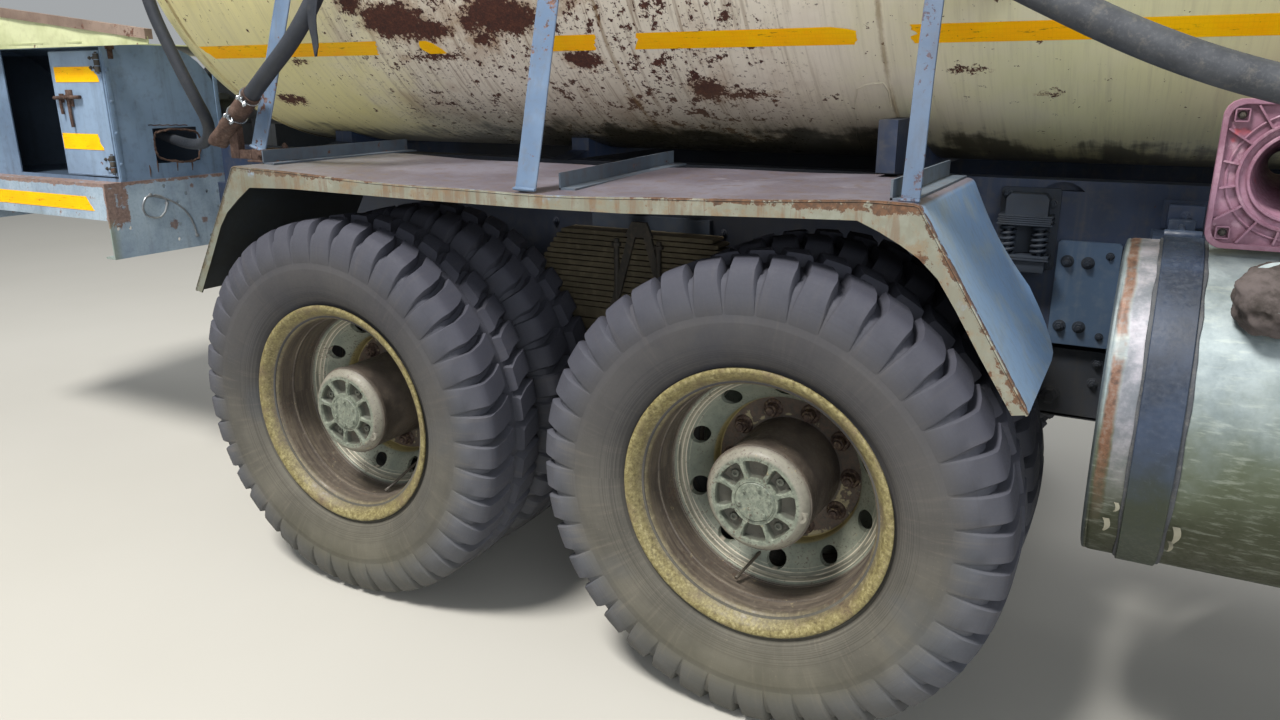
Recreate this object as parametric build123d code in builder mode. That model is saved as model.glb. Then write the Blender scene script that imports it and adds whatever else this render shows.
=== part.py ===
from build123d import *
import os
from math import sin, cos, tan, radians, sqrt, atan2, degrees

# Tanker truck, three axles, millimetres.
# +X is the front of the truck, +Y its left side, +Z up.
# The origin lies on the ground under the middle of the truck's length.

os.makedirs("parts", exist_ok=True)

# ------------------------------------------------------------------ sizes
HUB_Z = 610.0                     # wheel centre above the ground
TYRE_R = 610.0                    # tread radius of a 12.00R24 tyre
AX_FRONT, AX_MID, AX_REAR = 3160.0, -450.0, -1830.0
BOGIE_X = (AX_MID + AX_REAR) / 2
RIM_Y = 1230.0                    # outer flange of the rear rims
FRONT_RIM_Y = 1150.0              # outer flange of the front rims
KING_Y = 850.0                    # steering pin
RAIL_Y, RAIL_Z0, RAIL_Z1 = 430.0, 912.0, 1192.0
SUB_Z1 = 1352.0
TANK_R, TANK_Z = 950.0, 2320.0
TANK_X0, TANK_X1, HEAD = -2900.0, 2100.0, 450.0
GUARD_Z = 1365.0
DECK_X0, DECK_X1, DECK_Y, DECK_Z = -4500.0, -3300.0, 945.0, 1230.0
CAB_X0, CAB_X1, CAB_Y, CAB_Z0, CAB_Z1 = 2720.0, 4480.0, 1190.0, 1400.0, 2960.0
WALL = 40.0
SIDES = ((-1, "right"), (1, "left"))


def box(x0, x1, y0, y1, z0, z1, mode=Mode.ADD):
    """A block between two corners."""
    with Locations(((x0 + x1) / 2, (y0 + y1) / 2, (z0 + z1) / 2)):
        Box(abs(x1 - x0), abs(y1 - y0), abs(z1 - z0), mode=mode)


def rod_y(x, z, r, y0, y1, mode=Mode.ADD):
    with Locations(Location((x, (y0 + y1) / 2, z), (90, 0, 0))):
        Cylinder(r, abs(y1 - y0), mode=mode)


def rod_x(y, z, r, x0, x1, mode=Mode.ADD):
    with Locations(Location(((x0 + x1) / 2, y, z), (0, 90, 0))):
        Cylinder(r, abs(x1 - x0), mode=mode)


def rod_z(x, y, r, z0, z1, mode=Mode.ADD):
    with Locations((x, y, (z0 + z1) / 2)):
        Cylinder(r, abs(z1 - z0), mode=mode)


def plate_xz(points, y0, y1, mode=Mode.ADD):
    """A side-view outline, extruded across the truck."""
    with BuildSketch(Plane.XZ.offset(-max(y0, y1))) as sk:
        with BuildLine():
            Polyline(*points, close=True)
        make_face()
    extrude(sk.sketch, amount=abs(y1 - y0), mode=mode)


def plate_yz(points, x0, x1, mode=Mode.ADD):
    """A front-view outline, extruded along the truck."""
    with BuildSketch(Plane.YZ.offset(min(x0, x1))) as sk:
        with BuildLine():
            Polyline(*points, close=True)
        make_face()
    extrude(sk.sketch, amount=abs(x1 - x0), mode=mode)


def plate_xy(points, z0, z1, mode=Mode.ADD):
    with BuildSketch(Plane.XY.offset(min(z0, z1))) as sk:
        with BuildLine():
            Polyline(*points, close=True)
        make_face()
    extrude(sk.sketch, amount=abs(z1 - z0), mode=mode)


def turned(points):
    """(radius, inward distance) outline turned about the wheel's own axle."""
    with BuildSketch(Plane.XY) as sk:
        with BuildLine():
            Polyline(*points, close=True)
        make_face()
    revolve(sk.sketch, axis=Axis.Y)


def beam(p, q, w, t, up=(0, 0, 1)):
    """A straight bar of section w by t from p to q."""
    p, q = Vector(*p), Vector(*q)
    d = q - p
    x = Vector(*up).cross(d)
    with BuildSketch(Plane(origin=p, x_dir=x, z_dir=d)) as sk:
        Rectangle(w, t)
    extrude(sk.sketch, amount=d.length)


def save(name, bp):
    shape = bp.part
    shape.label = name
    export_step(shape, "parts/" + name + ".step")
    n = len(shape.solids())
    print(f"{name:22s} solids {n:2d}  volume {shape.volume/1e9:9.5f} m3")


def place(part, x, rim_y, side):
    """Puts a wheel-shaped piece, made with +Y inward, on its axle."""
    if side > 0:
        part = part.mirror(Plane.XZ)
    return part.moved(Location((x, side * rim_y, HUB_Z)))


# ================================================================== chassis
with BuildPart() as bp:
    for s, _ in SIDES:
        pts = [(s * RAIL_Y, RAIL_Z0), (s * RAIL_Y, RAIL_Z1), (s * (RAIL_Y - 80), RAIL_Z1),
               (s * (RAIL_Y - 80), RAIL_Z1 - 10), (s * (RAIL_Y - 10), RAIL_Z1 - 10),
               (s * (RAIL_Y - 10), RAIL_Z0 + 10), (s * (RAIL_Y - 80), RAIL_Z0 + 10),
               (s * (RAIL_Y - 80), RAIL_Z0)]
        plate_yz(pts, DECK_X1, 4200)
save("frame_rails", bp)

# crossmembers: place along the truck, half height, tube or channel
with BuildPart() as bp:
    for x, z0, z1, w in ((-3120, 940, 1160, 90), (-1900, 960, 1140, 90), (-380, 960, 1140, 90),
                         (700, 940, 1160, 90), (1700, 940, 1160, 90), (4100, 940, 1160, 90)):
        box(x - w / 2, x + w / 2, -(RAIL_Y - 10), RAIL_Y - 10, z0, z1)
        box(x - w / 2 + 10, x + w / 2 + 1, -(RAIL_Y - 80), RAIL_Y - 80, z0 + 10, z1 - 10, Mode.SUBTRACT)
save("frame_crossmembers", bp)

# subframe: two box runners with cradles that carry the barrel
with BuildPart() as bp:
    for s, _ in SIDES:
        box(-3250, 2500, s * 350, s * 430, RAIL_Z1, SUB_Z1)
        # half-moon recess in the outer wall
        plate_xz([(102 + 70 * cos(radians(a)), 1278 + 70 * sin(radians(a))) for a in (41, 56, 73, 90, 107, 124, 139)],
                 s * 400, s * 440, Mode.SUBTRACT)
    # cradles: place, width, half span, height of the outer ends
    for x, w, h, z in ((-2650, 90, 300, 1423), (-1500, 70, 300, 1423), (-310, 50, 700, 1511), (900, 70, 620, 1560), (1900, 90, 620, 1560)):
        plate_yz([(-440, SUB_Z1), (440, SUB_Z1), (h, 1376), (h, z), (-h, z), (-h, 1376)], x - w / 2, x + w / 2)
    rod_x(0, TANK_Z, TANK_R, -3400, 2600, Mode.SUBTRACT)
save("tank_subframe", bp)

# tank: cylinder with two elliptical heads, filler neck and a blind bore under it
MAN_X = -400.0
HINGE_X, HINGE_Z = MAN_X - 300.0, 3346.0
with BuildPart() as bp:
    with BuildSketch(Plane.XZ):
        with BuildLine():
            l1 = Line((TANK_X0, TANK_Z), (TANK_X0, TANK_Z + TANK_R))
            l2 = Line((TANK_X0, TANK_Z + TANK_R), (TANK_X1, TANK_Z + TANK_R))
            l3 = Line((TANK_X1, TANK_Z + TANK_R), (TANK_X1, TANK_Z))
            l4 = Line((TANK_X1, TANK_Z), (TANK_X0, TANK_Z))
        make_face()
    revolve(axis=Axis((0, 0, TANK_Z), (1, 0, 0)))
    for x, sgn in ((TANK_X0, -1), (TANK_X1, 1)):
        # dished head: large crown arc and a small knuckle arc, turned about the barrel's axis
        kr = 170.0
        cr = ((TANK_R - kr) ** 2 + (HEAD) ** 2 - kr ** 2) / (2 * (HEAD - kr))
        # tangent point of knuckle and crown
        cx0 = HEAD - cr
        dx, dr = 0 - cx0, (TANK_R - kr)
        ln = sqrt(dx * dx + dr * dr)
        tx, tr = dx / ln * kr, (TANK_R - kr) + dr / ln * kr
        mx, mr = cos(radians(0)) * 0, 0
        a = atan2(dr, dx)
        mid_k = (kr * cos((a + radians(90)) / 2), (TANK_R - kr) + kr * sin((a + radians(90)) / 2))
        mid_c = (cx0 + cr * cos(a / 2), cr * sin(a / 2))
        with BuildSketch(Plane.XZ):
            with BuildLine():
                Line((x, TANK_Z), (x, TANK_Z + TANK_R))
                ThreePointArc((x, TANK_Z + TANK_R), (x + sgn * mid_k[0], TANK_Z + mid_k[1]),
                              (x + sgn * tx, TANK_Z + tr))
                ThreePointArc((x + sgn * tx, TANK_Z + tr), (x + sgn * mid_c[0], TANK_Z + mid_c[1]),
                              (x + sgn * HEAD, TANK_Z))
                Line((x + sgn * HEAD, TANK_Z), (x, TANK_Z))
            make_face()
        revolve(axis=Axis((0, 0, TANK_Z), (1, 0, 0)))
    rod_z(MAN_X, 0, 255, 3150, 3330)
    rod_z(MAN_X, 0, 240, 2700, 3331, Mode.SUBTRACT)
    # two ears that carry the lid's hinge
    for s, _ in SIDES:
        box(HINGE_X - 22, HINGE_X + 22, s * 47, s * 59, 3240, 3366)
save("tank_shell", bp)
tank_solid = bp.part

# manhole lid with its lug and hand bar, hinge at the rear edge of the neck
with BuildPart() as bp:
    rod_z(MAN_X, 0, 268, 3335, 3357)
    box(HINGE_X - 6, MAN_X - 200, -40, 40, 3337, 3355)
    rod_y(HINGE_X, HINGE_Z, 16, -40, 40)
    box(MAN_X + 150, MAN_X + 170, -60, -44, 3356, 3395)
    box(MAN_X + 150, MAN_X + 170, 44, 60, 3356, 3395)
    box(MAN_X + 150, MAN_X + 170, -60, 60, 3383, 3395)
save("manhole_lid", bp)
# walkway: two chequer strips on feet beside the manhole, with a low rail on the left
with BuildPart() as bp:
    for s, _ in SIDES:
        box(-2500, 1750, s * 320, s * 560, 3262, 3270)
        box(-2500, 1750, s * 548, s * 560, 3270, 3300)
        for x in (-2350, -1500, -650, 200, 1050, 1700):
            plate_yz([(s * 330, 3262), (s * 550, 3262), (s * 550, 3100), (s * 330, 3150)], x - 6, x + 6)
    rod_x(0, TANK_Z, TANK_R, -3400, 2600, Mode.SUBTRACT)
save("tank_walkway", bp)

# ladder on the left flank of the tank
with BuildPart() as bp:
    for x in (950, 1350):
        box(x - 20, x + 20, 1010, 1040, 1120, 3190)
        beam((x, 1025, 3180), (x, 578, 3281), 40, 24)
        box(x - 15, x + 15, 951, 1012, 2305, 2335)
    for i in range(7):
        rod_x(1025, 1220 + 300 * i, 14, 950, 1350)
save("tank_ladder", bp)

# outlet pipe from the rear head along the deck, with a flanged mouth at the rear
OUT_Z, OUT_R = 1480.0, 45.0
with BuildPart() as bp:
    rod_x(0, OUT_Z, 56, -4470, -3050)
    rod_x(0, OUT_Z, 95, -4490, -4465)
    rod_x(0, OUT_Z, 85, -3900, -3740)
    rod_z(-3820, 0, 24, OUT_Z + 60, OUT_Z + 170)
    box(-4330, -4290, -50, 50, DECK_Z, OUT_Z - 30)
    box(-3500, -3460, -50, 50, DECK_Z, OUT_Z - 30)
    rod_x(0, OUT_Z, OUT_R, -4491, -4290, Mode.SUBTRACT)
    add(tank_solid, mode=Mode.SUBTRACT)
save("outlet_pipe", bp)

# ================================================================== mudguards
# side view of one rear mudguard as a folded sheet: x from the bogie centre, height
FOLD = ((-1290, 950), (-1035, GUARD_Z), (1035, GUARD_Z), (1290, 950))
T = 6.0
with BuildPart() as bp:
    for s, _ in SIDES:
        inner = [(-1290 + 7, 950 - 3), (-1035 + 4, GUARD_Z - T), (1035 - 4, GUARD_Z - T), (1290 - 7, 950 - 3)]
        outline = [(BOGIE_X + x, z) for x, z in FOLD] + [(BOGIE_X + x, z) for x, z in reversed(inner)]
        plate_xz(outline, s * 600, s * 1230)
        # skirt and corner gussets in the outer plane
        skirt = [(-1290, 950), (-1035, GUARD_Z), (1035, GUARD_Z), (1290, 950), (1265, 945),
                 (1130, 1165), (970, 1300), (930, 1315), (-930, 1315), (-960, 1300), (-1090, 1225), (-1262, 945)]
        plate_xz([(BOGIE_X + x, z) for x, z in skirt], s * 1224, s * 1230)
        # angle bars across the top
        for x in (-990, 120, 995):
            box(BOGIE_X + x - 25, BOGIE_X + x + 25, s * 600, s * 1150, GUARD_Z, GUARD_Z + 5)
            box(BOGIE_X + x - 25, BOGIE_X + x - 20, s * 600, s * 1150, GUARD_Z, GUARD_Z + 45)
        # brackets to the frame rail
        for x in (-900, -60, 900):
            box(BOGIE_X + x - 30, BOGIE_X + x + 30, s * RAIL_Y, s * 640, 1290, 1300)
            box(BOGIE_X + x - 30, BOGIE_X + x + 30, s * 600, s * 610, 1290, GUARD_Z - T)
save("rear_mudguards", bp)

# struts from the mudguard edge to the tank's flank: foot, head
STRUTS = ((-2228, 1080, 1409, -1985, 962, 2350), (-1095, 1212, 1379, -1075, 962, 2350),
          (-140, 1205, 1379, -150, 962, 2350))
with BuildPart() as bp:
    for s, _ in SIDES:
        for x0, y0, z0, x1, y1, z1 in STRUTS:
            p, q = Vector(x0, s * y0, z0), Vector(x1, s * y1, z1)
            d = q - p
            with BuildSketch(Plane(origin=p, x_dir=Vector(1, 0, 0) - d * (Vector(1, 0, 0).dot(d) / d.dot(d)), z_dir=d)):
                with BuildLine():
                    k = -s
                    Polyline((-32, -k * 3), (32, -k * 3), (32, k * 3), (-26, k * 3), (-26, k * 45), (-32, k * 45), close=True)
                make_face()
            extrude(amount=d.length)
    # end blocks under the rear struts
    for s, _ in SIDES:
        box(-2252, -2158, s * 1000, s * 1090, GUARD_Z, 1404)
    rod_x(0, TANK_Z, TANK_R + 1, -3400, 2600, Mode.SUBTRACT)
save("mudguard_struts", bp)

# ================================================================== suspension
# leaf pack of the bogie: half length, bottom, top of each group of leaves
LEAVES = ((690, 760, 800), (640, 800, 840), (560, 840, 880), (480, 880, 920), (420, 920, 960),
          (370, 960, 1000), (330, 1000, 1040), (300, 1040, 1090), (270, 1090, 1140))
with BuildPart() as bp:
    for s, _ in SIDES:
        pts = []
        for h, z0, z1 in LEAVES:
            pts += [(BOGIE_X + h, z0), (BOGIE_X + h, z1)]
        for h, z0, z1 in reversed(LEAVES):
            pts += [(BOGIE_X - h, z1), (BOGIE_X - h, z0)]
        plate_xz(pts, s * 472, s * 562)
save("bogie_springs", bp)

with BuildPart() as bp:
    for s, _ in SIDES:
        # hanger bolted to the rail, saddle under the leaves
        plate_xz([(BOGIE_X - 220, 1180), (BOGIE_X + 220, 1180), (BOGIE_X + 220, 925), (BOGIE_X + 90, 560),
                  (BOGIE_X - 90, 560), (BOGIE_X - 220, 925)], s * RAIL_Y, s * 455)
        box(BOGIE_X - 130, BOGIE_X + 130, s * 455, s * 566, 690, 760)
        rod_y(BOGIE_X, 640, 95, s * 455, s * 575)
    rod_y(BOGIE_X, 640, 60, -455, 455)
save("trunnion", bp)

with BuildPart() as bp:
    for x in (AX_MID, AX_REAR):
        rod_y(x, HUB_Z, 60, -1010, 1010)
        rod_y(x, HUB_Z, 100, -640, 640)
        with Locations((x, 0, HUB_Z)):
            Sphere(215)
        for s, _ in SIDES:
            rod_y(x, HUB_Z, 200, s * 672, s * 686)
            rod_y(x, HUB_Z, 85, s * 620, s * 680)
            inner_x = x + (-1 if x > BOGIE_X else 1) * 20
            box(inner_x - 70, inner_x + 70, s * 470, s * 564, 690, 759)
    # diff noses and the through-drive between the two axles
    rod_x(0, HUB_Z + 150, 60, AX_MID + 60, AX_MID + 330)
    rod_x(0, HUB_Z + 150, 60, AX_REAR + 60, AX_REAR + 330)
    rod_x(0, HUB_Z + 150, 55, AX_MID - 240, AX_MID - 60)
save("rear_axles", bp)

with BuildPart() as bp:
    beam((AX_MID + 336, 0, HUB_Z + 150), (2092, 0, 900), 90, 90)
    rod_x(0, HUB_Z + 150, 45, AX_REAR + 330, AX_MID - 240)
save("propshafts", bp)

# front axle: drop beam, pin bosses
with BuildPart() as bp:
    for s, _ in SIDES:
        rod_z(AX_FRONT, s * KING_Y, 42, 560, 660)
        beam((AX_FRONT, s * 560, 520), (AX_FRONT, s * 815, 610), 84, 80)
        rod_z(AX_FRONT, s * KING_Y, 26, 559, 661, Mode.SUBTRACT)
    box(AX_FRONT - 45, AX_FRONT + 45, -600, 600, 480, 560)
save("front_axle", bp)

# front springs: half length, bottom, top, and a shackle at each end up to the rail
with BuildPart() as bp:
    for s, _ in SIDES:
        pts = []
        for h, z0, z1 in ((300, 560, 600), (480, 600, 640), (640, 640, 680), (760, 680, 715)):
            pts += [(AX_FRONT + h, z0), (AX_FRONT + h, z1)]
        for h, z0, z1 in reversed(((300, 560, 600), (480, 600, 640), (640, 640, 680), (760, 680, 715))):
            pts += [(AX_FRONT - h, z1), (AX_FRONT - h, z0)]
        plate_xz(pts, s * 350, s * 430)
        for e in (-1, 1):
            plate_xz([(AX_FRONT + e * 700, 690), (AX_FRONT + e * 770, 690), (AX_FRONT + e * 790, RAIL_Z0),
                      (AX_FRONT + e * 680, RAIL_Z0)], s * 352, s * 428)
save("front_springs", bp)

# engine and gearbox in one plain mass
with BuildPart() as bp:
    box(2950, 3930, -300, 300, 760, 1400)
    rod_x(0, 960, 210, 2560, 2951)
    rod_x(0, 930, 150, 2100, 2561)
    for x in (3000, 3850):
        box(x - 30, x + 30, -420, 420, 1000, 1060)
    box(2400, 2460, -420, 420, 960, 1020)
save("engine_block", bp)

# ================================================================== chassis fittings
FT_X0, FT_X1, FT_Y, FT_Z, FT_R = 272.0, 1450.0, -820.0, 898.0, 366.0
with BuildPart() as bp:
    rod_x(FT_Y, FT_Z, FT_R, FT_X0, FT_X1)
    fillet(bp.edges().filter_by(GeomType.CIRCLE), 22)
    with Locations(Location((548, FT_Y - 0.669 * 372, FT_Z + 0.743 * 372), (42, 0, 0))):
        Cylinder(46, 120)
    with Locations(Location((548, FT_Y - 0.669 * 438, FT_Z + 0.743 * 438), (42, 0, 0))):
        Cylinder(60, 36)
save("fuel_tank", bp)

with BuildPart() as bp:
    for x, w in ((390, 130), (1330, 130)):
        rod_x(FT_Y, FT_Z, FT_R + 10, x - w / 2, x + w / 2)
        box(x - w / 2, x + w / 2, -RAIL_Y - 50, -RAIL_Y, 915, 1190)
        box(x - w / 2, x + w / 2, FT_Y, -RAIL_Y, 940, 1240)
    rod_x(FT_Y, FT_Z, FT_R + 1, FT_X0 - 10, FT_X1 + 10, Mode.SUBTRACT)
    box(-100, 3000, -RAIL_Y, 0, 600, 1400, Mode.SUBTRACT)
save("fuel_tank_straps", bp)

# gusset and leaning spring mount where the subframe sits on the rail, right and left
with BuildPart() as bp:
    for s, _ in SIDES:
        box(107, 262, s * RAIL_Y, s * (RAIL_Y + 12), 909, 1194)
        box(-50, 100, s * RAIL_Y, s * (RAIL_Y + 8), 1110, 1330)
        for x in (-20, 62):
            rod_z(x, s * 475, 22, 1150, 1250)
        box(-48, 92, s * (RAIL_Y + 7), s * 505, 1142, 1152)
        box(-48, 92, s * (RAIL_Y + 7), s * 505, 1236, 1262)
        box(-30, 76, s * (RAIL_Y + 7), s * 490, 1261, 1318)
save("subframe_mounts", bp)

with BuildPart() as bp:
    for x0, x1 in ((300, 900), (960, 1560)):
        rod_x(740, 880, 160, x0, x1)
        box(x0 + 100, x0 + 160, 430, 740, 850, 910)
        box(x1 - 160, x1 - 100, 430, 740, 850, 910)
save("air_tanks", bp)

with BuildPart() as bp:
    box(1650, 2280, 470, 1000, 760, 1180)
    box(1720, 1780, 430, 471, 930, 1170)
    box(2150, 2210, 430, 471, 930, 1170)
save("battery_box", bp)

with BuildPart() as bp:
    rod_z(2575, -760, 110, 1250, 2500)
    rod_z(2575, -760, 55, 2500, 3050)
    rod_z(2575, -760, 46, 2520, 3051, Mode.SUBTRACT)
    rod_z(2575, -760, 55, 1100, 1251)
    rod_y(2575, 1130, 55, -790, -430)
    box(2540, 2620, -690, -430, 1150, 1190)
    box(2540, 2620, -690, -640, 1150, 2000)
save("exhaust_stack", bp)

# ================================================================== rear deck and pump cabinets
with BuildPart() as bp:
    # front plate with its folded edges
    box(DECK_X1 - 8, DECK_X1, -DECK_Y, DECK_Y, 930, DECK_Z)
    box(DECK_X1 - 60, DECK_X1 - 7, -DECK_Y, DECK_Y, 930, 938)
    # bolt holes in the front plate, left from fittings taken off
    for y, z in ((911, 1050), (860, 1047), (592, 1161), (489, 1160), (435, 1154), (378, 1153), (636, 1035), (651, 973),
                 (439, 1089), (494, 968), (689, 1200), (635, 1128)):
        for s, _ in SIDES:
            rod_x(s * y, z, 8, DECK_X1 - 20, DECK_X1 + 10, Mode.SUBTRACT)
    # floor sheet, side and rear channels
    box(DECK_X0, DECK_X1 - 7, -DECK_Y, DECK_Y, DECK_Z - 8, DECK_Z)
    for s, _ in SIDES:
        box(DECK_X0, DECK_X1 - 7, s * DECK_Y, s * (DECK_Y - 8), 1085, DECK_Z - 7)
        box(DECK_X0, DECK_X1 - 7, s * DECK_Y, s * (DECK_Y - 50), 1085, 1093)
        box(DECK_X0 + 8, DECK_X1 - 7, s * 350, s * 430, 980, DECK_Z - 7)
    box(DECK_X0, DECK_X0 + 8, -DECK_Y, DECK_Y, 1000, DECK_Z - 7)
    # cross block with the tow pin's bore
    box(DECK_X0 + 7, DECK_X0 + 120, -351, 351, 985, 1150)
    rod_z(DECK_X0 + 64, 0, 25, 984, 1151, Mode.SUBTRACT)
save("rear_deck", bp)

# cabinets: outer wall, door opening, torch-cut hose hole in the right one
CX0, CX1, CZ0, CZ1 = -4440.0, -3306.0, 1230.0, 1755.0
CY_OUT, CY_IN = 868.0, 362.0
DOOR_X0, DOOR_X1, GAP_X0 = -3650.0, -3316.0, -3990.0
with BuildPart() as bp:
    for s, _ in SIDES:
        # the upper inner corner is rounded to clear the tank's head
        for d, mode in ((0, Mode.ADD), (5, Mode.SUBTRACT)):
            arc = [(s * (612 - (250 - d) * cos(radians(a))), 1505 + (250 - d) * sin(radians(a))) for a in range(0, 91, 10)]
            plate_yz([(s * (CY_IN + d), CZ0 + d)] + arc + [(s * (CY_OUT - d), CZ1 - d), (s * (CY_OUT - d), CZ0 + d)], CX0 + d, CX1 - d, mode)
        box(GAP_X0, DOOR_X1, s * (CY_OUT - 6), s * (CY_OUT + 1), CZ0 + 14, CZ1 - 12, Mode.SUBTRACT)
    with Locations(Location((CX1 - 3, -598, 1362), (0, 90, 0))):
        Box(140, 204, 12, mode=Mode.SUBTRACT)
save("pump_cabinets", bp)

# roof sheet over both cabinets, with its side boards
with BuildPart() as bp:
    box(DECK_X0 + 20, DECK_X1 - 16, -930, 930, CZ1, CZ1 + 6)
    for s, _ in SIDES:
        # side board that slopes down to the tank's head, bar along its upper edge
        plate_xz([(DECK_X0 + 20, CZ1 - 12), (-2925, CZ1 - 12), (-2925, 1766), (DECK_X0 + 20, 1946)], s * 930, s * 924)
        plate_xz([(DECK_X0 + 20, 1940), (-2925, 1760), (-2925, 1796), (DECK_X0 + 20, 1976)], s * 936, s * 905)
save("cabinet_roof", bp)

with BuildPart() as bp:
    box(DOOR_X0, DOOR_X1 - 6, -(CY_OUT), -(CY_OUT - 5), CZ0 + 20, CZ1 - 24)
    for z in (CZ0 + 70, CZ1 - 70):
        rod_z(DOOR_X1 - 10, -(CY_OUT + 9), 9, z - 35, z + 35)
        box(DOOR_X1 - 60, DOOR_X1 - 10, -(CY_OUT + 5), -(CY_OUT - 1), z - 30, z + 30)
save("cabinet_door", bp)

# ================================================================== hoses
def arc_radii(pts):
    out = []
    for a, b, c in zip(pts, pts[1:], pts[2:]):
        u, v = Vector(*b) - Vector(*a), Vector(*c) - Vector(*b)
        out.append(0.45 * min(u.length, v.length) / tan(radians(u.get_angle(v)) / 2))
    return out

# routes of the three hoses: flank clamp to flank clamp, clamp to pipe, clamp to cabinet
HOSE_R = {"A": 34.0, "B": 25.0, "C": 21.0}
HOSE_A = ((-50, -1085, 1832), (93, -1108, 1757), (290, -1110, 1662), (490, -1110, 1594),
          (800, -1105, 1530), (1150, -1095, 1535), (1420, -1060, 1640), (1600, -1000, 1830))
HOSE_B = ((-1800, -1003, 2230), (-1830, -1030, 2040), (-1888, -1095, 1850), (-1975, -1125, 1725), (-2096, -1130, 1632),
          (-2213, -1112, 1556))
HOSE_C = ((-2800, -1002, 2260), (-2790, -1015, 2060), (-2761, -1022, 1877), (-2722, -990, 1720), (-2680, -950, 1560),
          (-2697, -890, 1464), (-2826, -810, 1396), (-3039, -710, 1374), (-3290, -608, 1378), (-3500, -540, 1400))
HOSES = (("A", HOSE_A), ("B", HOSE_B), ("C", HOSE_C))
with BuildPart() as bp:
    for word, route in HOSES:
        radii = arc_radii(route)
        print("hose", word, "radii", [round(v) for v in radii])
        with BuildLine() as path:
            FilletPolyline(*route, radius=radii)
        with BuildSketch(Plane(origin=path.line @ 0, z_dir=path.line % 0)):
            Circle(HOSE_R[word])
        sweep(path=path.line)
save("hoses", bp)
hose_solids = bp.part

# pipe stub with its coupling at the end of the second hose, and the clamps on the tank's flank
CLAMPS = ((-24, -1088, 1818, "A"), (1590, -1003, 1820, "A"), (-1803, -1006, 2205, "B"), (-2799, -1004, 2235, "C"))
with BuildPart() as bp:
    p, q = Vector(-2213.9, -1111.9, 1555.4), Vector(-2421, -1080, 1421)
    with BuildSketch(Plane(origin=p, z_dir=q - p)):
        Circle(31)
    extrude(amount=(q - p).length)
    # rusty tab that holds the pipe on the foot block of the rear strut
    box(-2350, -2310, -1090, -1064, 1372, 1475)
    box(-2350, -2253, -1090, -1064, 1372, 1402)
    for x, y, z, word in CLAMPS:
        r = HOSE_R[word] + 16
        box(x - 22, x + 22, y + r - 18, -780, z - r + 8, z + r - 8)
        rod_x(y, z, r, x - 22, x + 22)
    rod_x(0, TANK_Z, TANK_R, -3400, 2600, Mode.SUBTRACT)
    add(hose_solids, mode=Mode.SUBTRACT)
save("hose_fittings", bp)

# ================================================================== cab
# side outline of the cab, outer skin
CAB = ((CAB_X0, CAB_Z0), (CAB_X0, 2880), (CAB_X0 + 80, CAB_Z1), (4130, CAB_Z1), (4230, 2880),
       (4440, 2080), (CAB_X1, 1980), (CAB_X1, CAB_Z0))
CAB_IN = ((CAB_X0 + WALL, CAB_Z0 + WALL), (CAB_X0 + WALL, 2862), (CAB_X0 + 98, CAB_Z1 - WALL),
          (4108, CAB_Z1 - WALL), (4196, 2858), (4401, 2076), (CAB_X1 - WALL, 1972), (CAB_X1 - WALL, CAB_Z0 + WALL))
DOOR = ((3130, 1460), (4240, 1460), (4240, 2080), (4110, 2830), (3130, 2830))
DOOR_LEAF = ((3136, 1466), (4234, 1466), (4234, 2078), (4106, 2824), (3136, 2824))
WINDOW = ((3220, 2060), (4150, 2060), (4055, 2740), (3220, 2740))
PANE = ((3222, 2062), (4147, 2062), (4053, 2738), (3222, 2738))

with BuildPart() as bp:
    plate_xz(CAB, -CAB_Y, CAB_Y)
    longs = [e for e in bp.edges() if abs((e @ 0).Y - (e @ 1).Y) < 1 and abs(abs((e @ 0).Y) - CAB_Y) < 1
             and (e @ 0).Z > 2000 and (e @ 1).Z > 2000]
    chamfer(longs, 40)
    plate_xz(CAB_IN, -(CAB_Y - WALL), CAB_Y - WALL, Mode.SUBTRACT)
    solid_cab = bp.part
    for s, _ in SIDES:
        plate_xz(DOOR, s * (CAB_Y - WALL - 2), s * (CAB_Y + 2), Mode.SUBTRACT)
    # windscreen and rear window openings
    plate_xz(((4560, 2140), (4360, 2140), (4180, 2830), (4400, 2830)), -1060, 1060, Mode.SUBTRACT)
    box(CAB_X0 - 5, CAB_X0 + WALL + 5, -600, 600, 2250, 2700, Mode.SUBTRACT)
    # hinge ears for the doors
    for s, _ in SIDES:
        for z in (1620, 1980):
            for e in (-1, 1):
                box(4229, 4290, s * (CAB_Y + 3), s * (CAB_Y + 21), z + e * 51, z + e * 60)
                box(4246, 4290, s * (CAB_Y - 2), s * (CAB_Y + 4), z + e * 51, z + e * 60)
save("cab_shell", bp)

# step frames in front of the wheels, and rubber mounts between the rails and the cab floor
with BuildPart() as bp:
    for s, _ in SIDES:
        box(3920, 4380, s * 880, s * 1170, 1140, 1160)
        box(3920, 4380, s * 880, s * 1170, 890, 910)
        box(4372, 4380, s * 880, s * 1170, 890, CAB_Z0)
        box(3920, 4380, s * 880, s * 888, 890, CAB_Z0)
        for x in (2820, 4050):
            box(x - 50, x + 50, s * 345, s * 425, RAIL_Z1, CAB_Z0)
save("cab_steps", bp)

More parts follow.
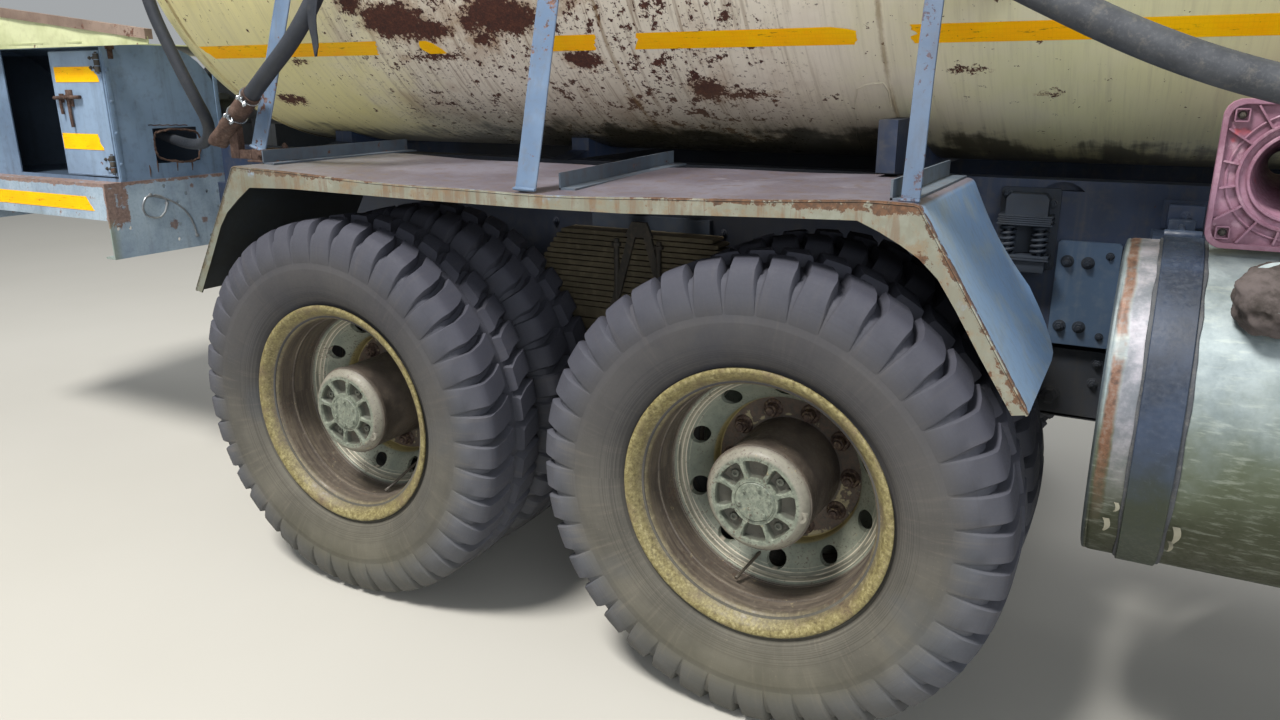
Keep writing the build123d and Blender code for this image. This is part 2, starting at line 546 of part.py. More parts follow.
for s, word in SIDES:
    with BuildPart() as bp:
        plate_xz(DOOR_LEAF, s * (CAB_Y - WALL), s * CAB_Y)
        edges = [e for e in bp.edges() if abs((e @ 0).Y - (e @ 1).Y) < 1 and abs(abs((e @ 0).Y) - CAB_Y) < 1]
        chamfer(edges, 4)
        plate_xz(WINDOW, s * (CAB_Y - WALL - 5), s * (CAB_Y + 5), Mode.SUBTRACT)
        box(3200, 3340, s * (CAB_Y - 1), s * (CAB_Y + 22), 1900, 1925)
        box(3215, 3325, s * (CAB_Y - 1), s * (CAB_Y + 8), 1880, 1945)
        for z in (1620, 1980):
            rod_z(4237, s * (CAB_Y + 13), 8, z - 45, z + 45)
            box(4180, 4237, s * (CAB_Y + 6), s * (CAB_Y + 13), z - 30, z + 30)
            box(4180, 4230, s * (CAB_Y - 2), s * (CAB_Y + 7), z - 30, z + 30)
    save("door_" + word, bp)
    with BuildPart() as bp:
        plate_xz(PANE, s * (CAB_Y - 24), s * (CAB_Y - 18))
    save("door_glass_" + word, bp)

with BuildPart() as bp:
    # windscreen pane in its slanted opening, rear pane
    k = (4230 - 4440) / (2880 - 2080)
    def fx(z, off):
        return 4440 + (z - 2080) * k - off
    plate_xz(((fx(2142, 22), 2142), (fx(2142, 16), 2142), (fx(2828, 16), 2828), (fx(2828, 22), 2828)), -1058, 1058)
    box(CAB_X0 + 14, CAB_X0 + 20, -598, 598, 2252, 2698)
save("cab_glass", bp)

with BuildPart() as bp:
    box(CAB_X1, CAB_X1 + 12, -820, 820, 1440, 1900)
    for i in range(6):
        box(CAB_X1, CAB_X1 + 20, -780, 780, 1470 + 70 * i, 1500 + 70 * i)
save("grille", bp)

# bumper: beam with cut-outs for lamps, brackets back to the rails
with BuildPart() as bp:
    plate_xy([(4525, -1000), (4425, -1200), (4200, -1200), (4200, -1180), (4415, -1180), (4495, -980),
              (4495, 980), (4415, 1180), (4200, 1180), (4200, 1200), (4425, 1200), (4525, 1000)], 760, 1120)
    for s, _ in SIDES:
        box(4201, 4500, s * 350, s * 420, 930, 1080)
        box(4440, 4540, s * 700, s * 960, 880, 1030, Mode.SUBTRACT)
save("front_bumper", bp)

with BuildPart() as bp:
    for s, _ in SIDES:
        box(4480, 4519, s * 700, s * 960, 880, 1030)
        box(DECK_X0 - 25, DECK_X0, s * 640, s * 900, 1060, 1160)
save("lamps", bp)

# half-round guards over the front wheels, hung from the cab floor
with BuildPart() as bp:
    for s, _ in SIDES:
        rod_y(AX_FRONT, HUB_Z, 706, s * 880, s * 1195)
    for s, _ in SIDES:
        rod_y(AX_FRONT, HUB_Z, 700, s * 870, s * 1205, Mode.SUBTRACT)
    box(AX_FRONT - 800, AX_FRONT + 800, -1300, 1300, -200, HUB_Z + 190, Mode.SUBTRACT)
    for s, _ in SIDES:
        for x in (AX_FRONT - 250, AX_FRONT + 250):
            box(x - 20, x + 20, s * 950, s * 1000, 1255, CAB_Z0)
    for s, _ in SIDES:
        rod_y(AX_FRONT, HUB_Z, 700, s * 870, s * 1205, Mode.SUBTRACT)
save("front_mudguards", bp)

# seats
with BuildPart() as bp:
    for y in (-620, 620):
        box(3250, 3760, y - 240, y + 240, 1740, 1880)
        box(3330, 3680, y - 180, y + 180, CAB_Z0 + WALL, 1741)
        plate_xz(((3250, 1860), (3370, 1860), (3260, 2500), (3160, 2500)), y - 230, y + 230)
save("seats", bp)

STEER_Y = 620.0
SW_C = (3960.0, STEER_Y, 2110.0)
SW_T = 35.0          # tilt of the steering wheel's axis from vertical, to the rear
with BuildPart() as bp:
    plate_xz(((4180, 1880), (4438, 1880), (4400, 2070), (4250, 2120), (4150, 2060)), -1130, 1130)
    for s, _ in SIDES:
        box(4200, 4436, s * 900, s * 1000, CAB_Z0 + WALL, 1881)
    ax = Vector(-sin(radians(SW_T)), 0, cos(radians(SW_T)))
    c = Vector(*SW_C)
    a0, a1 = c - ax * 40, c - ax * 420
    beam(tuple(a1), tuple(a0), 60, 60, up=(0, 1, 0))
    box(4110, 4240, STEER_Y - 60, STEER_Y + 60, 1760, 1900)
save("dashboard", bp)

with BuildPart() as bp:
    with Locations(Location(SW_C, (0, -SW_T, 0))):
        Torus(235, 16)
        Cylinder(55, 44)
        Box(440, 40, 16)
        Box(40, 440, 16)
save("steering_wheel", bp)

with BuildPart() as bp:
    for s, _ in SIDES:
        rod_y(4330, 2080, 12, s * CAB_Y, s * 1340)
        rod_y(4215, 2720, 12, s * CAB_Y, s * 1340)
        beam((4330, s * 1330, 2070), (4215, s * 1330, 2730), 20, 20)
        box(4255, 4290, s * 1235, s * 1425, 2220, 2580)
save("mirrors", bp)

# ================================================================== warning cone
# lies on its side on the fuel tank, open base outward
CONE_X, CONE_Y, CONE_Z, CONE_W = 567.0, -905.0, 1421.0, 300.0
with BuildPart() as bp:
    box(CONE_X - CONE_W / 2, CONE_X + CONE_W / 2, CONE_Y - 14, CONE_Y + 14, CONE_Z - CONE_W / 2, CONE_Z + CONE_W / 2)
    fillet(bp.edges().filter_by(Axis.Y), 34)
    with BuildSketch(Plane(origin=(CONE_X, CONE_Y, CONE_Z), x_dir=(1, 0, 0), z_dir=(0, 1, 0))):
        Circle(104)
    with BuildSketch(Plane(origin=(CONE_X, CONE_Y + 400, CONE_Z), x_dir=(1, 0, 0), z_dir=(0, 1, 0))):
        Circle(34)
    loft()
    with BuildSketch(Plane(origin=(CONE_X, CONE_Y - 15, CONE_Z), x_dir=(1, 0, 0), z_dir=(0, 1, 0))):
        Circle(98)
    with BuildSketch(Plane(origin=(CONE_X, CONE_Y + 390, CONE_Z), x_dir=(1, 0, 0), z_dir=(0, 1, 0))):
        Circle(26)
    loft(mode=Mode.SUBTRACT)
save("warning_cone", bp)

# ================================================================== wheels
# outlines are (radius, distance inward from the outer rim flange)
RIM = ((340, 0), (352, 0), (352, 8), (330, 12), (308, 26), (305, 40), (305, 186), (308, 200), (330, 214),
       (352, 218), (352, 226), (340, 226), (318, 212), (297, 196), (295, 186), (295, 40), (297, 30), (318, 14))
TYRE_HALF = ((308, 90), (332, 100), (356, 106), (380, 130), (430, 150), (500, 155), (560, 140),
             (592, 122), (606, 100), (610, 50))


def tyre_outline(mid, flange_a, flange_b):
    """Closed tyre outline round the wheel; the beads stop short of the two rim flanges."""
    out = [(308.5, flange_a + 31), (332, flange_a + 17), (355, flange_a + 12)]
    out += [(r, mid - h) for r, h in TYRE_HALF[3:]]
    out += [(r, mid + h) for r, h in reversed(TYRE_HALF[3:])]
    out += [(355, flange_b - 12), (332, flange_b - 17), (308.5, flange_b - 31)]
    return out


REAR_IN = 357.0                    # outer flange of the inner rim
OUT_MID, IN_MID = 122.0, 461.0     # tyre middles


def rear_tyres():
    with BuildPart() as bp:
        turned(tyre_outline(OUT_MID, 0, 226))
        turned(tyre_outline(IN_MID, REAR_IN, REAR_IN + 226))
    return bp.part


def rear_wheel():
    with BuildPart() as bp:
        turned(RIM)
        turned([(r, REAR_IN + 226 - u) for r, u in RIM])
        # outer disc, inner disc, hub cylinder with bevelled face, brake drum
        turned(((296, 176), (296, 190), (266, 218), (212, 262), (204, 272), (202, 300), (130, 300),
                (130, 288), (190, 288), (194, 262), (204, 250), (256, 206), (284, 178)))
        turned(((130, 300), (204, 300), (266, 350), (296, 380), (296, 396), (284, 396), (256, 362), (198, 312), (130, 312)))
        turned(((0, 35), (118, 35), (140, 58), (140, 320), (66, 320), (66, 205), (0, 205)))
        turned(((66, 311), (225, 311), (225, 520), (210, 520), (210, 325), (66, 325)))
        # ten oval hand holes
        for i in range(10):
            a = radians(36 * i + 18)
            with Locations(Location((240 * sin(a), 250, 240 * cos(a)), (90, 0, 0))):
                Cylinder(23, 120, mode=Mode.SUBTRACT)
    return bp.part


def front_tyre():
    with BuildPart() as bp:
        turned(tyre_outline(113, 0, 226))
    return bp.part


def front_wheel():
    with BuildPart() as bp:
        turned(RIM)
        turned(((296, 60), (296, 74), (262, 62), (214, 34), (110, 34), (110, 22), (214, 22), (266, 50)))
        turned(((0, -30), (70, -30), (84, -18), (112, -14), (112, 190), (54, 190), (54, 60), (0, 60)))
        turned(((54, 100), (212, 100), (212, 196), (198, 196), (198, 114), (54, 114)))
        for i in range(10):
            a = radians(36 * i + 18)
            with Locations(Location((240 * sin(a), 45, 240 * cos(a)), (90, 0, 0))):
                Cylinder(23, 120, mode=Mode.SUBTRACT)
    return bp.part


def store(name, shape):
    shape.label = name
    export_step(shape, "parts/" + name + ".step")
    print(f"{name:22s} solids {len(shape.solids()):2d}  volume {shape.volume/1e9:9.5f} m3")


RT, RW, FT, FW = rear_tyres(), rear_wheel(), front_tyre(), front_wheel()
for axle, x in (("mid", AX_MID), ("rear", AX_REAR)):
    for s, word in SIDES:
        store(f"{axle}_tyres_{word}", place(RT, x, RIM_Y, s))
        store(f"{axle}_wheel_{word}", place(RW, x, RIM_Y, s))
for s, word in SIDES:
    store(f"front_tyre_{word}", place(FT, AX_FRONT, FRONT_RIM_Y, s))
    store(f"front_wheel_{word}", place(FW, AX_FRONT, FRONT_RIM_Y, s))

# steering knuckles: pin, two eyes round the axle's boss, spindle, backing plate, arm
for s, word in SIDES:
    with BuildPart() as bp:
        rod_z(AX_FRONT, s * KING_Y, 20, 520, 705)
        for z0, z1 in ((516, 552), (668, 704)):
            rod_z(AX_FRONT, s * KING_Y, 44, z0, z1)
            box(AX_FRONT - 44, AX_FRONT + 44, s * KING_Y, s * 930, z0, z1)
        box(AX_FRONT - 44, AX_FRONT + 44, s * 905, s * 930, 516, 704)
        rod_y(AX_FRONT, HUB_Z, 46, s * 929, s * (FRONT_RIM_Y - 68))
        rod_y(AX_FRONT, HUB_Z, 190, s * 930, s * 942)
        box(AX_FRONT - 230, AX_FRONT - 30, s * (KING_Y - 20), s * (KING_Y + 20), 518, 540)
    save("knuckle_" + word, bp)
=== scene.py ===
import bpy
import bmesh
import math
import random
from math import sin, cos, tan, pi, radians, sqrt, atan2
from mathutils import Vector, Matrix


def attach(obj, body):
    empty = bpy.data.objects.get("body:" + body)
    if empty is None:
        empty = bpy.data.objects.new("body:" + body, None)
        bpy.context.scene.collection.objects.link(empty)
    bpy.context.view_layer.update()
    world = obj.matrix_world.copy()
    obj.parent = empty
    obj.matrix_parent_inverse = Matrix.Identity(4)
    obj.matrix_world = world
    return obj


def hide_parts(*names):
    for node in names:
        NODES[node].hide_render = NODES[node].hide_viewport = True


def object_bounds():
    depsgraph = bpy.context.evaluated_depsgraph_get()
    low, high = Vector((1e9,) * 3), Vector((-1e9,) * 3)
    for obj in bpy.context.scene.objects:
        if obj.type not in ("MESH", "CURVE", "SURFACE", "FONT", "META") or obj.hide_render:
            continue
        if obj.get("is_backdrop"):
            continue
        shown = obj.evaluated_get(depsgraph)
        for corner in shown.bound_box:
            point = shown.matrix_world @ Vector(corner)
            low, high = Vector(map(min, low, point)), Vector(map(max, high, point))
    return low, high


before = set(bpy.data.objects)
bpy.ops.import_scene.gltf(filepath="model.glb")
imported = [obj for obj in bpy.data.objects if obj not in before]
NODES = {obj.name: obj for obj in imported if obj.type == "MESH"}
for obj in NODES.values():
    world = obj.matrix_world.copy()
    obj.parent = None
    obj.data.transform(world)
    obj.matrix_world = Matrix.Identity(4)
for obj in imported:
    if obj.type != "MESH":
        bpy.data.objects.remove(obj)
CAD_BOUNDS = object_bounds()
SC = bpy.context.scene

# ================================================================ camera
yaw, pitch, roll = radians(28.662), radians(16.530), radians(-0.163)
fwd = Vector((-sin(yaw) * cos(pitch), cos(yaw) * cos(pitch), -sin(pitch)))
rgt = fwd.cross(Vector((0, 0, 1))).normalized()
upv = rgt.cross(fwd).normalized()
r2 = rgt * cos(roll) + upv * sin(roll)
u2 = -rgt * sin(roll) + upv * cos(roll)
cam = bpy.data.objects.new("photo_camera", bpy.data.cameras.new("photo_camera"))
cam.matrix_world = Matrix(((r2.x, u2.x, -fwd.x, 0.3132), (r2.y, u2.y, -fwd.y, -3.1784),
                           (r2.z, u2.z, -fwd.z, 1.6021), (0, 0, 0, 1)))
cam.data.lens = 26.19
cam.data.sensor_width = 36.0
cam.data.clip_start = 0.05
SC.collection.objects.link(cam)
SC.camera = cam


# ================================================================ materials
def lin(h, a=1.0):
    h = h.lstrip("#")
    c = [int(h[i:i + 2], 16) / 255 for i in (0, 2, 4)]
    return tuple([(v / 12.92 if v <= 0.04045 else ((v + 0.055) / 1.055) ** 2.4) for v in c] + [a])


class Mat:
    """A small node builder round one Principled shader. Coordinates are the object's own, in metres."""

    def __init__(self, name, rough=0.6, metal=0.0, spec=0.5, flip=False):
        self.m = bpy.data.materials.new(name)
        self.m.use_nodes = True
        self.t = self.m.node_tree
        self.b = self.t.nodes["Principled BSDF"]
        self.b.inputs["Roughness"].default_value = rough
        self.b.inputs["Metallic"].default_value = metal
        self.b.inputs["Specular IOR Level"].default_value = spec
        self.co = self.n("ShaderNodeTexCoord").outputs["Object"]
        self._xyz = None

    def n(self, kind, **kw):
        node = self.t.nodes.new(kind)
        for k, v in kw.items():
            setattr(node, k, v)
        return node

    def put(self, sock, v):
        if isinstance(v, bpy.types.NodeSocket):
            self.t.links.new(v, sock)
        else:
            sock.default_value = v

    @property
    def xyz(self):
        if self._xyz is None:
            s = self.n("ShaderNodeSeparateXYZ")
            self.put(s.inputs[0], self.co)
            self._xyz = (s.outputs[0], s.outputs[1], s.outputs[2])
        return self._xyz

    def comb(self, x, y, z):
        c = self.n("ShaderNodeCombineXYZ")
        for i, v in enumerate((x, y, z)):
            self.put(c.inputs[i], v)
        return c.outputs[0]

    def stretch(self, sx, sy, sz, co=None, loc=(0, 0, 0)):
        m = self.n("ShaderNodeMapping")
        self.put(m.inputs["Vector"], co if co is not None else self.co)
        m.inputs["Scale"].default_value = (sx, sy, sz)
        m.inputs["Location"].default_value = loc
        return m.outputs[0]

    def noise(self, scale, detail=3.0, rough=0.55, co=None, dist=0.0):
        t = self.n("ShaderNodeTexNoise")
        self.put(t.inputs["Vector"], co if co is not None else self.co)
        t.inputs["Scale"].default_value = scale
        t.inputs["Detail"].default_value = detail
        t.inputs["Roughness"].default_value = rough
        t.inputs["Distortion"].default_value = dist
        return t.outputs["Fac"]

    def cells(self, scale, co=None, feature="F1", rnd=1.0):
        t = self.n("ShaderNodeTexVoronoi")
        t.feature = feature
        self.put(t.inputs["Vector"], co if co is not None else self.co)
        t.inputs["Scale"].default_value = scale
        t.inputs["Randomness"].default_value = rnd
        return t.outputs["Distance"]

    def wave(self, scale, axis="X", co=None, dist=0.0):
        t = self.n("ShaderNodeTexWave")
        t.bands_direction = axis
        self.put(t.inputs["Vector"], co if co is not None else self.co)
        t.inputs["Scale"].default_value = scale
        t.inputs["Distortion"].default_value = dist
        return t.outputs["Fac"]

    def op(self, kind, a, b=0.0, c=None, clamp=False):
        o = self.n("ShaderNodeMath", operation=kind, use_clamp=clamp)
        self.put(o.inputs[0], a)
        self.put(o.inputs[1], b)
        if c is not None:
            self.put(o.inputs[2], c)
        return o.outputs[0]

    def mul(self, a, b): return self.op("MULTIPLY", a, b)
    def add(self, a, b): return self.op("ADD", a, b)
    def sub(self, a, b): return self.op("SUBTRACT", a, b)
    def hi(self, a, b): return self.op("MAXIMUM", a, b)

    def span(self, v, lo, hi, a=0.0, b=1.0):
        r = self.n("ShaderNodeMapRange", interpolation_type="SMOOTHSTEP", clamp=True)
        self.put(r.inputs["Value"], v)
        r.inputs["From Min"].default_value = lo
        r.inputs["From Max"].default_value = hi
        r.inputs["To Min"].default_value = a
        r.inputs["To Max"].default_value = b
        return r.outputs["Result"]

    def mix(self, f, a, b):
        m = self.n("ShaderNodeMix", data_type="RGBA")
        self.put(m.inputs[0], f)
        self.put(m.inputs[6], a if not isinstance(a, str) else lin(a))
        self.put(m.inputs[7], b if not isinstance(b, str) else lin(b))
        return m.outputs[2]

    def ramp(self, v, *stops):
        r = self.n("ShaderNodeValToRGB")
        self.put(r.inputs[0], v)
        e = r.color_ramp.elements
        e[0].position, e[0].color = stops[0][0], lin(stops[0][1])
        e[1].position, e[1].color = stops[-1][0], lin(stops[-1][1])
        for p, c in stops[1:-1]:
            x = e.new(p)
            x.color = lin(c)
        return r.outputs[0]

    def base(self, c):
        self.put(self.b.inputs["Base Color"], c if not isinstance(c, str) else lin(c))
        return self

    def rough(self, v):
        self.put(self.b.inputs["Roughness"], v)
        return self

    def bump(self, h, strength=0.3, dist=0.002):
        b = self.n("ShaderNodeBump")
        b.inputs["Strength"].default_value = strength
        b.inputs["Distance"].default_value = dist
        self.put(b.inputs["Height"], h)
        self.put(self.b.inputs["Normal"], b.outputs[0])
        return self


RUST = ((0.0, "#261813"), (0.35, "#432d24"), (0.55, "#64463a"), (0.75, "#866451"), (1.0, "#a98d7b"))


def worn(name, c1, c2, rust=0.5, dirt="#6d665c", dust=0.35, rough=0.55, metal=0.0, scale=1.0, streak=0.35,
         chip_scale=26.0, rust_tone=None, coarse=3.0, bump=0.25, floor_dirt=True):
    """Old paint: two faded tones, vertical streaks, dust, chips that show rust."""
    m = Mat(name, rough, metal)
    x, y, z = m.xyz
    big = m.noise(coarse * scale, 4, 0.6)
    fine = m.noise(38 * scale, 3, 0.6)
    col = m.mix(m.span(big, 0.35, 0.65), c1, c2)
    st = m.noise(1.0, 4, 0.6, co=m.stretch(34 * scale, 34 * scale, 2.2 * scale))
    col = m.mix(m.mul(m.span(st, 0.5, 0.75), streak), col, dirt)
    col = m.mix(m.mul(m.span(fine, 0.45, 0.8), dust), col, dirt)
    chips = m.noise(chip_scale * scale, 5, 0.68)
    where = m.noise(5 * scale, 3, 0.6, co=m.stretch(1, 1, 1, loc=(3.1, 1.7, 0.4)))
    mask = m.span(m.add(m.mul(chips, 0.62), m.mul(where, 0.5)), 0.76 - 0.22 * rust, 0.80 - 0.22 * rust)
    tone = m.ramp(m.noise(60 * scale, 4, 0.7), *(rust_tone or RUST))
    col = m.mix(mask, col, tone)
    if floor_dirt:
        low = m.span(m.add(z, m.mul(big, 0.5)), 1.25, 0.45)
        col = m.mix(m.mul(low, 0.45), col, "#6b6152")
    m.base(col)
    m.rough(m.span(m.add(m.mul(fine, 0.6), m.mul(mask, 0.6)), 0.1, 1.0, max(0.05, rough - 0.12), min(1.0, rough + 0.3)))
    m.bump(m.add(m.mul(chips, 0.5), m.sub(m.mul(fine, 0.3), m.mul(mask, 0.5))), bump, 0.0018)
    m.mask, m.col = mask, col
    return m


def dress(node, mat):
    """Gives a CAD node one material in all its slots."""
    o = NODES[node]
    m = mat.m if isinstance(mat, Mat) else mat
    if not o.data.materials:
        o.data.materials.append(m)
    for i in range(len(o.material_slots)):
        o.material_slots[i].material = m


# ================================================================ mesh builder
def ortho(d):
    d = Vector(d).normalized()
    a = Vector((0, 0, 1)) if abs(d.z) < 0.9 else Vector((1, 0, 0))
    u = d.cross(a).normalized()
    return u, d.cross(u).normalized()


class Build:
    """Gathers shapes into one mesh, all in metres in the truck's frame."""

    def __init__(self):
        self.v, self.f = [], []

    def raw(self, verts, faces):
        k = len(self.v)
        self.v += [tuple(p) for p in verts]
        self.f += [tuple(i + k for i in q) for q in faces]

    def box(self, x0, x1, y0, y1, z0, z1, bev=0.0015, m=None):
        x0, x1, y0, y1, z0, z1 = min(x0, x1), max(x0, x1), min(y0, y1), max(y0, y1), min(z0, z1), max(z0, z1)
        bev = min(bev, (x1 - x0) * 0.35, (y1 - y0) * 0.35, (z1 - z0) * 0.35)
        bm = bmesh.new()
        bmesh.ops.create_cube(bm, size=1.0)
        for v in bm.verts:
            v.co = Vector((x0 if v.co.x < 0 else x1, y0 if v.co.y < 0 else y1, z0 if v.co.z < 0 else z1))
        bmesh.ops.bevel(bm, geom=list(bm.edges), offset=bev, segments=2, affect="EDGES", profile=0.6)
        self.bm(bm, m)

    def bm(self, bm, m=None):
        bm.verts.index_update()
        vs = [(m @ v.co) if m is not None else v.co.copy() for v in bm.verts]
        fs = [[v.index for v in f.verts] for f in bm.faces]
        self.raw(vs, fs)
        bm.free()

    def spin(self, prof, p, d, n=32, cap=True, ring=None):
        """Turns (radius, height) pairs about the axis from p along d."""
        p, d = Vector(p), Vector(d).normalized()
        u, w = ortho(d)
        verts, faces = [], []
        for r, h in prof:
            for i in range(n):
                a = 2 * pi * i / n
                verts.append(p + d * h + (u * cos(a) + w * sin(a)) * r)
        for k in range(len(prof) - 1):
            for i in range(n):
                j = (i + 1) % n
                faces.append((k * n + i, k * n + j, (k + 1) * n + j, (k + 1) * n + i))
        if cap:
            faces.append(tuple(reversed(range(n))))
            faces.append(tuple((len(prof) - 1) * n + i for i in range(n)))
        self.raw(verts, faces)

    def rod(self, p, q, r, n=20, bev=0.0):
        p, q = Vector(p), Vector(q)
        h = (q - p).length
        b = min(bev, r * 0.5, h * 0.4)
        prof = [(r, 0), (r, h)] if b <= 0 else [(r - b, 0), (r - b * 0.3, b * 0.3), (r, b), (r, h - b), (r - b * 0.3, h - b * 0.3), (r - b, h)]
        self.spin(prof, p, q - p, n)

    def hexnut(self, p, d, r, h, washer=0.0):
        d = Vector(d).normalized()
        p = Vector(p)
        if washer:
            self.spin([(r * 1.35, 0), (r * 1.35, washer * 0.8), (r * 1.28, washer)], p, d, 24)
            p = p + d * washer
        self.spin([(r, 0), (r, h * 0.86), (r * 0.9, h)], p, d, 6)

    def bolt(self, p, d, r, h, washer=0.002):
        self.hexnut(p, d, r, h, washer)
        q = Vector(p) + Vector(d).normalized() * (washer + h)
        self.spin([(r * 0.5, -0.001), (r * 0.5, h * 0.45), (r * 0.42, h * 0.55)], q, d, 12)

    def tube(self, pts, r, n=10, closed=False, flat=1.0):
        pts = [Vector(p) for p in pts]
        m = len(pts)
        verts, faces = [], []
        u = None
        for i, p in enumerate(pts):
            if closed:
                d = pts[(i + 1) % m] - pts[i - 1]
            else:
                d = pts[min(i + 1, m - 1)] - pts[max(i - 1, 0)]
            d.normalize()
            if u is None:
                u, w = ortho(d)
            else:
                u = (u - d * u.dot(d)).normalized()
                w = d.cross(u)
            rr = r[i] if isinstance(r, (list, tuple)) else r
            for k in range(n):
                a = 2 * pi * k / n
                verts.append(p + u * cos(a) * rr + w * sin(a) * rr * flat)
        for i in range(m if closed else m - 1):
            j = (i + 1) % m
            for k in range(n):
                l = (k + 1) % n
                faces.append((i * n + k, i * n + l, j * n + l, j * n + k))
        if not closed:
            faces.append(tuple(reversed(range(n))))
            faces.append(tuple((m - 1) * n + k for k in range(n)))
        self.raw(verts, faces)

    def prism(self, pts, d):
        """A closed outline of 3-D points pushed along d."""
        d = Vector(d)
        a = [Vector(p) for p in pts]
        n = len(a)
        vs = a + [p + d for p in a]
        fs = [tuple(reversed(range(n))), tuple(range(n, 2 * n))]
        fs += [(i, (i + 1) % n, n + (i + 1) % n, n + i) for i in range(n)]
        self.raw(vs, fs)

    def grid(self, fn, nu, nv, wrap_u=False):
        vs = [fn(i, j) for j in range(nv) for i in range(nu)]
        fs = []
        for j in range(nv - 1):
            for i in range(nu if wrap_u else nu - 1):
                k = (i + 1) % nu
                fs.append((j * nu + i, j * nu + k, (j + 1) * nu + k, (j + 1) * nu + i))
        self.raw(vs, fs)

    def done(self, name, mat, body="chassis", replaces=(), angle=35.0, weld=0.0, bevel=0.0):
        me = bpy.data.meshes.new(name)
        me.from_pydata([tuple(p) for p in self.v], [], self.f)
        bm = bmesh.new()
        bm.from_mesh(me)
        if weld:
            bmesh.ops.remove_doubles(bm, verts=bm.verts, dist=weld)
        bmesh.ops.recalc_face_normals(bm, faces=bm.faces)
        bm.to_mesh(me)
        bm.free()
        me.validate()
        for p in me.polygons:
            p.use_smooth = True
        me.set_sharp_from_angle(angle=radians(angle))
        o = bpy.data.objects.new(name, me)
        SC.collection.objects.link(o)
        me.materials.append(mat.m if isinstance(mat, Mat) else mat)
        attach(o, body)
        if replaces:
            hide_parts(*replaces)
        return o


# ================================================================ sizes shared with the CAD (metres)
HUB_Z = 0.610
AX_FRONT, AX_MID, AX_REAR = 3.160, -0.450, -1.830
BOGIE_X = (AX_MID + AX_REAR) / 2
RIM_Y, FRONT_RIM_Y = 1.230, 1.150
RAIL_Y = 0.430
TANK_R, TANK_Z = 0.950, 2.320
GUARD_Z = 1.365
SIDES = ((-1, "right"), (1, "left"))


def on_tank(x, th, off=0.0, s=-1):
    """Point on the barrel: place along the truck, degrees below its middle height, height above the plate."""
    a = radians(th)
    return Vector((x, s * (TANK_R + off) * cos(a), TANK_Z - (TANK_R + off) * sin(a)))


# ================================================================ material set
def rubber(name, x0, lugged=True):
    """Dusty tyre rubber: brown-grey side wall, bluer lugs, rings near the bead, painted shade over the upper half. x0
    is the wheel centre.
    """
    m = Mat(name, 0.78, 0.0, 0.25)
    x, y, z = m.xyz
    dx, dz = m.sub(x, x0), m.sub(z, HUB_Z)
    r = m.op("SQRT", m.add(m.mul(dx, dx), m.mul(dz, dz)))
    ang = m.op("ARCTAN2", dz, dx)
    polar = m.comb(m.mul(ang, 0.5), m.mul(r, 1.0), y)
    big = m.noise(5, 4, 0.6)
    fine = m.noise(120, 4, 0.7)
    rings = m.noise(1.0, 2, 0.5, co=m.stretch(3, 260, 3, co=polar))
    streak = m.noise(1.0, 3, 0.6, co=m.stretch(60, 5, 5, co=polar))
    col = m.mix(m.span(big, 0.3, 0.7), "#4e4c46", "#625f56")
    col = m.mix(m.mul(m.span(m.add(r, m.mul(big, 0.03)), 0.475, 0.560), 0.85), col, "#57595f")
    col = m.mix(m.mul(m.span(r, 0.585, 0.606), 0.5), col, "#46474e")
    col = m.mix(m.mul(m.span(streak, 0.5, 0.8), 0.30), col, "#7e766a")
    col = m.mix(m.mul(m.span(rings, 0.5, 0.75), 0.22), col, "#4a453f")
    col = m.mix(m.mul(m.span(fine, 0.55, 0.8), 0.35), col, "#857d70")
    bead = m.mul(m.span(r, 0.425, 0.405), m.span(m.noise(1.0, 1, 0.4, co=m.stretch(0.4, 520, 0.4, co=polar)), 0.46, 0.56))
    col = m.mix(m.mul(bead, 0.45), col, "#37342f")
    blot = m.noise(2.3, 3, 0.6, dist=0.6)
    col = m.mix(m.mul(m.span(blot, 0.52, 0.68), 0.35), col, "#4a4f55")
    # painted shade: the rubber turns darker and bluer towards the top, where the mudguard's shadow falls
    col = m.mix(m.mul(m.span(m.add(z, m.mul(big, 0.3)), 0.45, 1.15), 0.62), col, "#33343f")
    col = m.mix(m.mul(m.span(r, 0.50, 0.60), 0.35), col, "#3d3e4b")
    # green-brown soil low on the wall
    low = m.mul(m.span(m.add(z, m.mul(big, 0.16)), 0.42, 0.08), 0.45)
    col = m.mix(low, col, "#5d5a45")
    m.base(col)
    m.rough(m.span(fine, 0.3, 0.8, 0.66, 0.92))
    h = m.add(m.mul(fine, 0.35), m.mul(m.mul(rings, m.span(r, 0.44, 0.38)), 1.6))
    m.bump(m.add(h, m.mul(big, 0.3)), 0.35, 0.0015)
    return m


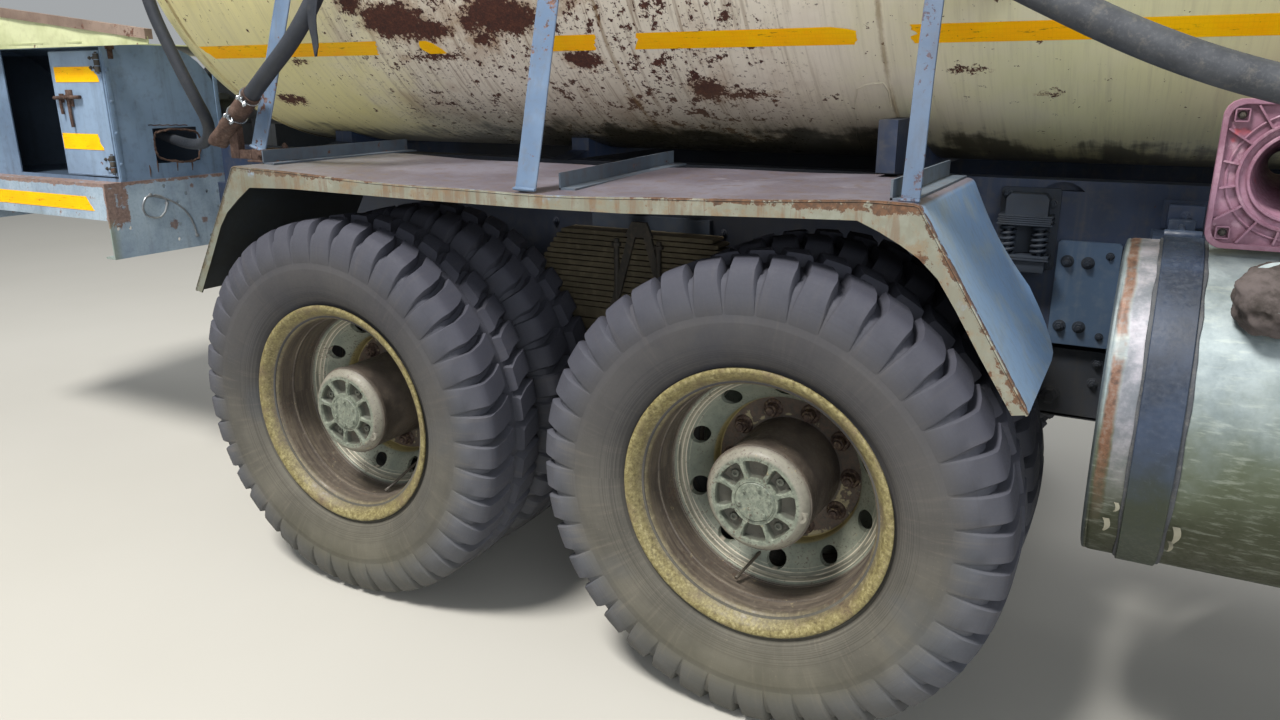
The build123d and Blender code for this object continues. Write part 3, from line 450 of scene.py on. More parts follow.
def wheel_paint(name, x0, rim_y, cap=True):
    """Old rim: ochre flange, brown barrel, grey-green disc, dark hub. Bands follow radius and depth."""
    m = Mat(name, 0.58, 0.0, 0.45)
    x, y, z = m.xyz
    dx, dz = m.sub(x, x0), m.sub(z, HUB_Z)
    r = m.op("SQRT", m.add(m.mul(dx, dx), m.mul(dz, dz)))
    u = m.sub(rim_y, m.op("ABSOLUTE", y))
    ang = m.op("ARCTAN2", dz, dx)
    polar = m.comb(m.mul(ang, 0.3), r, y)
    big = m.noise(9, 4, 0.65)
    fine = m.noise(70, 5, 0.72)
    speck = m.noise(150, 3, 0.6)
    run = m.noise(1.0, 4, 0.65, co=m.stretch(4, 60, 60, co=polar))
    ochre = m.ramp(m.add(m.mul(fine, 0.55), m.mul(speck, 0.45)), (0.25, "#3d3526"), (0.42, "#625837"), (0.52, "#7d744c"), (0.62, "#999069"), (0.80, "#c0bb9d"))
    ochre = m.mix(m.mul(m.span(big, 0.5, 0.7), 0.6), ochre, "#6b5c47")
    brown = m.mix(m.span(run, 0.35, 0.7), "#463f39", "#655c50")
    brown = m.mix(m.mul(m.span(fine, 0.5, 0.8), 0.5), brown, "#857a69")
    green = m.mix(m.span(big, 0.3, 0.7), "#6d7469", "#8c8f80")
    green = m.mix(m.mul(m.span(speck, 0.5, 0.75), 0.5), green, "#5b5a4e")
    rusty = m.ramp(fine, (0.0, "#1d1614"), (0.4, "#37292"+"4"), (0.6, "#553e33"), (0.8, "#7b6250"), (1.0, "#a89a7c"))
    rusty = m.mix(m.mul(m.span(m.noise(24, 3, 0.6), 0.60, 0.66), 0.8), rusty, "#a89c78")
    # depth bands: flange, barrel, disc, hub
    inside = m.span(r, 0.312, 0.302)
    col = m.mix(m.span(m.add(u, m.mul(big, 0.045)), 0.024, 0.075), ochre, brown)
    disc = m.mul(m.span(u, 0.172, 0.178), m.span(r, 0.300, 0.294))
    col = m.mix(disc, col, green)
    step = m.mul(m.mul(m.span(u, 0.176, 0.186), m.span(u, 0.215, 0.196)), m.span(r, 0.262, 0.275))
    fr = m.op("FRACT", m.mul(m.sub(r, 0.258), 118.0))
    band = m.mul(m.span(m.op("ABSOLUTE", m.sub(fr, 0.5)), 0.30, 0.42), m.mul(m.span(r, 0.256, 0.262), m.span(r, 0.296, 0.290)))
    col = m.mix(m.mul(step, 0.55), col, m.mix(m.span(run, 0.4, 0.6), "#4c443b", "#a29883"))
    col = m.mix(m.mul(m.mul(band, m.span(u, 0.172, 0.178)), m.span(run, 0.38, 0.52)), col, "#c2b9a6")
    # rusty ring where the nuts sit
    nuts = m.mul(m.span(r, 0.207, 0.200), m.span(u, 0.262, 0.270))
    col = m.mix(m.mul(nuts, 0.85), col, rusty)
    edge = m.mul(m.span(r, 0.199, 0.203), m.span(r, 0.209, 0.205))
    col = m.mix(m.mul(edge, 0.8), col, "#a3935a")
    hub = m.span(r, 0.148, 0.144)
    hubc = m.mix(m.span(big, 0.35, 0.65), "#413a35", "#5c534a")
    hubc = m.mix(m.mul(m.span(fine, 0.5, 0.8), 0.4), hubc, "#7b6f5f")
    col = m.mix(hub, col, hubc)
    face = m.mul(hub, m.span(u, 0.064, 0.050))
    facec = m.mix(m.span(fine, 0.35, 0.7), "#5f665b", "#828779")
    # painted shade: the floors of the eight pockets are darker than the ridges
    facec = m.mix(m.mul(m.span(u, 0.0385, 0.0450), m.span(r, 0.113, 0.109)), facec, "#4a4c44")
    facec = m.mix(m.mul(m.span(speck, 0.52, 0.7), 0.6), facec, "#494d44")
    facec = m.mix(m.mul(m.span(r, 0.112, 0.122), 0.6), facec, "#857d72")
    col = m.mix(face, col, facec)
    pits = m.span(m.add(m.mul(speck, 0.6), m.mul(big, 0.4)), 0.56, 0.62)
    col = m.mix(m.mul(pits, 0.55), col, rusty)
    m.base(col)
    m.rough(m.span(fine, 0.3, 0.8, 0.42, 0.8))
    m.bump(m.add(m.mul(fine, 0.6), m.mul(speck, 0.3)), 0.35, 0.0012)
    return m


MAT = {}
for key, x0 in (("front", AX_FRONT), ("mid", AX_MID), ("rear", AX_REAR)):
    MAT["tyre_" + key] = rubber("tyre_rubber_" + key, x0)
    MAT["wheel_" + key] = wheel_paint("rim_paint_" + key, x0, FRONT_RIM_Y if key == "front" else RIM_Y)

MAT["rust"] = Mat("rusty_iron", 0.8, 0.0, 0.3)
_m = MAT["rust"]
_c = _m.ramp(_m.add(_m.mul(_m.noise(16, 5, 0.7), 0.6), _m.mul(_m.noise(110, 4, 0.7), 0.4)),
             (0.25, "#1f1714"), (0.42, "#3a2b26"), (0.55, "#54423a"), (0.7, "#75625a"), (0.85, "#96897f"))
_m.base(_c).rough(_m.span(_m.noise(60, 3), 0.3, 0.7, 0.62, 0.95)).bump(_m.noise(140, 5, 0.75), 0.5, 0.0012)

MAT["nut"] = Mat("rusty_nut", 0.75, 0.0, 0.4)
_m = MAT["nut"]
_m.base(_m.ramp(_m.noise(90, 4, 0.7), (0.3, "#261d1a"), (0.5, "#46362f"), (0.62, "#655546"), (0.78, "#9d916c")))
_m.rough(_m.span(_m.noise(50), 0.3, 0.7, 0.5, 0.9)).bump(_m.noise(220, 4, 0.7), 0.4, 0.0008)

MAT["frame"] = worn("frame_paint", "#202b40", "#2c3a54", rust=0.18, dirt="#5b564d", dust=0.35, rough=0.62, streak=0.3)
MAT["frame_light"] = worn("gusset_paint", "#3f5169", "#4b617c", rust=0.12, dirt="#7b8287", dust=0.3, rough=0.5, streak=0.3)
MAT["iron"] = worn("chassis_iron", "#33312e", "#433d36", rust=0.45, dirt="#6a5f50", dust=0.55, rough=0.8)
MAT["leaf"] = worn("leaf_spring_iron", "#4d4636", "#5f5642", rust=0.3, dirt="#7c715a", dust=0.6, rough=0.85)
MAT["strut"] = worn("strut_paint", "#566a84", "#73879f", rust=0.62, dirt="#5c564d", dust=0.3, rough=0.5, streak=0.4, chip_scale=44)
_m = MAT["strut"]
_x, _y, _z = _m.xyz
_m.base(_m.mix(_m.mul(_m.span(_x, -0.6, -0.3), 0.55), _m.col, "#2a3a52"))
MAT["galv"] = worn("galvanised", "#8d9196", "#a5a9ab", rust=0.12, dirt="#75736c", dust=0.4, rough=0.42, metal=0.55, streak=0.3)
MAT["alu"] = worn("aluminium_plate", "#8f9393", "#a9aba7", rust=0.0, dirt="#73746a", dust=0.5, rough=0.4, metal=0.6)
MAT["cabpaint"] = worn("cab_paint", "#b3aa85", "#c6bfa4", rust=0.3, dirt="#8a8166", dust=0.2, rough=0.42, streak=0.25)
MAT["roof"] = worn("roof_sheet", "#a5ab7d", "#c3c8a0", rust=0.32, dirt="#8c8c68", dust=0.3, rough=0.5, streak=0.1, coarse=5)
MAT["bar"] = worn("roof_bar", "#6d5c52", "#8c7a6e", rust=0.45, dirt="#5c4a40", dust=0.4, rough=0.7)
_m = MAT["frame"]
_x, _y, _z = _m.xyz
# painted shade: the rails' outer faces under the rear mudguards are made near black
_m.base(_m.mix(_m.mul(_m.mul(_m.span(_x, -2.66, -2.50), _m.span(_x, -0.25, -0.42)), _m.mul(_m.span(_m.op("ABSOLUTE", _y), 0.30, 0.36), 0.78)), _m.col, "#121317"))
MAT["gbar"] = worn("guard_bar_paint", "#46505c", "#5d6975", rust=0.45, dirt="#5a4a42", dust=0.4, rough=0.6)
MAT["spring"] = worn("mount_iron", "#1d2530", "#29323f", rust=0.15, dirt="#403d37", dust=0.3, rough=0.75)
MAT["cabinet"] = worn("cabinet_paint", "#5c7089", "#7389a3", rust=0.12, dirt="#4b5056", dust=0.35, rough=0.45, streak=0.35, coarse=2.2)
_m = MAT["cabinet"]
_x, _y, _z = _m.xyz
_ay = _m.op("ABSOLUTE", _y)
# painted shade: the walls inside the cabinet, behind its front face, are made near black
_shaded_inside = _m.mul(_m.mul(_m.span(_ay, 0.866, 0.858), _m.span(_x, -3.324, -3.334)), _m.mul(_m.span(_z, 1.225, 1.240), _m.span(_z, 1.738, 1.728)))
_m.base(_m.mix(_m.mul(_shaded_inside, 0.78), _m.col, "#111418"))
MAT["door"] = worn("door_paint", "#7387a0", "#869cb6", rust=0.1, dirt="#566068", dust=0.25, rough=0.42, streak=0.3, coarse=2.2)
MAT["black"] = worn("black_plastic", "#17181a", "#212326", rust=0.0, dirt="#4b4a46", dust=0.4, rough=0.5, streak=0.2)
MAT["chrome"] = worn("bright_bolt", "#8e959c", "#b9bec2", rust=0.25, dirt="#5d5f60", dust=0.25, rough=0.3, metal=0.8, scale=3)


def tank_paint():
    m = Mat("tank_paint", 0.42, 0.0, 0.5)
    x, y, z = m.xyz
    xs = m.add(x, m.mul(m.span(y, -0.30, 0.45), 0.62))
    big = m.noise(1.6, 4, 0.6)
    mid = m.noise(7, 4, 0.6)
    fine = m.noise(60, 5, 0.72)
    grit = m.noise(190, 3, 0.7)
    # three faded tones along the barrel
    col = m.mix(m.span(m.add(xs, m.mul(mid, 0.8)), -0.35, 0.75), "#e6ddcd", "#dcd8aa")
    col = m.mix(m.span(m.add(xs, m.mul(mid, 0.7)), -1.45, -2.05), col, "#e3da9f")
    col = m.mix(m.mul(m.span(big, 0.4, 0.7), 0.25), col, "#e0d8c2")
    # upright marks of rain and rag
    st = m.noise(1.0, 5, 0.65, co=m.stretch(46, 3.0, 3.0))
    st2 = m.noise(1.0, 4, 0.6, co=m.stretch(150, 4.0, 4.0))
    col = m.mix(m.mul(m.span(st, 0.46, 0.72), 0.26), col, "#a9a086")
    col = m.mix(m.mul(m.span(st2, 0.5, 0.8), 0.18), col, "#8d856b")
    # brown runs under the bad patch
    zone = m.mul(m.span(xs, -2.35, -1.95), m.span(xs, -0.35, -0.95))
    runs = m.mul(m.mul(m.span(m.add(m.mul(st, 0.62), m.mul(st2, 0.38)), 0.50, 0.64), zone), m.span(z, 1.40, 1.55))
    col = m.mix(m.mul(runs, 0.62), col, "#7d5c42")
    wash = m.mul(m.mul(m.span(m.noise(4.5, 5, 0.7), 0.50, 0.66), zone), 0.45)
    col = m.mix(wash, col, "#a98d73")
    # rust: many small chips, more in the bad zone and low down
    warp = m.comb(m.add(xs, m.mul(m.sub(mid, 0.5), 0.10)), y, m.add(z, m.mul(m.sub(fine, 0.5), 0.09)))
    chips = m.noise(20, 6, 0.72, co=m.stretch(1.0, 1.0, 1.0))
    bad = m.add(m.mul(zone, 0.075), m.mul(m.mul(m.span(xs, -1.35, -1.0), m.span(xs, -0.35, -0.75)), 0.035))
    spots = m.span(m.add(m.add(chips, bad), m.mul(mid, 0.12)), 0.715, 0.745)
    tiny = m.mul(m.span(m.noise(85, 3, 0.6), 0.69, 0.72), m.span(mid, 0.40, 0.52))
    tiny = m.hi(tiny, m.mul(m.span(m.noise(78, 3, 0.6), 0.605, 0.635), m.mul(zone, m.span(mid, 0.34, 0.50))))
    # slanting scratches and flaked dashes in the bad part
    dash = m.noise(1.0, 4, 0.6, co=m.stretch(95, 30, 22))
    tiny = m.hi(tiny, m.mul(m.mul(m.span(dash, 0.66, 0.69), m.span(xs, -0.55, -1.00)), m.span(mid, 0.44, 0.54)))
    patches = None
    for cx, cz, ax, az, k in (
            (-1.885, 1.795, 0.125, 0.050, 1.0), (-1.760, 1.765, 0.085, 0.030, 0.9), (-1.470, 1.800, 0.125, 0.050, 1.0),
            (-1.600, 1.780, 0.040, 0.026, 0.8), (-1.560, 1.735, 0.070, 0.020, 0.8), (-1.235, 1.672, 0.060, 0.026, 0.9),
            (-1.330, 1.805, 0.110, 0.018, 0.6), (-0.870, 1.585, 0.055, 0.030, 0.9), (-0.760, 1.572, 0.110, 0.012, 0.8),
            (-2.640, 1.548, 0.070, 0.016, 0.9), (-1.130, 1.545, 0.035, 0.018, 0.7), (-0.130, 1.634, 0.055, 0.007, 0.9),
            (-1.800, 1.688, 0.150, 0.010, 0.7), (-2.030, 1.850, 0.060, 0.030, 0.8), (-1.180, 1.850, 0.090, 0.030, 0.7),
            (0.060, 1.575, 0.040, 0.006, 0.6), (-2.420, 1.680, 0.060, 0.012, 0.6), (-1.980, 2.150, 0.160, 0.110, 0.9),
            (-1.400, 2.060, 0.200, 0.150, 0.9), (-0.650, 2.250, 0.120, 0.070, 0.8), (0.700, 2.050, 0.140, 0.060, 0.8)):
        q = m.stretch(1 / ax, 0.0, 1 / az, co=warp, loc=(-cx / ax, 0.0, -cz / az))
        ln = m.n("ShaderNodeVectorMath", operation="LENGTH")
        m.put(ln.inputs[0], q)
        g = m.mul(m.span(ln.outputs["Value"], 2.1, 0.2), k)
        patches = g if patches is None else m.hi(patches, g)
    body = m.span(m.add(patches, m.mul(m.sub(m.noise(34, 5, 0.75), 0.5), 1.5)), 0.50, 0.62)
    rust = m.hi(m.hi(body, spots), tiny)
    halo = m.mul(m.span(m.add(patches, m.mul(m.sub(m.noise(12, 4, 0.7), 0.5), 1.2)), 0.30, 0.6), 0.5)
    col = m.mix(halo, col, "#a68662")
    tone = m.ramp(m.add(m.mul(fine, 0.5), m.mul(grit, 0.5)), (0.2, "#21120f"), (0.42, "#3c201a"), (0.55, "#532e22"),
                  (0.68, "#744832"), (0.9, "#a07a58"))
    col = m.mix(rust, col, tone)
    # weld seams gone brown
    for sx in (-0.335, -1.130, 1.100, -2.895):
        seam = m.mul(m.span(m.op("ABSOLUTE", m.sub(m.add(x, m.mul(m.sub(fine, 0.5), 0.012)), sx)), 0.011, 0.002), m.span(mid, 0.30, 0.6))
        col = m.mix(m.mul(seam, 0.55), col, "#84673f")
    # darker towards the bottom: olive tone and dark streaky bands low on the barrel, just above the guards
    edge = m.add(z, m.mul(m.sub(mid, 0.5), 0.22))
    centre = m.span(m.op("ABSOLUTE", m.add(xs, 0.95)), 1.2, 0.3)
    edge = m.sub(edge, m.mul(centre, 0.045))
    col = m.mix(m.mul(m.mul(m.span(edge, 1.60, 1.42), 0.40), centre), col, "#8f7a62")
    col = m.mix(m.mul(m.mul(m.span(edge, 1.440, 1.385), 0.92), centre), col, "#2a261f")
    low2 = m.add(z, m.mul(m.sub(m.noise(5, 4, 0.7), 0.5), 0.025))
    low2 = m.sub(low2, m.mul(m.sub(st, 0.5), 0.05))
    col = m.mix(m.mul(m.span(low2, 1.53, 1.40), 0.35), col, "#8a8258")
    col = m.mix(m.mul(m.span(low2, 1.450, 1.345), 0.86), col, "#2f2c22")
    col = m.mix(m.mul(m.span(m.sub(edge, m.mul(st, 0.10)), 1.395, 1.345), 0.8), col, "#2f2b22")
    col = m.mix(m.mul(m.span(m.add(z, m.mul(m.sub(mid, 0.5), 0.5)), 2.05, 2.75), 0.50), col, "#a39c7f")
    # dust and algae on top
    top = m.mul(m.span(z, 3.05, 3.22), m.span(mid, 0.3, 0.6))
    col = m.mix(m.mul(top, 0.5), col, "#8f8a6d")
    m.base(col)
    m.rough(m.span(m.add(m.mul(rust, 0.6), m.mul(fine, 0.4)), 0.15, 0.9, 0.32, 0.85))
    m.bump(m.sub(m.add(m.mul(mid, 0.25), m.mul(fine, 0.12)), m.mul(rust, 0.35)), 0.35, 0.003)
    return m


MAT["tank"] = tank_paint()


def guard_paint():
    m = Mat("guard_paint", 0.5, 0.0, 0.45)
    x, y, z = m.xyz
    ay = m.op("ABSOLUTE", y)
    big = m.noise(3.2, 4, 0.6)
    mid = m.noise(11, 4, 0.65)
    fine = m.noise(75, 5, 0.72)
    # pale green-grey skirt, blue panel
    col = m.mix(m.span(m.add(ay, m.mul(m.sub(mid, 0.5), 0.02)), 1.226, 1.2225), "#7a7a6d", "#88a3c2")
    # painted shade: the panel's blue darkens from the outer edge inward
    col = m.mix(m.mul(m.span(ay, 1.22, 0.80), 0.75), col, "#6685ae")
    col = m.mix(m.mul(m.span(mid, 0.45, 0.7), 0.4), col, "#9aa096")
    st = m.noise(1.0, 4, 0.6, co=m.stretch(60, 60, 5))
    col = m.mix(m.mul(m.span(st, 0.45, 0.70), 0.22), col, "#6a5d4e")
    mott = m.span(m.noise(17, 6, 0.75), 0.47, 0.62)
    col = m.mix(m.mul(m.mul(mott, m.span(ay, 1.2215, 1.2230)), 0.70), col, "#7f6c54")
    dots = m.mul(m.span(m.noise(70, 4, 0.7), 0.60, 0.66), m.span(m.noise(8, 3, 0.6), 0.42, 0.55))
    col = m.mix(m.mul(m.mul(dots, m.span(ay, 1.2215, 1.2230)), 0.8), col, "#6b4a34")
    runs = m.mul(m.mul(m.span(m.noise(1.0, 5, 0.7, co=m.stretch(38, 38, 3.5)), 0.50, 0.62), m.span(ay, 1.2215, 1.2230)), m.span(m.op("ABSOLUTE", m.add(x, 1.14)), 1.05, 1.00))
    col = m.mix(m.mul(runs, 0.45), col, "#6d4f3a")
    # dusty pinkish top with worn grey-blue
    top = m.mul(m.mul(m.span(z, 1.322, 1.328), m.span(ay, 1.2232, 1.2215)), m.span(m.op("ABSOLUTE", m.add(x, 1.14)), 1.042, 1.034))
    topc = m.mix(m.span(big, 0.35, 0.65), "#5d5760", "#706d78")
    topc = m.mix(m.mul(m.span(m.noise(26, 5, 0.7), 0.5, 0.66), 0.7), topc, "#5f5148")
    topc = m.mix(m.mul(m.span(m.noise(9, 5, 0.7), 0.62, 0.72), 0.35), topc, "#a09ba2")
    topc = m.mix(m.mul(m.span(fine, 0.55, 0.75), 0.4), topc, "#5f4a3e")
    col = m.mix(top, col, topc)
    # rust along every edge: top edge of the skirt, lower rim, line beside the panel
    line = m.mul(m.mul(m.span(ay, 1.1960, 1.2080), m.span(ay, 1.2240, 1.2220)), m.span(m.op("ABSOLUTE", m.add(x, 1.14)), 1.02, 1.05))
    lip = m.mul(m.span(z, 1.325, 1.352), m.span(ay, 1.215, 1.222))
    low = m.span(m.add(z, m.mul(mid, 0.05)), 1.00, 0.955)
    chips = m.noise(30, 6, 0.72)
    rim = m.mul(m.span(m.noise(1.0, 4, 0.7, co=m.stretch(14, 3, 6)), 0.46, 0.60), m.span(ay, 1.2215, 1.2235))
    skirt = m.span(ay, 1.2215, 1.2230)
    front = m.mul(m.span(x, -0.12, -0.09), skirt)
    back = m.mul(m.span(x, -2.16, -2.19), skirt)
    e1 = m.mul(m.span(m.sub(m.add(m.mul(z, -0.6155), 0.7352), x), 0.022, 0.006), front)
    e2 = m.mul(m.span(m.sub(x, m.add(m.mul(z, -0.63), 0.7127)), 0.013, 0.003), front)
    e3 = m.mul(m.span(m.sub(x, m.add(m.mul(z, 0.614), -3.014)), 0.026, 0.006), back)
    edge = m.hi(m.hi(m.mul(line, 0.85), m.mul(lip, 0.8)), m.hi(m.mul(low, 0.45), m.mul(rim, 0.16)))
    edge = m.hi(edge, m.hi(m.mul(e1, 0.62), m.hi(m.mul(e2, 0.50), m.mul(e3, 0.70))))
    mask = m.span(m.add(m.add(chips, m.mul(edge, 0.36)), m.mul(m.sub(mid, 0.5), 0.3)), 0.70, 0.76)
    tone = m.ramp(fine, (0.1, "#251913"), (0.4, "#452e20"), (0.6, "#64442e"), (0.8, "#7f5f45"), (1.0, "#9b8066"))
    col = m.mix(m.mul(mask, 0.92), col, tone)
    # darker olive towards the rear end of the skirt: partly dirt, partly painted shade
    left = m.span(m.add(x, m.mul(mid, 0.3)), -1.55, -2.25)
    col = m.mix(m.mul(m.mul(left, m.span(mid, 0.20, 0.45)), 0.75), col, m.mix(m.span(m.noise(19, 5, 0.7), 0.40, 0.60), "#5f5b49", "#6c7168"))
    # painted shade: faces turned downward, under the guard, go near black
    geo = m.n("ShaderNodeNewGeometry")
    face = m.n("ShaderNodeSeparateXYZ")
    m.put(face.inputs[0], geo.outputs["Normal"])
    col = m.mix(m.mul(m.span(face.outputs["Z"], -0.04, -0.22), 0.88), col, "#1f1e1b")
    # painted shade underneath: the faces turned down are made near black above
    m.base(col)
    m.rough(m.span(m.add(m.mul(fine, 0.5), m.mul(mask, 0.5)), 0.2, 0.9, 0.38, 0.85))
    m.bump(m.sub(m.mul(fine, 0.3), m.mul(mask, 0.5)), 0.35, 0.0018)
    return m


MAT["guard"] = guard_paint()


def tape():
    m = Mat("marker_tape", 0.5, 0.0, 0.15)
    x, y, z = m.xyz
    fine = m.noise(90, 4, 0.7)
    mid = m.noise(9, 4, 0.65)
    col = m.mix(m.span(mid, 0.35, 0.65), "#ffb600", "#ffc400")
    hexes = m.cells(110, feature="DISTANCE_TO_EDGE", rnd=0.15)
    col = m.mix(m.mul(m.span(hexes, 0.10, 0.02), 0.14), col, "#c98a10")
    col = m.mix(m.mul(m.span(fine, 0.55, 0.8), 0.2), col, "#c98a1c")
    scr = m.noise(1.0, 5, 0.75, co=m.stretch(14, 14, 120))
    col = m.mix(m.mul(m.span(scr, 0.60, 0.66), 0.6), col, "#5a4322")
    col = m.mix(m.mul(m.span(m.noise(40, 5, 0.75), 0.66, 0.70), 0.9), col, "#4a2c18")
    m.base(col)
    m.rough(m.span(fine, 0.3, 0.8, 0.3, 0.6))
    m.bump(m.mul(hexes, 0.5), 0.1, 0.0006)
    return m


MAT["tape"] = tape()


def hose_rubber():
    m = Mat("hose_rubber", 0.6, 0.0, 0.4)
    fine = m.noise(160, 4, 0.7)
    mid = m.noise(12, 4, 0.6)
    col = m.mix(m.span(mid, 0.3, 0.7), "#34373d", "#484b50")
    col = m.mix(m.mul(m.span(fine, 0.45, 0.75), 0.35), col, "#686a6d")
    x, y, z = m.xyz
    col = m.mix(m.mul(m.span(m.noise(40, 4, 0.7), 0.52, 0.7), 0.3), col, "#6a655b")
    col = m.mix(m.mul(m.span(x, -1.2, -1.7), 0.68), col, "#1f242e")
    m.base(col).rough(m.span(fine, 0.3, 0.8, 0.48, 0.8)).bump(m.add(fine, m.mul(mid, 0.4)), 0.25, 0.001)
    return m


MAT["hose"] = hose_rubber()


def fuel_alu():
    m = Mat("fuel_tank_skin", 0.45, 0.35, 0.5)
    x, y, z = m.xyz
    mid = m.noise(6, 5, 0.65)
    fine = m.noise(70, 4, 0.7)
    cloud = m.noise(14, 5, 0.7)
    col = m.mix(m.span(cloud, 0.3, 0.7), "#7b878b", "#98a3a6")
    col = m.mix(m.mul(m.span(m.add(z, m.mul(m.sub(mid, 0.5), 0.35)), 1.10, 0.82), 0.88), col, "#4a5136")
    col = m.mix(m.mul(m.span(m.add(z, m.mul(m.sub(mid, 0.5), 0.25)), 0.90, 0.66), 0.90), col, "#2d301b")
    col = m.mix(m.mul(m.span(m.noise(1.0, 4, 0.7, co=m.stretch(18, 6, 90)), 0.5, 0.7), 0.25), col, "#b9c0b5")
    # rear rim: orange rust band, pale peeled band, dark low end
    wob = m.add(x, m.mul(m.sub(m.noise(9, 4, 0.6), 0.5), 0.022))
    pale = m.mul(m.span(wob, 0.305, 0.312), m.span(wob, 0.352, 0.342))
    col = m.mix(m.mul(m.mul(pale, m.span(z, 0.72, 0.95)), 0.85), col, m.mix(m.span(cloud, 0.35, 0.65), "#6d7078", "#a09ba4"))
    oran = m.mul(m.mul(m.span(wob, 0.281, 0.288), m.span(wob, 0.311, 0.300)), m.span(m.noise(11, 4, 0.7), 0.30, 0.48, 0.25, 0.9))
    orc = m.ramp(m.add(m.mul(fine, 0.6), m.mul(m.noise(22, 4, 0.7), 0.4)), (0.25, "#33261f"), (0.42, "#553a2c"), (0.52, "#74503c"), (0.62, "#7c6a60"), (0.80, "#74737b"))
    col = m.mix(m.mul(oran, m.span(m.add(z, m.mul(mid, 0.1)), 0.72, 0.95)), col, orc)
    end = m.span(x, 0.283, 0.276)
    col = m.mix(m.mul(end, 0.8), col, m.mix(m.span(mid, 0.35, 0.65), "#3f464c", "#5a6165"))
    m.base(col)
    m.rough(m.span(m.add(m.mul(fine, 0.5), m.mul(cloud, 0.5)), 0.3, 0.7, 0.34, 0.68))
    m.bump(m.add(m.mul(fine, 0.4), m.mul(cloud, 0.4)), 0.25, 0.0015)
    return m


MAT["fuel"] = fuel_alu()


def strap_steel():
    m = Mat("strap_steel", 0.42, 0.0, 0.5)
    x, y, z = m.xyz
    mid = m.noise(8, 4, 0.65)
    fine = m.noise(90, 4, 0.7)
    col = m.mix(m.span(mid, 0.3, 0.7), "#1d2635", "#2c394e")
    col = m.mix(m.mul(m.span(m.add(z, m.mul(mid, 0.2)), 1.04, 0.82), 0.88), col, "#2c3420")
    scr = m.noise(1.0, 5, 0.75, co=m.stretch(16, 90, 90))
    col = m.mix(m.mul(m.span(scr, 0.66, 0.72), 0.22), col, "#6e7887")
    col = m.mix(m.mul(m.span(fine, 0.5, 0.8), 0.25), col, "#5c6470")
    m.base(col).rough(m.span(fine, 0.3, 0.7, 0.35, 0.65)).bump(m.add(fine, mid), 0.2, 0.001)
    return m


MAT["strap"] = strap_steel()


def cone_plastic():
    m = Mat("cone_plastic", 0.55, 0.0, 0.4)
    x, y, z = m.xyz
    mid = m.noise(9, 5, 0.65)
    fine = m.noise(90, 4, 0.7)
    col = m.mix(m.span(mid, 0.3, 0.7), "#7a5566", "#987386")
    col = m.mix(m.mul(m.span(m.noise(30, 5, 0.72), 0.5, 0.68), 0.5), col, "#b394a0")
    col = m.mix(m.mul(m.span(fine, 0.5, 0.75), 0.3), col, "#6b3a41")
    col = m.mix(m.mul(m.span(m.noise(14, 3, 0.6), 0.66, 0.74), 0.6), col, "#b8484a")
    col = m.mix(m.mul(m.span(m.add(z, m.mul(mid, 0.1)), 1.38, 1.30), 0.3), col, "#64443f")
    m.base(col).rough(m.span(fine, 0.3, 0.7, 0.42, 0.75)).bump(m.add(fine, m.mul(mid, 0.5)), 0.2, 0.001)
    return m


MAT["cone"] = cone_plastic()


def deck_paint():
    m = Mat("deck_paint", 0.5, 0.0, 0.45)
    x, y, z = m.xyz
    mid = m.noise(7, 5, 0.65)
    fine = m.noise(80, 4, 0.72)
    col = m.mix(m.span(mid, 0.3, 0.7), "#8496a8", "#9fb0be")
    col = m.mix(m.mul(m.span(fine, 0.45, 0.75), 0.3), col, "#67717a")
    st = m.noise(1.0, 4, 0.6, co=m.stretch(40, 40, 4))
    col = m.mix(m.mul(m.span(st, 0.5, 0.75), 0.3), col, "#6d7277")
    ay = m.op("ABSOLUTE", y)
    strip = m.mul(m.mul(m.span(ay, 0.845, 0.862), m.span(x, -3.315, -3.305)), m.span(m.add(z, m.mul(mid, 0.12)), 1.09, 1.14))
    top = m.span(m.add(z, m.mul(mid, 0.012)), 1.218, 1.226)
    side = m.mul(m.span(ay, 0.9435, 0.9445), 0.55)
    spots = None
    for cy, cz, r in ((0.668, 1.039, 0.019), (0.518, 1.037, 0.015), (0.560, 1.190, 0.008)):
        q = m.stretch(0.0, 1 / r, 1 / r, co=m.comb(x, ay, z), loc=(0, -cy / r, -cz / r))
        ln = m.n("ShaderNodeVectorMath", operation="LENGTH")
        m.put(ln.inputs[0], q)
        g = m.span(m.add(ln.outputs["Value"], m.mul(m.sub(m.noise(45, 4, 0.7), 0.5), 3.2)), 1.15, 0.75)
        spots = g if spots is None else m.hi(spots, g)
    chips = m.span(m.add(m.noise(28, 6, 0.72), m.add(m.mul(strip, 0.3), m.add(m.mul(top, 0.3), m.mul(side, 0.14)))), 0.68, 0.74)
    tone = m.ramp(fine, (0.1, "#423029"), (0.4, "#6b5145"), (0.6, "#8a7063"), (0.8, "#a48d7e"), (1.0, "#b9a697"))
    col = m.mix(m.mul(m.hi(chips, m.mul(spots, 0.9)), 0.9), col, tone)
    green = m.mul(m.span(m.add(z, m.mul(mid, 0.1)), 1.16, 1.08), m.span(ay, 0.90, 0.94))
    col = m.mix(m.mul(green, 0.5), col, "#7c8055")
    m.base(col).rough(m.span(fine, 0.3, 0.7, 0.4, 0.75)).bump(m.sub(m.mul(fine, 0.3), m.mul(chips, 0.4)), 0.3, 0.0015)
    return m


MAT["deck"] = deck_paint()

MAT["glass"] = Mat("window_glass", 0.06, 0.0, 0.5)
_m = MAT["glass"]
_m.b.inputs["Transmission Weight"].default_value = 0.9
_m.b.inputs["IOR"].default_value = 1.45
_m.base(_m.mix(_m.mul(_m.span(_m.noise(18, 5, 0.7), 0.45, 0.75), 0.35), "#c3cfcd", "#8e8a78"))
_m.rough(_m.span(_m.noise(24, 5, 0.7), 0.35, 0.75, 0.04, 0.32))

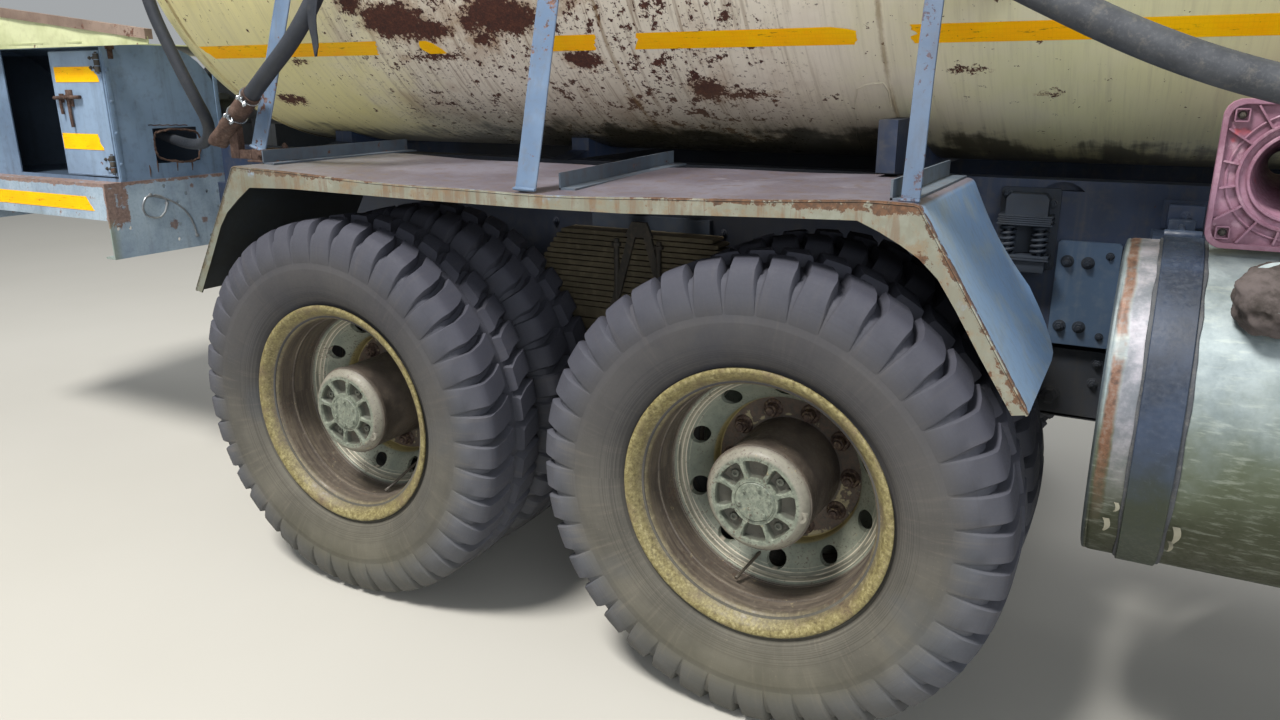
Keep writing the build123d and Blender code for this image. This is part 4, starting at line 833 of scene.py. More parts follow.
MAT["seat"] = Mat("seat_cloth", 0.9, 0.0, 0.2)
_m = MAT["seat"]
_m.b.inputs["Sheen Weight"].default_value = 0.3
_wv = _m.mul(_m.wave(190, "X"), _m.wave(190, "Z"))
_m.base(_m.mix(_m.mul(_m.span(_m.noise(6, 4, 0.6), 0.35, 0.7), 0.5), _m.mix(_wv, "#33363c", "#4d5159"), "#6b6558"))
_m.bump(_m.add(_wv, _m.mul(_m.noise(260, 3, 0.7), 0.6)), 0.4, 0.0008)

MAT["lamp"] = Mat("lamp_lens", 0.15, 0.0, 0.5)
_m = MAT["lamp"]
_m.b.inputs["Transmission Weight"].default_value = 0.4
_rb = _m.wave(60, "Y")
_xx = _m.xyz[0]
_m.base(_m.mix(_m.span(_xx, 0.0, 0.1), _m.mix(_m.span(_m.noise(9), 0.4, 0.6), "#8f1a12", "#b0301f"),
               _m.mix(_m.span(_m.noise(30, 4), 0.4, 0.7), "#d5d8d6", "#aaa79a")))
_m.bump(_rb, 0.4, 0.002)
_m.rough(_m.span(_m.noise(40), 0.3, 0.7, 0.1, 0.3))

MAT["mirror"] = Mat("mirror_face", 0.08, 1.0, 0.5)
_m = MAT["mirror"]
_m.base(_m.mix(_m.mul(_m.span(_m.noise(20, 5, 0.7), 0.5, 0.8), 0.5), "#c9ced0", "#8a877b"))
_m.rough(_m.span(_m.noise(30, 5, 0.7), 0.4, 0.8, 0.04, 0.35))

MAT["flap"] = worn("torn_liner", "#6b6a5c", "#8f8d7b", rust=0.1, dirt="#57553f", dust=0.5, rough=0.9)
MAT["rag"] = Mat("rag_cloth", 0.95, 0.0, 0.1)
_m = MAT["rag"]
_w2 = _m.mul(_m.wave(260, "X", dist=1.0), _m.wave(260, "Z", dist=1.0))
_m.base(_m.mix(_m.span(_m.noise(14, 5, 0.7), 0.35, 0.7), _m.mix(_w2, "#57504f", "#756c6b"), "#36322f"))
_m.bump(_m.add(_w2, _m.noise(90, 4, 0.7)), 0.5, 0.001)

MAT["clean"] = Mat("pale_backing", 0.5, 0.0, 0.4)
_m = MAT["clean"]
_m.base(_m.mix(_m.span(_m.noise(60, 4, 0.7), 0.4, 0.7), "#d6cfc0", "#8a7c68")).bump(_m.noise(120, 4), 0.2, 0.0005)


# ================================================================ tyres
CARCASS = ((0.308, 0.092), (0.320, 0.096), (0.332, 0.101), (0.345, 0.104), (0.356, 0.108), (0.362, 0.114), (0.372, 0.125),
           (0.384, 0.1325), (0.398, 0.1385), (0.415, 0.1440), (0.430, 0.1478), (0.450, 0.1512), (0.466, 0.1520), (0.4700, 0.1520),
           (0.4740, 0.1508), (0.490, 0.1500), (0.510, 0.1478), (0.530, 0.1430), (0.550, 0.1355), (0.565, 0.1255), (0.574, 0.110),
           (0.5765, 0.090), (0.5775, 0.060), (0.578, 0.020))


def wall_point(s):
    """Raised face of a lug, s from 0 on the side wall to 1 at the tread's middle: (radius, half width)."""
    pts = ((0.484, 0.1499), (0.500, 0.1522), (0.530, 0.1502), (0.556, 0.1430), (0.580, 0.1318), (0.594, 0.1235), (0.6025, 0.1120),
           (0.6062, 0.100), (0.6085, 0.075), (0.6092, 0.045), (0.6095, 0.012))
    k = s * (len(pts) - 1)
    i = min(int(k), len(pts) - 2)
    f = k - i
    return (pts[i][0] + (pts[i + 1][0] - pts[i][0]) * f, pts[i][1] + (pts[i + 1][1] - pts[i][1]) * f)


def base_point(s):
    pts = ((0.485, 0.1490), (0.500, 0.1480), (0.530, 0.1420), (0.552, 0.1330), (0.566, 0.1220), (0.5745, 0.1080), (0.576, 0.098),
           (0.577, 0.090), (0.5775, 0.070), (0.578, 0.042), (0.578, 0.012))
    k = s * (len(pts) - 1)
    i = min(int(k), len(pts) - 2)
    f = k - i
    return (pts[i][0] + (pts[i + 1][0] - pts[i][0]) * f, pts[i][1] + (pts[i + 1][1] - pts[i][1]) * f)


def add_tyre(b, x0, rim_y, side, mid, phase, flip=1, lugs=40):
    """One lugged tyre: smooth carcass and blocks that run from the side wall to the tread's middle."""
    def at(r, h, a, e):
        u = mid + e * h
        return (x0 + r * cos(a), side * (rim_y - u), HUB_Z + r * sin(a))
    n = 120
    prof = [(r, -h) for r, h in CARCASS] + [(r, h) for r, h in reversed(CARCASS)]
    m = len(prof)
    verts = [at(prof[k][0], prof[k][1], 2 * pi * i / n, 1) for i in range(n) for k in range(m)]
    faces = [(i * m + k, i * m + (k + 1) % m, ((i + 1) % n) * m + (k + 1) % m, ((i + 1) % n) * m + k) for i in range(n) for k in range(m)]
    b.raw(verts, faces)
    rnd = random.Random(int(phase * 1000) + 7)
    pitch = 2 * pi / lugs
    S = (0.0, 0.06, 0.14, 0.24, 0.34, 0.44, 0.53, 0.61, 0.68, 0.76, 0.84, 0.90, 0.96)
    for e in (-1, 1):
        for i in range(lugs):
            a0 = phase + i * pitch + (0.5 * pitch if e > 0 else 0)
            long_one = (i % 2 == 0)
            worn_by = rnd.uniform(0.0, 0.0016)
            start, fade = 0.0, (0.50 if long_one else 0.40)
            rows = []
            for s in S:
                t = start + (1 - start) * s
                r, h = wall_point(min(t, 0.985))
                br, bh = base_point(min(t, 0.985))
                # swing of the lug across the tread, and its width between the grooves
                w = (0.150 - h) / 0.150
                swing = -flip * e * (0.055 * max(0.0, (w - 0.28)) / 0.72 + 0.035 * max(0.0, (w - 0.62)) / 0.38)
                q_ = min(1.0, t / fade)
                half = pitch * (0.412 + 0.090 * (1 - q_ * q_ * (3 - 2 * q_)) - 0.03 * max(0.0, w - 0.5))
                lift = 1.0
                rr, hh = br + (r - br) * lift - (worn_by if t > 0.5 else 0), bh + (h - bh) * lift
                c = a0 + swing
                pw = 0.0045 / 0.6
                row = [at(br - 0.002, bh - 0.002, c - half, e)]
                row.append(at(rr - (rr - br) * 0.30, hh - (hh - bh) * 0.30, c - half + pw * 0.7, e))
                row.append(at(rr, hh, c - half + pw * 1.7, e))
                row.append(at(rr, hh, c, e))
                row.append(at(rr, hh, c + half - pw * 1.7, e))
                row.append(at(rr - (rr - br) * 0.30, hh - (hh - bh) * 0.30, c + half - pw * 0.7, e))
                row.append(at(br - 0.002, bh - 0.002, c + half, e))
                rows.append(row)
            q = len(rows[0])
            vs = [p for row in rows for p in row]
            fs = [(j * q + k, j * q + k + 1, (j + 1) * q + k + 1, (j + 1) * q + k) for j in range(len(rows) - 1) for k in range(q - 1)]
            fs.append(tuple(range(q)))
            fs.append(tuple((len(rows) - 1) * q + k for k in reversed(range(q))))
            fs += [((j + 1) * q, (j + 1) * q + q - 1, j * q + q - 1, j * q) for j in range(len(rows) - 1)]
            b.raw(vs, fs)


for key, x0 in (("mid", AX_MID), ("rear", AX_REAR)):
    for s, word in SIDES:
        b = Build()
        ph = {"mid": radians(3.3), "rear": radians(6.2)}[key]
        add_tyre(b, x0, RIM_Y, s, 0.122, ph, 1)
        add_tyre(b, x0, RIM_Y, s, 0.461, ph + 0.05, 1)
        b.done(f"lug_tyres_{key}_{word}", MAT["tyre_" + key], f"{key}_wheels_{word}", (f"{key}_tyres_{word}",), angle=38)
for s, word in SIDES:
    b = Build()
    add_tyre(b, AX_FRONT, FRONT_RIM_Y, s, 0.113, 0.02, 1)
    b.done(f"lug_tyre_front_{word}", MAT["tyre_front"], f"front_wheel_{word}", (f"front_tyre_{word}",), angle=38)


# ================================================================ rear wheels
def ring_of(b, prof, x0, rim_y, side, n=96):
    """Closed (radius, depth) outline turned round the axle."""
    m = len(prof)
    vs = [(x0 + r * cos(2 * pi * i / n), side * (rim_y - u), HUB_Z + r * sin(2 * pi * i / n)) for i in range(n) for r, u in prof]
    fs = [(i * m + k, i * m + (k + 1) % m, ((i + 1) % n) * m + (k + 1) % m, ((i + 1) % n) * m + k) for i in range(n) for k in range(m)]
    b.raw(vs, fs)


RIM_PROF = ((0.3500, 0.0095), (0.3518, 0.0060), (0.3512, 0.0022), (0.3485, 0.0003), (0.3440, 0.0000), (0.3390, 0.0012), (0.3330, 0.0048),
            (0.3265, 0.0110), (0.3210, 0.0190), (0.3165, 0.0260), (0.3105, 0.0305), (0.3050, 0.0350), (0.3020, 0.0410), (0.3010, 0.0480),
            (0.3004, 0.0700), (0.2996, 0.0900), (0.2988, 0.0930), (0.2962, 0.0945), (0.2952, 0.0975), (0.2956, 0.1010), (0.2975, 0.1030),
            (0.2978, 0.1100), (0.2960, 0.1500), (0.2950, 0.1680), (0.2930, 0.1700), (0.2925, 0.1860), (0.3080, 0.2000), (0.3300, 0.2140),
            (0.3510, 0.2180), (0.3510, 0.2250), (0.3420, 0.2258), (0.3180, 0.2160), (0.3040, 0.2030), (0.2985, 0.1920), (0.3060, 0.1860),
            (0.3060, 0.0400), (0.3100, 0.0330), (0.3170, 0.0290), (0.3240, 0.0240), (0.3300, 0.0170), (0.3380, 0.0120), (0.3450, 0.0110))
DISC = ((0.2960, 0.1740), (0.2935, 0.1725), (0.2905, 0.1740), (0.2890, 0.1775), (0.2870, 0.1790), (0.2835, 0.1790), (0.2815, 0.1812),
        (0.2805, 0.1850), (0.2780, 0.1880), (0.2740, 0.1905), (0.2650, 0.1990), (0.2500, 0.2110), (0.2300, 0.2275), (0.2150, 0.2410),
        (0.2085, 0.2490), (0.2055, 0.2570), (0.2040, 0.2680), (0.2030, 0.2860), (0.1990, 0.2885), (0.1400, 0.2885), (0.1400, 0.2990),
        (0.2040, 0.2990), (0.2110, 0.2800), (0.2140, 0.2620), (0.2200, 0.2540), (0.2680, 0.2150), (0.2960, 0.1990))
INNER_DISC = ((0.130, 0.300), (0.204, 0.300), (0.266, 0.350), (0.296, 0.380), (0.296, 0.396), (0.284, 0.396), (0.256, 0.362), (0.198, 0.312), (0.130, 0.312))
HUB_BARREL = ((0.1400, 0.0600), (0.1410, 0.0660), (0.1400, 0.0720), (0.1372, 0.0760), (0.1368, 0.1500), (0.1380, 0.2300), (0.1400, 0.2900),
              (0.1400, 0.3190), (0.0680, 0.3190), (0.0680, 0.0620))
DRUM = ((0.066, 0.312), (0.2235, 0.312), (0.2250, 0.316), (0.2250, 0.518), (0.210, 0.519), (0.210, 0.326), (0.066, 0.326))


def hub_face(b, x0, rim_y, side, turn):
    """Cast hub face with eight pockets, as a height map over fine rings and spokes."""
    rs = [0.0, 0.010, 0.028, 0.046, 0.0490, 0.0510, 0.0560, 0.0590, 0.0612, 0.0630, 0.0650, 0.0675, 0.0850, 0.1010, 0.1035, 0.1055, 0.1075,
          0.1110, 0.1160, 0.1190, 0.1260, 0.1320, 0.1375, 0.1405, 0.1405]
    cuts = [0, 2.5, 4.2, 5.6, 7.2, 9.5, 15.5, 22.5, 29.5, 35.5, 37.8, 39.4, 40.8, 42.5]
    angs = [45.0 * k + c for k in range(8) for c in cuts]

    def depth(r, a):
        f = a % 45.0
        open_at = 17.0 - 3.2 * min(1.0, max(0.0, (0.078 - r) / 0.016)) - 2.6 * min(1.0, max(0.0, (r - 0.094) / 0.012))
        wall_a = min(max((abs(f - 22.5) - open_at) / 2.6, 0.0), 1.0)          # 0 inside a pocket
        corner = 0.0
        wr = min(max((r - 0.1030) / 0.0045, 0.0), 1.0) if r > 0.085 else min(max((0.0655 - r) / 0.0045, 0.0), 1.0)
        wall = min(1.0, max(wall_a, wr) + corner)
        wall = wall * wall * (3 - 2 * wall)
        top = 0.0350
        if r < 0.0500:
            top = 0.0318
        elif r < 0.0570:
            top = 0.0318 + 0.0040 * min(1.0, (r - 0.0500) / 0.0015)
        if r > 0.1165:
            k = min(1.0, (r - 0.1165) / 0.0210)
            top = 0.0350 + 0.0250 * k * k
            if r >= 0.1400:
                top = 0.0640 if r < 0.14051 else 0.0680
        return top + (1 - wall) * 0.0205 if r < 0.110 else top
    n = len(angs)
    vs, fs = [(x0, side * (rim_y - depth(0.0, 0.0)), HUB_Z)], []
    for j, r in enumerate(rs[1:]):
        for a in angs:
            t = radians(a + turn - 22.5)
            u = depth(r, a) if j < len(rs) - 2 else 0.0700
            vs.append((x0 + r * cos(t), side * (rim_y - u), HUB_Z + r * sin(t)))
    for i in range(n):
        fs.append((0, 1 + i, 1 + (i + 1) % n))
    for j in range(len(rs) - 2):
        for i in range(n):
            k = (i + 1) % n
            fs.append((1 + j * n + i, 1 + j * n + k, 1 + (j + 1) * n + k, 1 + (j + 1) * n + i))
    b.raw(vs, fs)


def bool_holes(o, cutters):
    """Cuts the cutters out of a piece and keeps the result as plain mesh."""
    for c in cutters:
        md = o.modifiers.new("cut", "BOOLEAN")
        md.operation = "DIFFERENCE"
        md.solver = "EXACT"
        md.object = c
    bpy.context.view_layer.update()
    dg = bpy.context.evaluated_depsgraph_get()
    me = bpy.data.meshes.new_from_object(o.evaluated_get(dg))
    o.modifiers.clear()
    o.data = me
    for p in me.polygons:
        p.use_smooth = True
    me.set_sharp_from_angle(angle=radians(32))
    for c in cutters:
        bpy.data.objects.remove(c)


def cutter(b):
    me = bpy.data.meshes.new("cutter")
    me.from_pydata([tuple(p) for p in b.v], [], b.f)
    bm = bmesh.new(); bm.from_mesh(me); bmesh.ops.recalc_face_normals(bm, faces=bm.faces); bm.to_mesh(me); bm.free()
    o = bpy.data.objects.new("cutter", me)
    SC.collection.objects.link(o)
    return o


HOLE_TURN = {"mid": 18.0, "rear": 5.0}
FACE_TURN = {"mid": 0.0, "rear": 12.0}
PLUG_AT = {"mid": -8.0, "rear": -30.0}
for key, x0 in (("mid", AX_MID), ("rear", AX_REAR)):
    for s, word in SIDES:
        mat, body, node = MAT["wheel_" + key], f"{key}_wheels_{word}", f"{key}_wheel_{word}"
        # two rims, inner disc, hub, drum
        b = Build()
        ring_of(b, RIM_PROF, x0, RIM_Y, s)
        ring_of(b, [(r, 0.357 + 0.226 - u) for r, u in RIM_PROF], x0, RIM_Y, s, 64)
        ring_of(b, INNER_DISC, x0, RIM_Y, s, 64)
        ring_of(b, HUB_BARREL, x0, RIM_Y, s)
        ring_of(b, DRUM, x0, RIM_Y, s, 64)
        hub_face(b, x0, RIM_Y, s, FACE_TURN[key])
        b.done(f"rim_{key}_{word}", mat, body, (node,), angle=40)
        # outer disc with ten hand holes
        b = Build()
        ring_of(b, DISC, x0, RIM_Y, s, 120)
        disc = b.done(f"disc_{key}_{word}", mat, body, angle=32)
        c = Build()
        for i in range(10):
            a = radians(36 * i + HOLE_TURN[key])
            px, pz = x0 + 0.2435 * cos(a), HUB_Z + 0.2435 * sin(a)
            pts = []
            for k in range(24):
                t = 2 * pi * k / 24
                lt, lr = 0.0275 * cos(t), 0.0225 * sin(t)
                pts.append((px - sin(a) * lt + cos(a) * lr, s * (RIM_Y - 0.15), pz + cos(a) * lt + sin(a) * lr))
            c.prism(pts, (0, -s * 0.15, 0))
        bool_holes(disc, [cutter(c)])
        # nuts on their studs, cap bolts, plug, valve
        b = Build()
        for i in range(10):
            a = radians(36 * i + HOLE_TURN[key] + 18)
            p = (x0 + 0.1675 * cos(a), s * (RIM_Y - 0.2885), HUB_Z + 0.1675 * sin(a))
            b.spin([(0.0265, 0.0), (0.0265, 0.003), (0.0225, 0.0065)], p, (0, s, 0), 20)
            b.hexnut((p[0], p[1] + s * 0.006, p[2]), (0, s, 0), 0.0185, 0.022)
            b.spin([(0.0105, -0.002), (0.0105, 0.006), (0.009, 0.0075)], (p[0], p[1] + s * 0.028, p[2]), (0, s, 0), 14)
        b.done(f"nuts_{key}_{word}", MAT["nut"], body)
        b = Build()
        for i in range(6):
            a = radians(60 * i + 14 + FACE_TURN[key])
            p = (x0 + 0.0405 * cos(a), s * (RIM_Y - 0.0325), HUB_Z + 0.0405 * sin(a))
            b.spin([(0.0078, 0), (0.0078, 0.0012), (0.0070, 0.0016)], p, (0, s, 0), 18)
            b.hexnut((p[0], p[1] + s * 0.0014, p[2]), (0, s, 0), 0.0058, 0.0044)
        for k in range(8):
            # small boss at the bottom of each second pocket
            if k % 2 == 0:
                continue
            a = radians(45 * k + FACE_TURN[key])
            p = (x0 + 0.084 * cos(a), s * (RIM_Y - 0.0560), HUB_Z + 0.084 * sin(a))
            b.spin([(0.0110, 0), (0.0110, 0.006), (0.0098, 0.0076), (0.0048, 0.0076), (0.0044, 0.004)], p, (0, s, 0), 18)
        a = radians(PLUG_AT[key])
        p = (x0 + 0.1210 * cos(a), s * (RIM_Y - 0.056), HUB_Z + 0.1210 * sin(a))
        b.spin([(0.0160, 0), (0.0160, 0.0170), (0.0145, 0.0190), (0.0070, 0.0190), (0.0062, 0.0130), (0.0005, 0.0130)], p, (0, s, 0), 24)
        ring = [(x0 + 0.0535 * cos(2 * pi * i / 60), s * (RIM_Y - 0.0345), HUB_Z + 0.0535 * sin(2 * pi * i / 60)) for i in range(60)]
        b.tube(ring, 0.0014, 6, closed=True)
        b.done(f"cap_bolts_{key}_{word}", mat, body, angle=40)
        b = Build()
        va = radians(-95 if key == "mid" else -60)
        pts = []
        for r, da, u in (((0.238, 6.2, 0.257), (0.240, 6.4, 0.238), (0.246, 7.1, 0.208), (0.256, 8.2, 0.178), (0.266, 9.2, 0.152), (0.275, 10, 0.132)) if key == "mid" else
                         ((0.236, 0, 0.262), (0.238, 0, 0.235), (0.243, 1.5, 0.205), (0.254, 5, 0.170), (0.268, 9, 0.140), (0.281, 13, 0.115))):
            t = va - radians(da)
            pts.append((x0 + r * cos(t), s * (RIM_Y - u), HUB_Z + r * sin(t)))
        b.tube(pts, [0.0052, 0.0052, 0.0048, 0.0044, 0.0042, 0.0040], 12)
        b.rod(pts[0], Vector(pts[0]).lerp(Vector(pts[1]), 0.9), 0.013, 14, 0.002)
        b.rod(pts[-1], Vector(pts[-1]) + (Vector(pts[-1]) - Vector(pts[-2])).normalized() * 0.018, 0.0055, 14, 0.001)
        b.done(f"valve_{key}_{word}", MAT["black"], body)

# front wheels keep their CAD shape, with nuts and hub cap bolts
MAT["wheel_front"] = worn("front_rim_paint", "#7c7548", "#97905f", rust=0.45, dirt="#5b5444", dust=0.5, rough=0.55, scale=2.0, floor_dirt=False)
for s, word in SIDES:
    dress(f"front_wheel_{word}", MAT["wheel_front"])
    b = Build()
    for i in range(10):
        a = radians(36 * i)
        p = (AX_FRONT + 0.1675 * cos(a), s * (FRONT_RIM_Y - 0.022), HUB_Z + 0.1675 * sin(a))
        b.spin([(0.0265, 0.0), (0.0265, 0.003), (0.0225, 0.006)], p, (0, s, 0), 20)
        b.hexnut((p[0], p[1] + s * 0.0055, p[2]), (0, s, 0), 0.0185, 0.020)
    for i in range(6):
        a = radians(60 * i)
        b.bolt((AX_FRONT + 0.050 * cos(a), s * (FRONT_RIM_Y + 0.030), HUB_Z + 0.050 * sin(a)), (0, s, 0), 0.0065, 0.006)
    b.done(f"nuts_front_{word}", MAT["nut"], f"front_wheel_{word}")


# ================================================================ barrel: welds, tape, marks
def tank_ring(b, x, r, n=160):
    b.tube([(x, TANK_R * cos(2 * pi * i / n) * 1.0, TANK_Z + TANK_R * sin(2 * pi * i / n)) for i in range(n)], r, 6, closed=True)


b = Build()
for x, r in ((-2.900, 0.0045), (-1.130, 0.0024), (-0.335, 0.0024), (1.100, 0.0024), (2.100, 0.0045)):
    tank_ring(b, x, r)
# old weld outline beside the bracket, and a stitched seam
for s in (-1, 1):
    mark = [on_tank(-0.495, 73.5, 0.0002, s), on_tank(-0.478, 66, 0.0002, s), on_tank(-0.456, 59, 0.0002, s), on_tank(-0.440, 53.5, 0.0002, s),
            on_tank(-0.424, 50.5, 0.0002, s), on_tank(-0.395, 49.4, 0.0002, s), on_tank(-0.350, 49.0, 0.0002, s), on_tank(-0.341, 51.0, 0.0002, s),
            on_tank(-0.345, 55, 0.0002, s)]
    b.tube(mark, 0.0026, 6)
    for i in range(16):
        t = i / 15
        p = on_tank(-1.655 - 0.031 * t * t, 43.0 + 19.5 * t, 0.0, s)
        q = on_tank(-1.655 - 0.031 * t * t - 0.003, 43.0 + 19.5 * t + 0.75, 0.0, s)
        b.tube([p, (p + q) / 2 + Vector((0, 0, -0.0002)), q], 0.0026, 6)
b.done("tank_welds", MAT["tank"], "chassis", angle=60)


def tape_strip(b, rows, s=-1, lift=0.0012):
    """Tape on the barrel: rows of (angle, start, end) from top edge to bottom edge."""
    top = [[on_tank(x0 + (x1 - x0) * k / 4, th, lift, s) for k in range(5)] for th, x0, x1 in rows]
    low = [[on_tank(x0 + (x1 - x0) * k / 4, th, 0.0001, s) for k in range(5)] for th, x0, x1 in rows]
    n, m = len(rows), 5
    vs = [p for r in top for p in r] + [p for r in low for p in r]
    fs = []
    for j in range(n - 1):
        for k in range(m - 1):
            fs.append((j * m + k, j * m + k + 1, (j + 1) * m + k + 1, (j + 1) * m + k))
            o = n * m
            fs.append((o + j * m + k, o + (j + 1) * m + k, o + (j + 1) * m + k + 1, o + j * m + k + 1))
    rim = [k for k in range(m)] + [j * m + m - 1 for j in range(1, n)] + [(n - 1) * m + k for k in range(m - 2, -1, -1)] + [j * m for j in range(n - 2, 0, -1)]
    for i in range(len(rim)):
        a_, c_ = rim[i], rim[(i + 1) % len(rim)]
        fs.append((a_, n * m + a_, n * m + c_, c_))
    b.raw(vs, fs)


def ragged(x0, x1, s0=0.0, s1=0.0, j0=0.004, j1=0.004, seed=1, t0=37.75, t1=41.0, n=9):
    """Rows of a strip with slanting, nibbled ends."""
    r = random.Random(seed)
    rows = []
    for i in range(n):
        f = i / (n - 1)
        rows.append((t0 + (t1 - t0) * f, x0 + s0 * f + r.uniform(-j0, j0), x1 + s1 * f + r.uniform(-j1, j1)))
    return rows


b = Build()
tape_strip(b, ragged(-2.882, -2.004, 0.040, -0.022, 0.003, 0.006, 3))
tape_strip(b, ((38.0, -1.818, -1.792), (38.6, -1.826, -1.770), (39.3, -1.829, -1.757), (40.0, -1.824, -1.744), (40.6, -1.811, -1.738), (41.0, -1.802, -1.735)))
tape_strip(b, ragged(-1.330, -1.164, 0.0, -0.010, 0.004, 0.007, 5))
rows = ragged(-1.020, -0.391, -0.020, -0.012, 0.005, 0.005, 8)
rows = [(t, x0, x1 - (0.075 if i == 0 else 0.028 if i == 1 else 0.0)) for i, (t, x0, x1) in enumerate(rows)]
tape_strip(b, rows)
rows = ragged(-0.262, 1.900, 0.004, 0.0, 0.004, 0.002, 11)
rows = [(t, x0 + (0.014 if i in (3, 4) else 0.0), x1) for i, (t, x0, x1) in enumerate(rows)]
tape_strip(b, rows)
for k, (x0, x1) in enumerate(((-2.86, -1.98), (-1.90, -0.95), (-0.82, 0.10), (0.22, 0.86), (1.42, 1.92))):
    tape_strip(b, ragged(x0, x1, 0.02, -0.02, 0.004, 0.004, 20 + k), 1)
b.done("barrel_tape", MAT["tape"], "chassis", angle=50)


# ================================================================ mudguards
EDGE = ((-2.175, 1.3650), (-2.093, 1.3610), (-1.762, 1.3450), (-1.427, 1.3360), (-1.097, 1.3370), (-0.805, 1.3420), (-0.594, 1.3490),
        (-0.356, 1.3600), (-0.229, 1.3645), (-0.105, 1.3650))
SKIRT_LOW = ((-2.110, 1.3000), (-1.930, 1.3070), (-1.768, 1.3030), (-1.430, 1.3020), (-1.099, 1.3010), (-0.805, 1.3040), (-0.594, 1.3100),
             (-0.354, 1.3205), (-0.229, 1.3230))


def table_z(tab, x):
    if x <= tab[0][0]:
        return tab[0][1]
    for (x0, z0), (x1, z1) in zip(tab, tab[1:]):
        if x <= x1:
            f = (x - x0) / (x1 - x0)
            return z0 + (z1 - z0) * f
    return tab[-1][1]


def guard_top(x, ay):
    """Height of the sagging top sheet."""
    w = 0.35 + 0.65 * min(1.0, max(0.0, (ay - 0.60) / 0.63))
    dent = 0.0035 * sin(7.3 * x + 2.0 * ay) * sin(3.1 * x + 6 * ay + 0.7)
    edge = min(1.0, max(0.0, (x + 2.175) / 0.12)) * min(1.0, max(0.0, (-0.105 - x) / 0.12))
    return GUARD_Z - (GUARD_Z - table_z(EDGE, x)) * w + dent * edge


def guard_line(ay):
    """Outer face of the sheet in side view at one distance from the middle: lists of (x, z)."""
    pts = []
    low = 0.950 + (0.0 if ay > 0.76 else 0.16 - sqrt(max(0.0, 0.16 ** 2 - (0.76 - ay) ** 2)))
    rear_low = 0.950
    def end(xa, za, xb, zb, n, first):
        return [(xa + (xb - xa) * k / n, za + (zb - za) * k / n) for k in range(0 if first else 1, n + (0 if first else 1))]
    # rear panel up, rounded fold, top, rounded fold, front panel down
    k0 = (rear_low - 0.950) / 0.415
    pts += end(-2.430 + 0.255 * k0, rear_low, -2.183, 1.352, 6, True)
    pts += [(-2.183, 1.352), (-2.178, 1.3590), (-2.171, 1.3630), (-2.162, guard_top(-2.162, ay))]
    n = 34
    for k in range(1, n):
        x = -2.162 + (2.162 - 0.118) * k / n
        pts.append((x, guard_top(x, ay)))
    pts += [(-0.118, guard_top(-0.118, ay)), (-0.109, 1.3630), (-0.102, 1.3590), (-0.097, 1.352)]
    f = (1.352 - low) / (1.352 - 0.950)
    bulge = 0.012
    for k in range(1, 9):
        t = k / 8
        xx = -0.097 + 0.247 * f * t
        zz = 1.352 + (low - 1.352) * t
        out = bulge * sin(pi * t) * min(1.0, max(0.0, (1.18 - ay) / 0.3))
        pts.append((xx - out * 0.85, zz - out * 0.5))
    return pts


GYS = (1.2290, 1.2270, 1.20, 1.15, 1.08, 1.00, 0.92, 0.84, 0.78, 0.72, 0.68, 0.64, 0.615, 0.601)
for s, word in SIDES:
    b = Build()
    lines = [guard_line(ay) for ay in GYS]
    m, n = len(lines[0]), len(GYS)
    outer = [(x, s * ay, z) for ay, ln in zip(GYS, lines) for x, z in ln]
    inner = []
    for ay, ln in zip(GYS, lines):
        for i, (x, z) in enumerate(ln):
            x0, z0 = ln[max(0, i - 1)]
            x1, z1 = ln[min(m - 1, i + 1)]
            d = Vector((x1 - x0, 0, z1 - z0)).normalized()
            inner.append((x + d.z * 0.005, s * ay, z - d.x * 0.005))
    vs = outer + inner
    fs = []
    for j in range(n - 1):
        for i in range(m - 1):
            a_ = j * m + i
            fs.append((a_, a_ + 1, a_ + m + 1, a_ + m))
            o = n * m + a_
            fs.append((o, o + m, o + m + 1, o + 1))
    for i in range(m - 1):
        fs.append((i, n * m + i, n * m + i + 1, i + 1))
        k = (n - 1) * m + i
        fs.append((k, k + 1, n * m + k + 1, n * m + k))
    for j in range(n - 1):
        a_ = j * m
        fs.append((a_, a_ + m, n * m + a_ + m, n * m + a_))
        k = j * m + m - 1
        fs.append((k, n * m + k, n * m + k + m, k + m))
    b.raw(vs, fs)
    # skirt with its corner gussets
    top = [(-2.430, 0.951), (-2.305, 1.1545), (-2.179, 1.3600), (-2.168, 1.3640)] + [(x, guard_top(x, 1.229)) for x in
           [-2.12 + 0.1 * k for k in range(20)]] + [(-0.112, 1.3640), (-0.101, 1.3600), (0.025, 1.1545), (0.150, 0.951)]
    low = [(0.118, 0.944), (0.046, 1.055), (-0.012, 1.150), (-0.052, 1.214), (-0.095, 1.252), (-0.135, 1.279), (-0.180, 1.303)]
    low += [(x, z) for x, z in reversed(SKIRT_LOW)]
    low += [(-2.165, 1.262), (-2.225, 1.218), (-2.262, 1.172), (-2.330, 1.060), (-2.402, 0.945)]
    rnd = random.Random(5)
    low = [(x + rnd.uniform(-0.0012, 0.0012), z + rnd.uniform(-0.0015, 0.0015)) for x, z in low]
    b.prism([(x, s * 1.2285, z) for x, z in top + low], (0, s * 0.0015 - s * 0.0065, 0))
    # thin lip line on the outer face and a seam that joins skirt and sheet
    b.tube([(x, s * 1.2265, z - 0.0035) for x, z in top[2:-2]], 0.0032, 6)
    b.tube([(x, s * 1.2265, z) for x, z in ((-0.103, 1.357), (0.024, 1.1535), (0.148, 0.953))], 0.0034, 6)
    b.tube([(x, s * 1.2265, z) for x, z in ((-2.177, 1.357), (-2.304, 1.1535), (-2.428, 0.953))], 0.0034, 6)
    b.done(f"mudguard_{word}", MAT["guard"], "chassis", ("rear_mudguards",), angle=32)

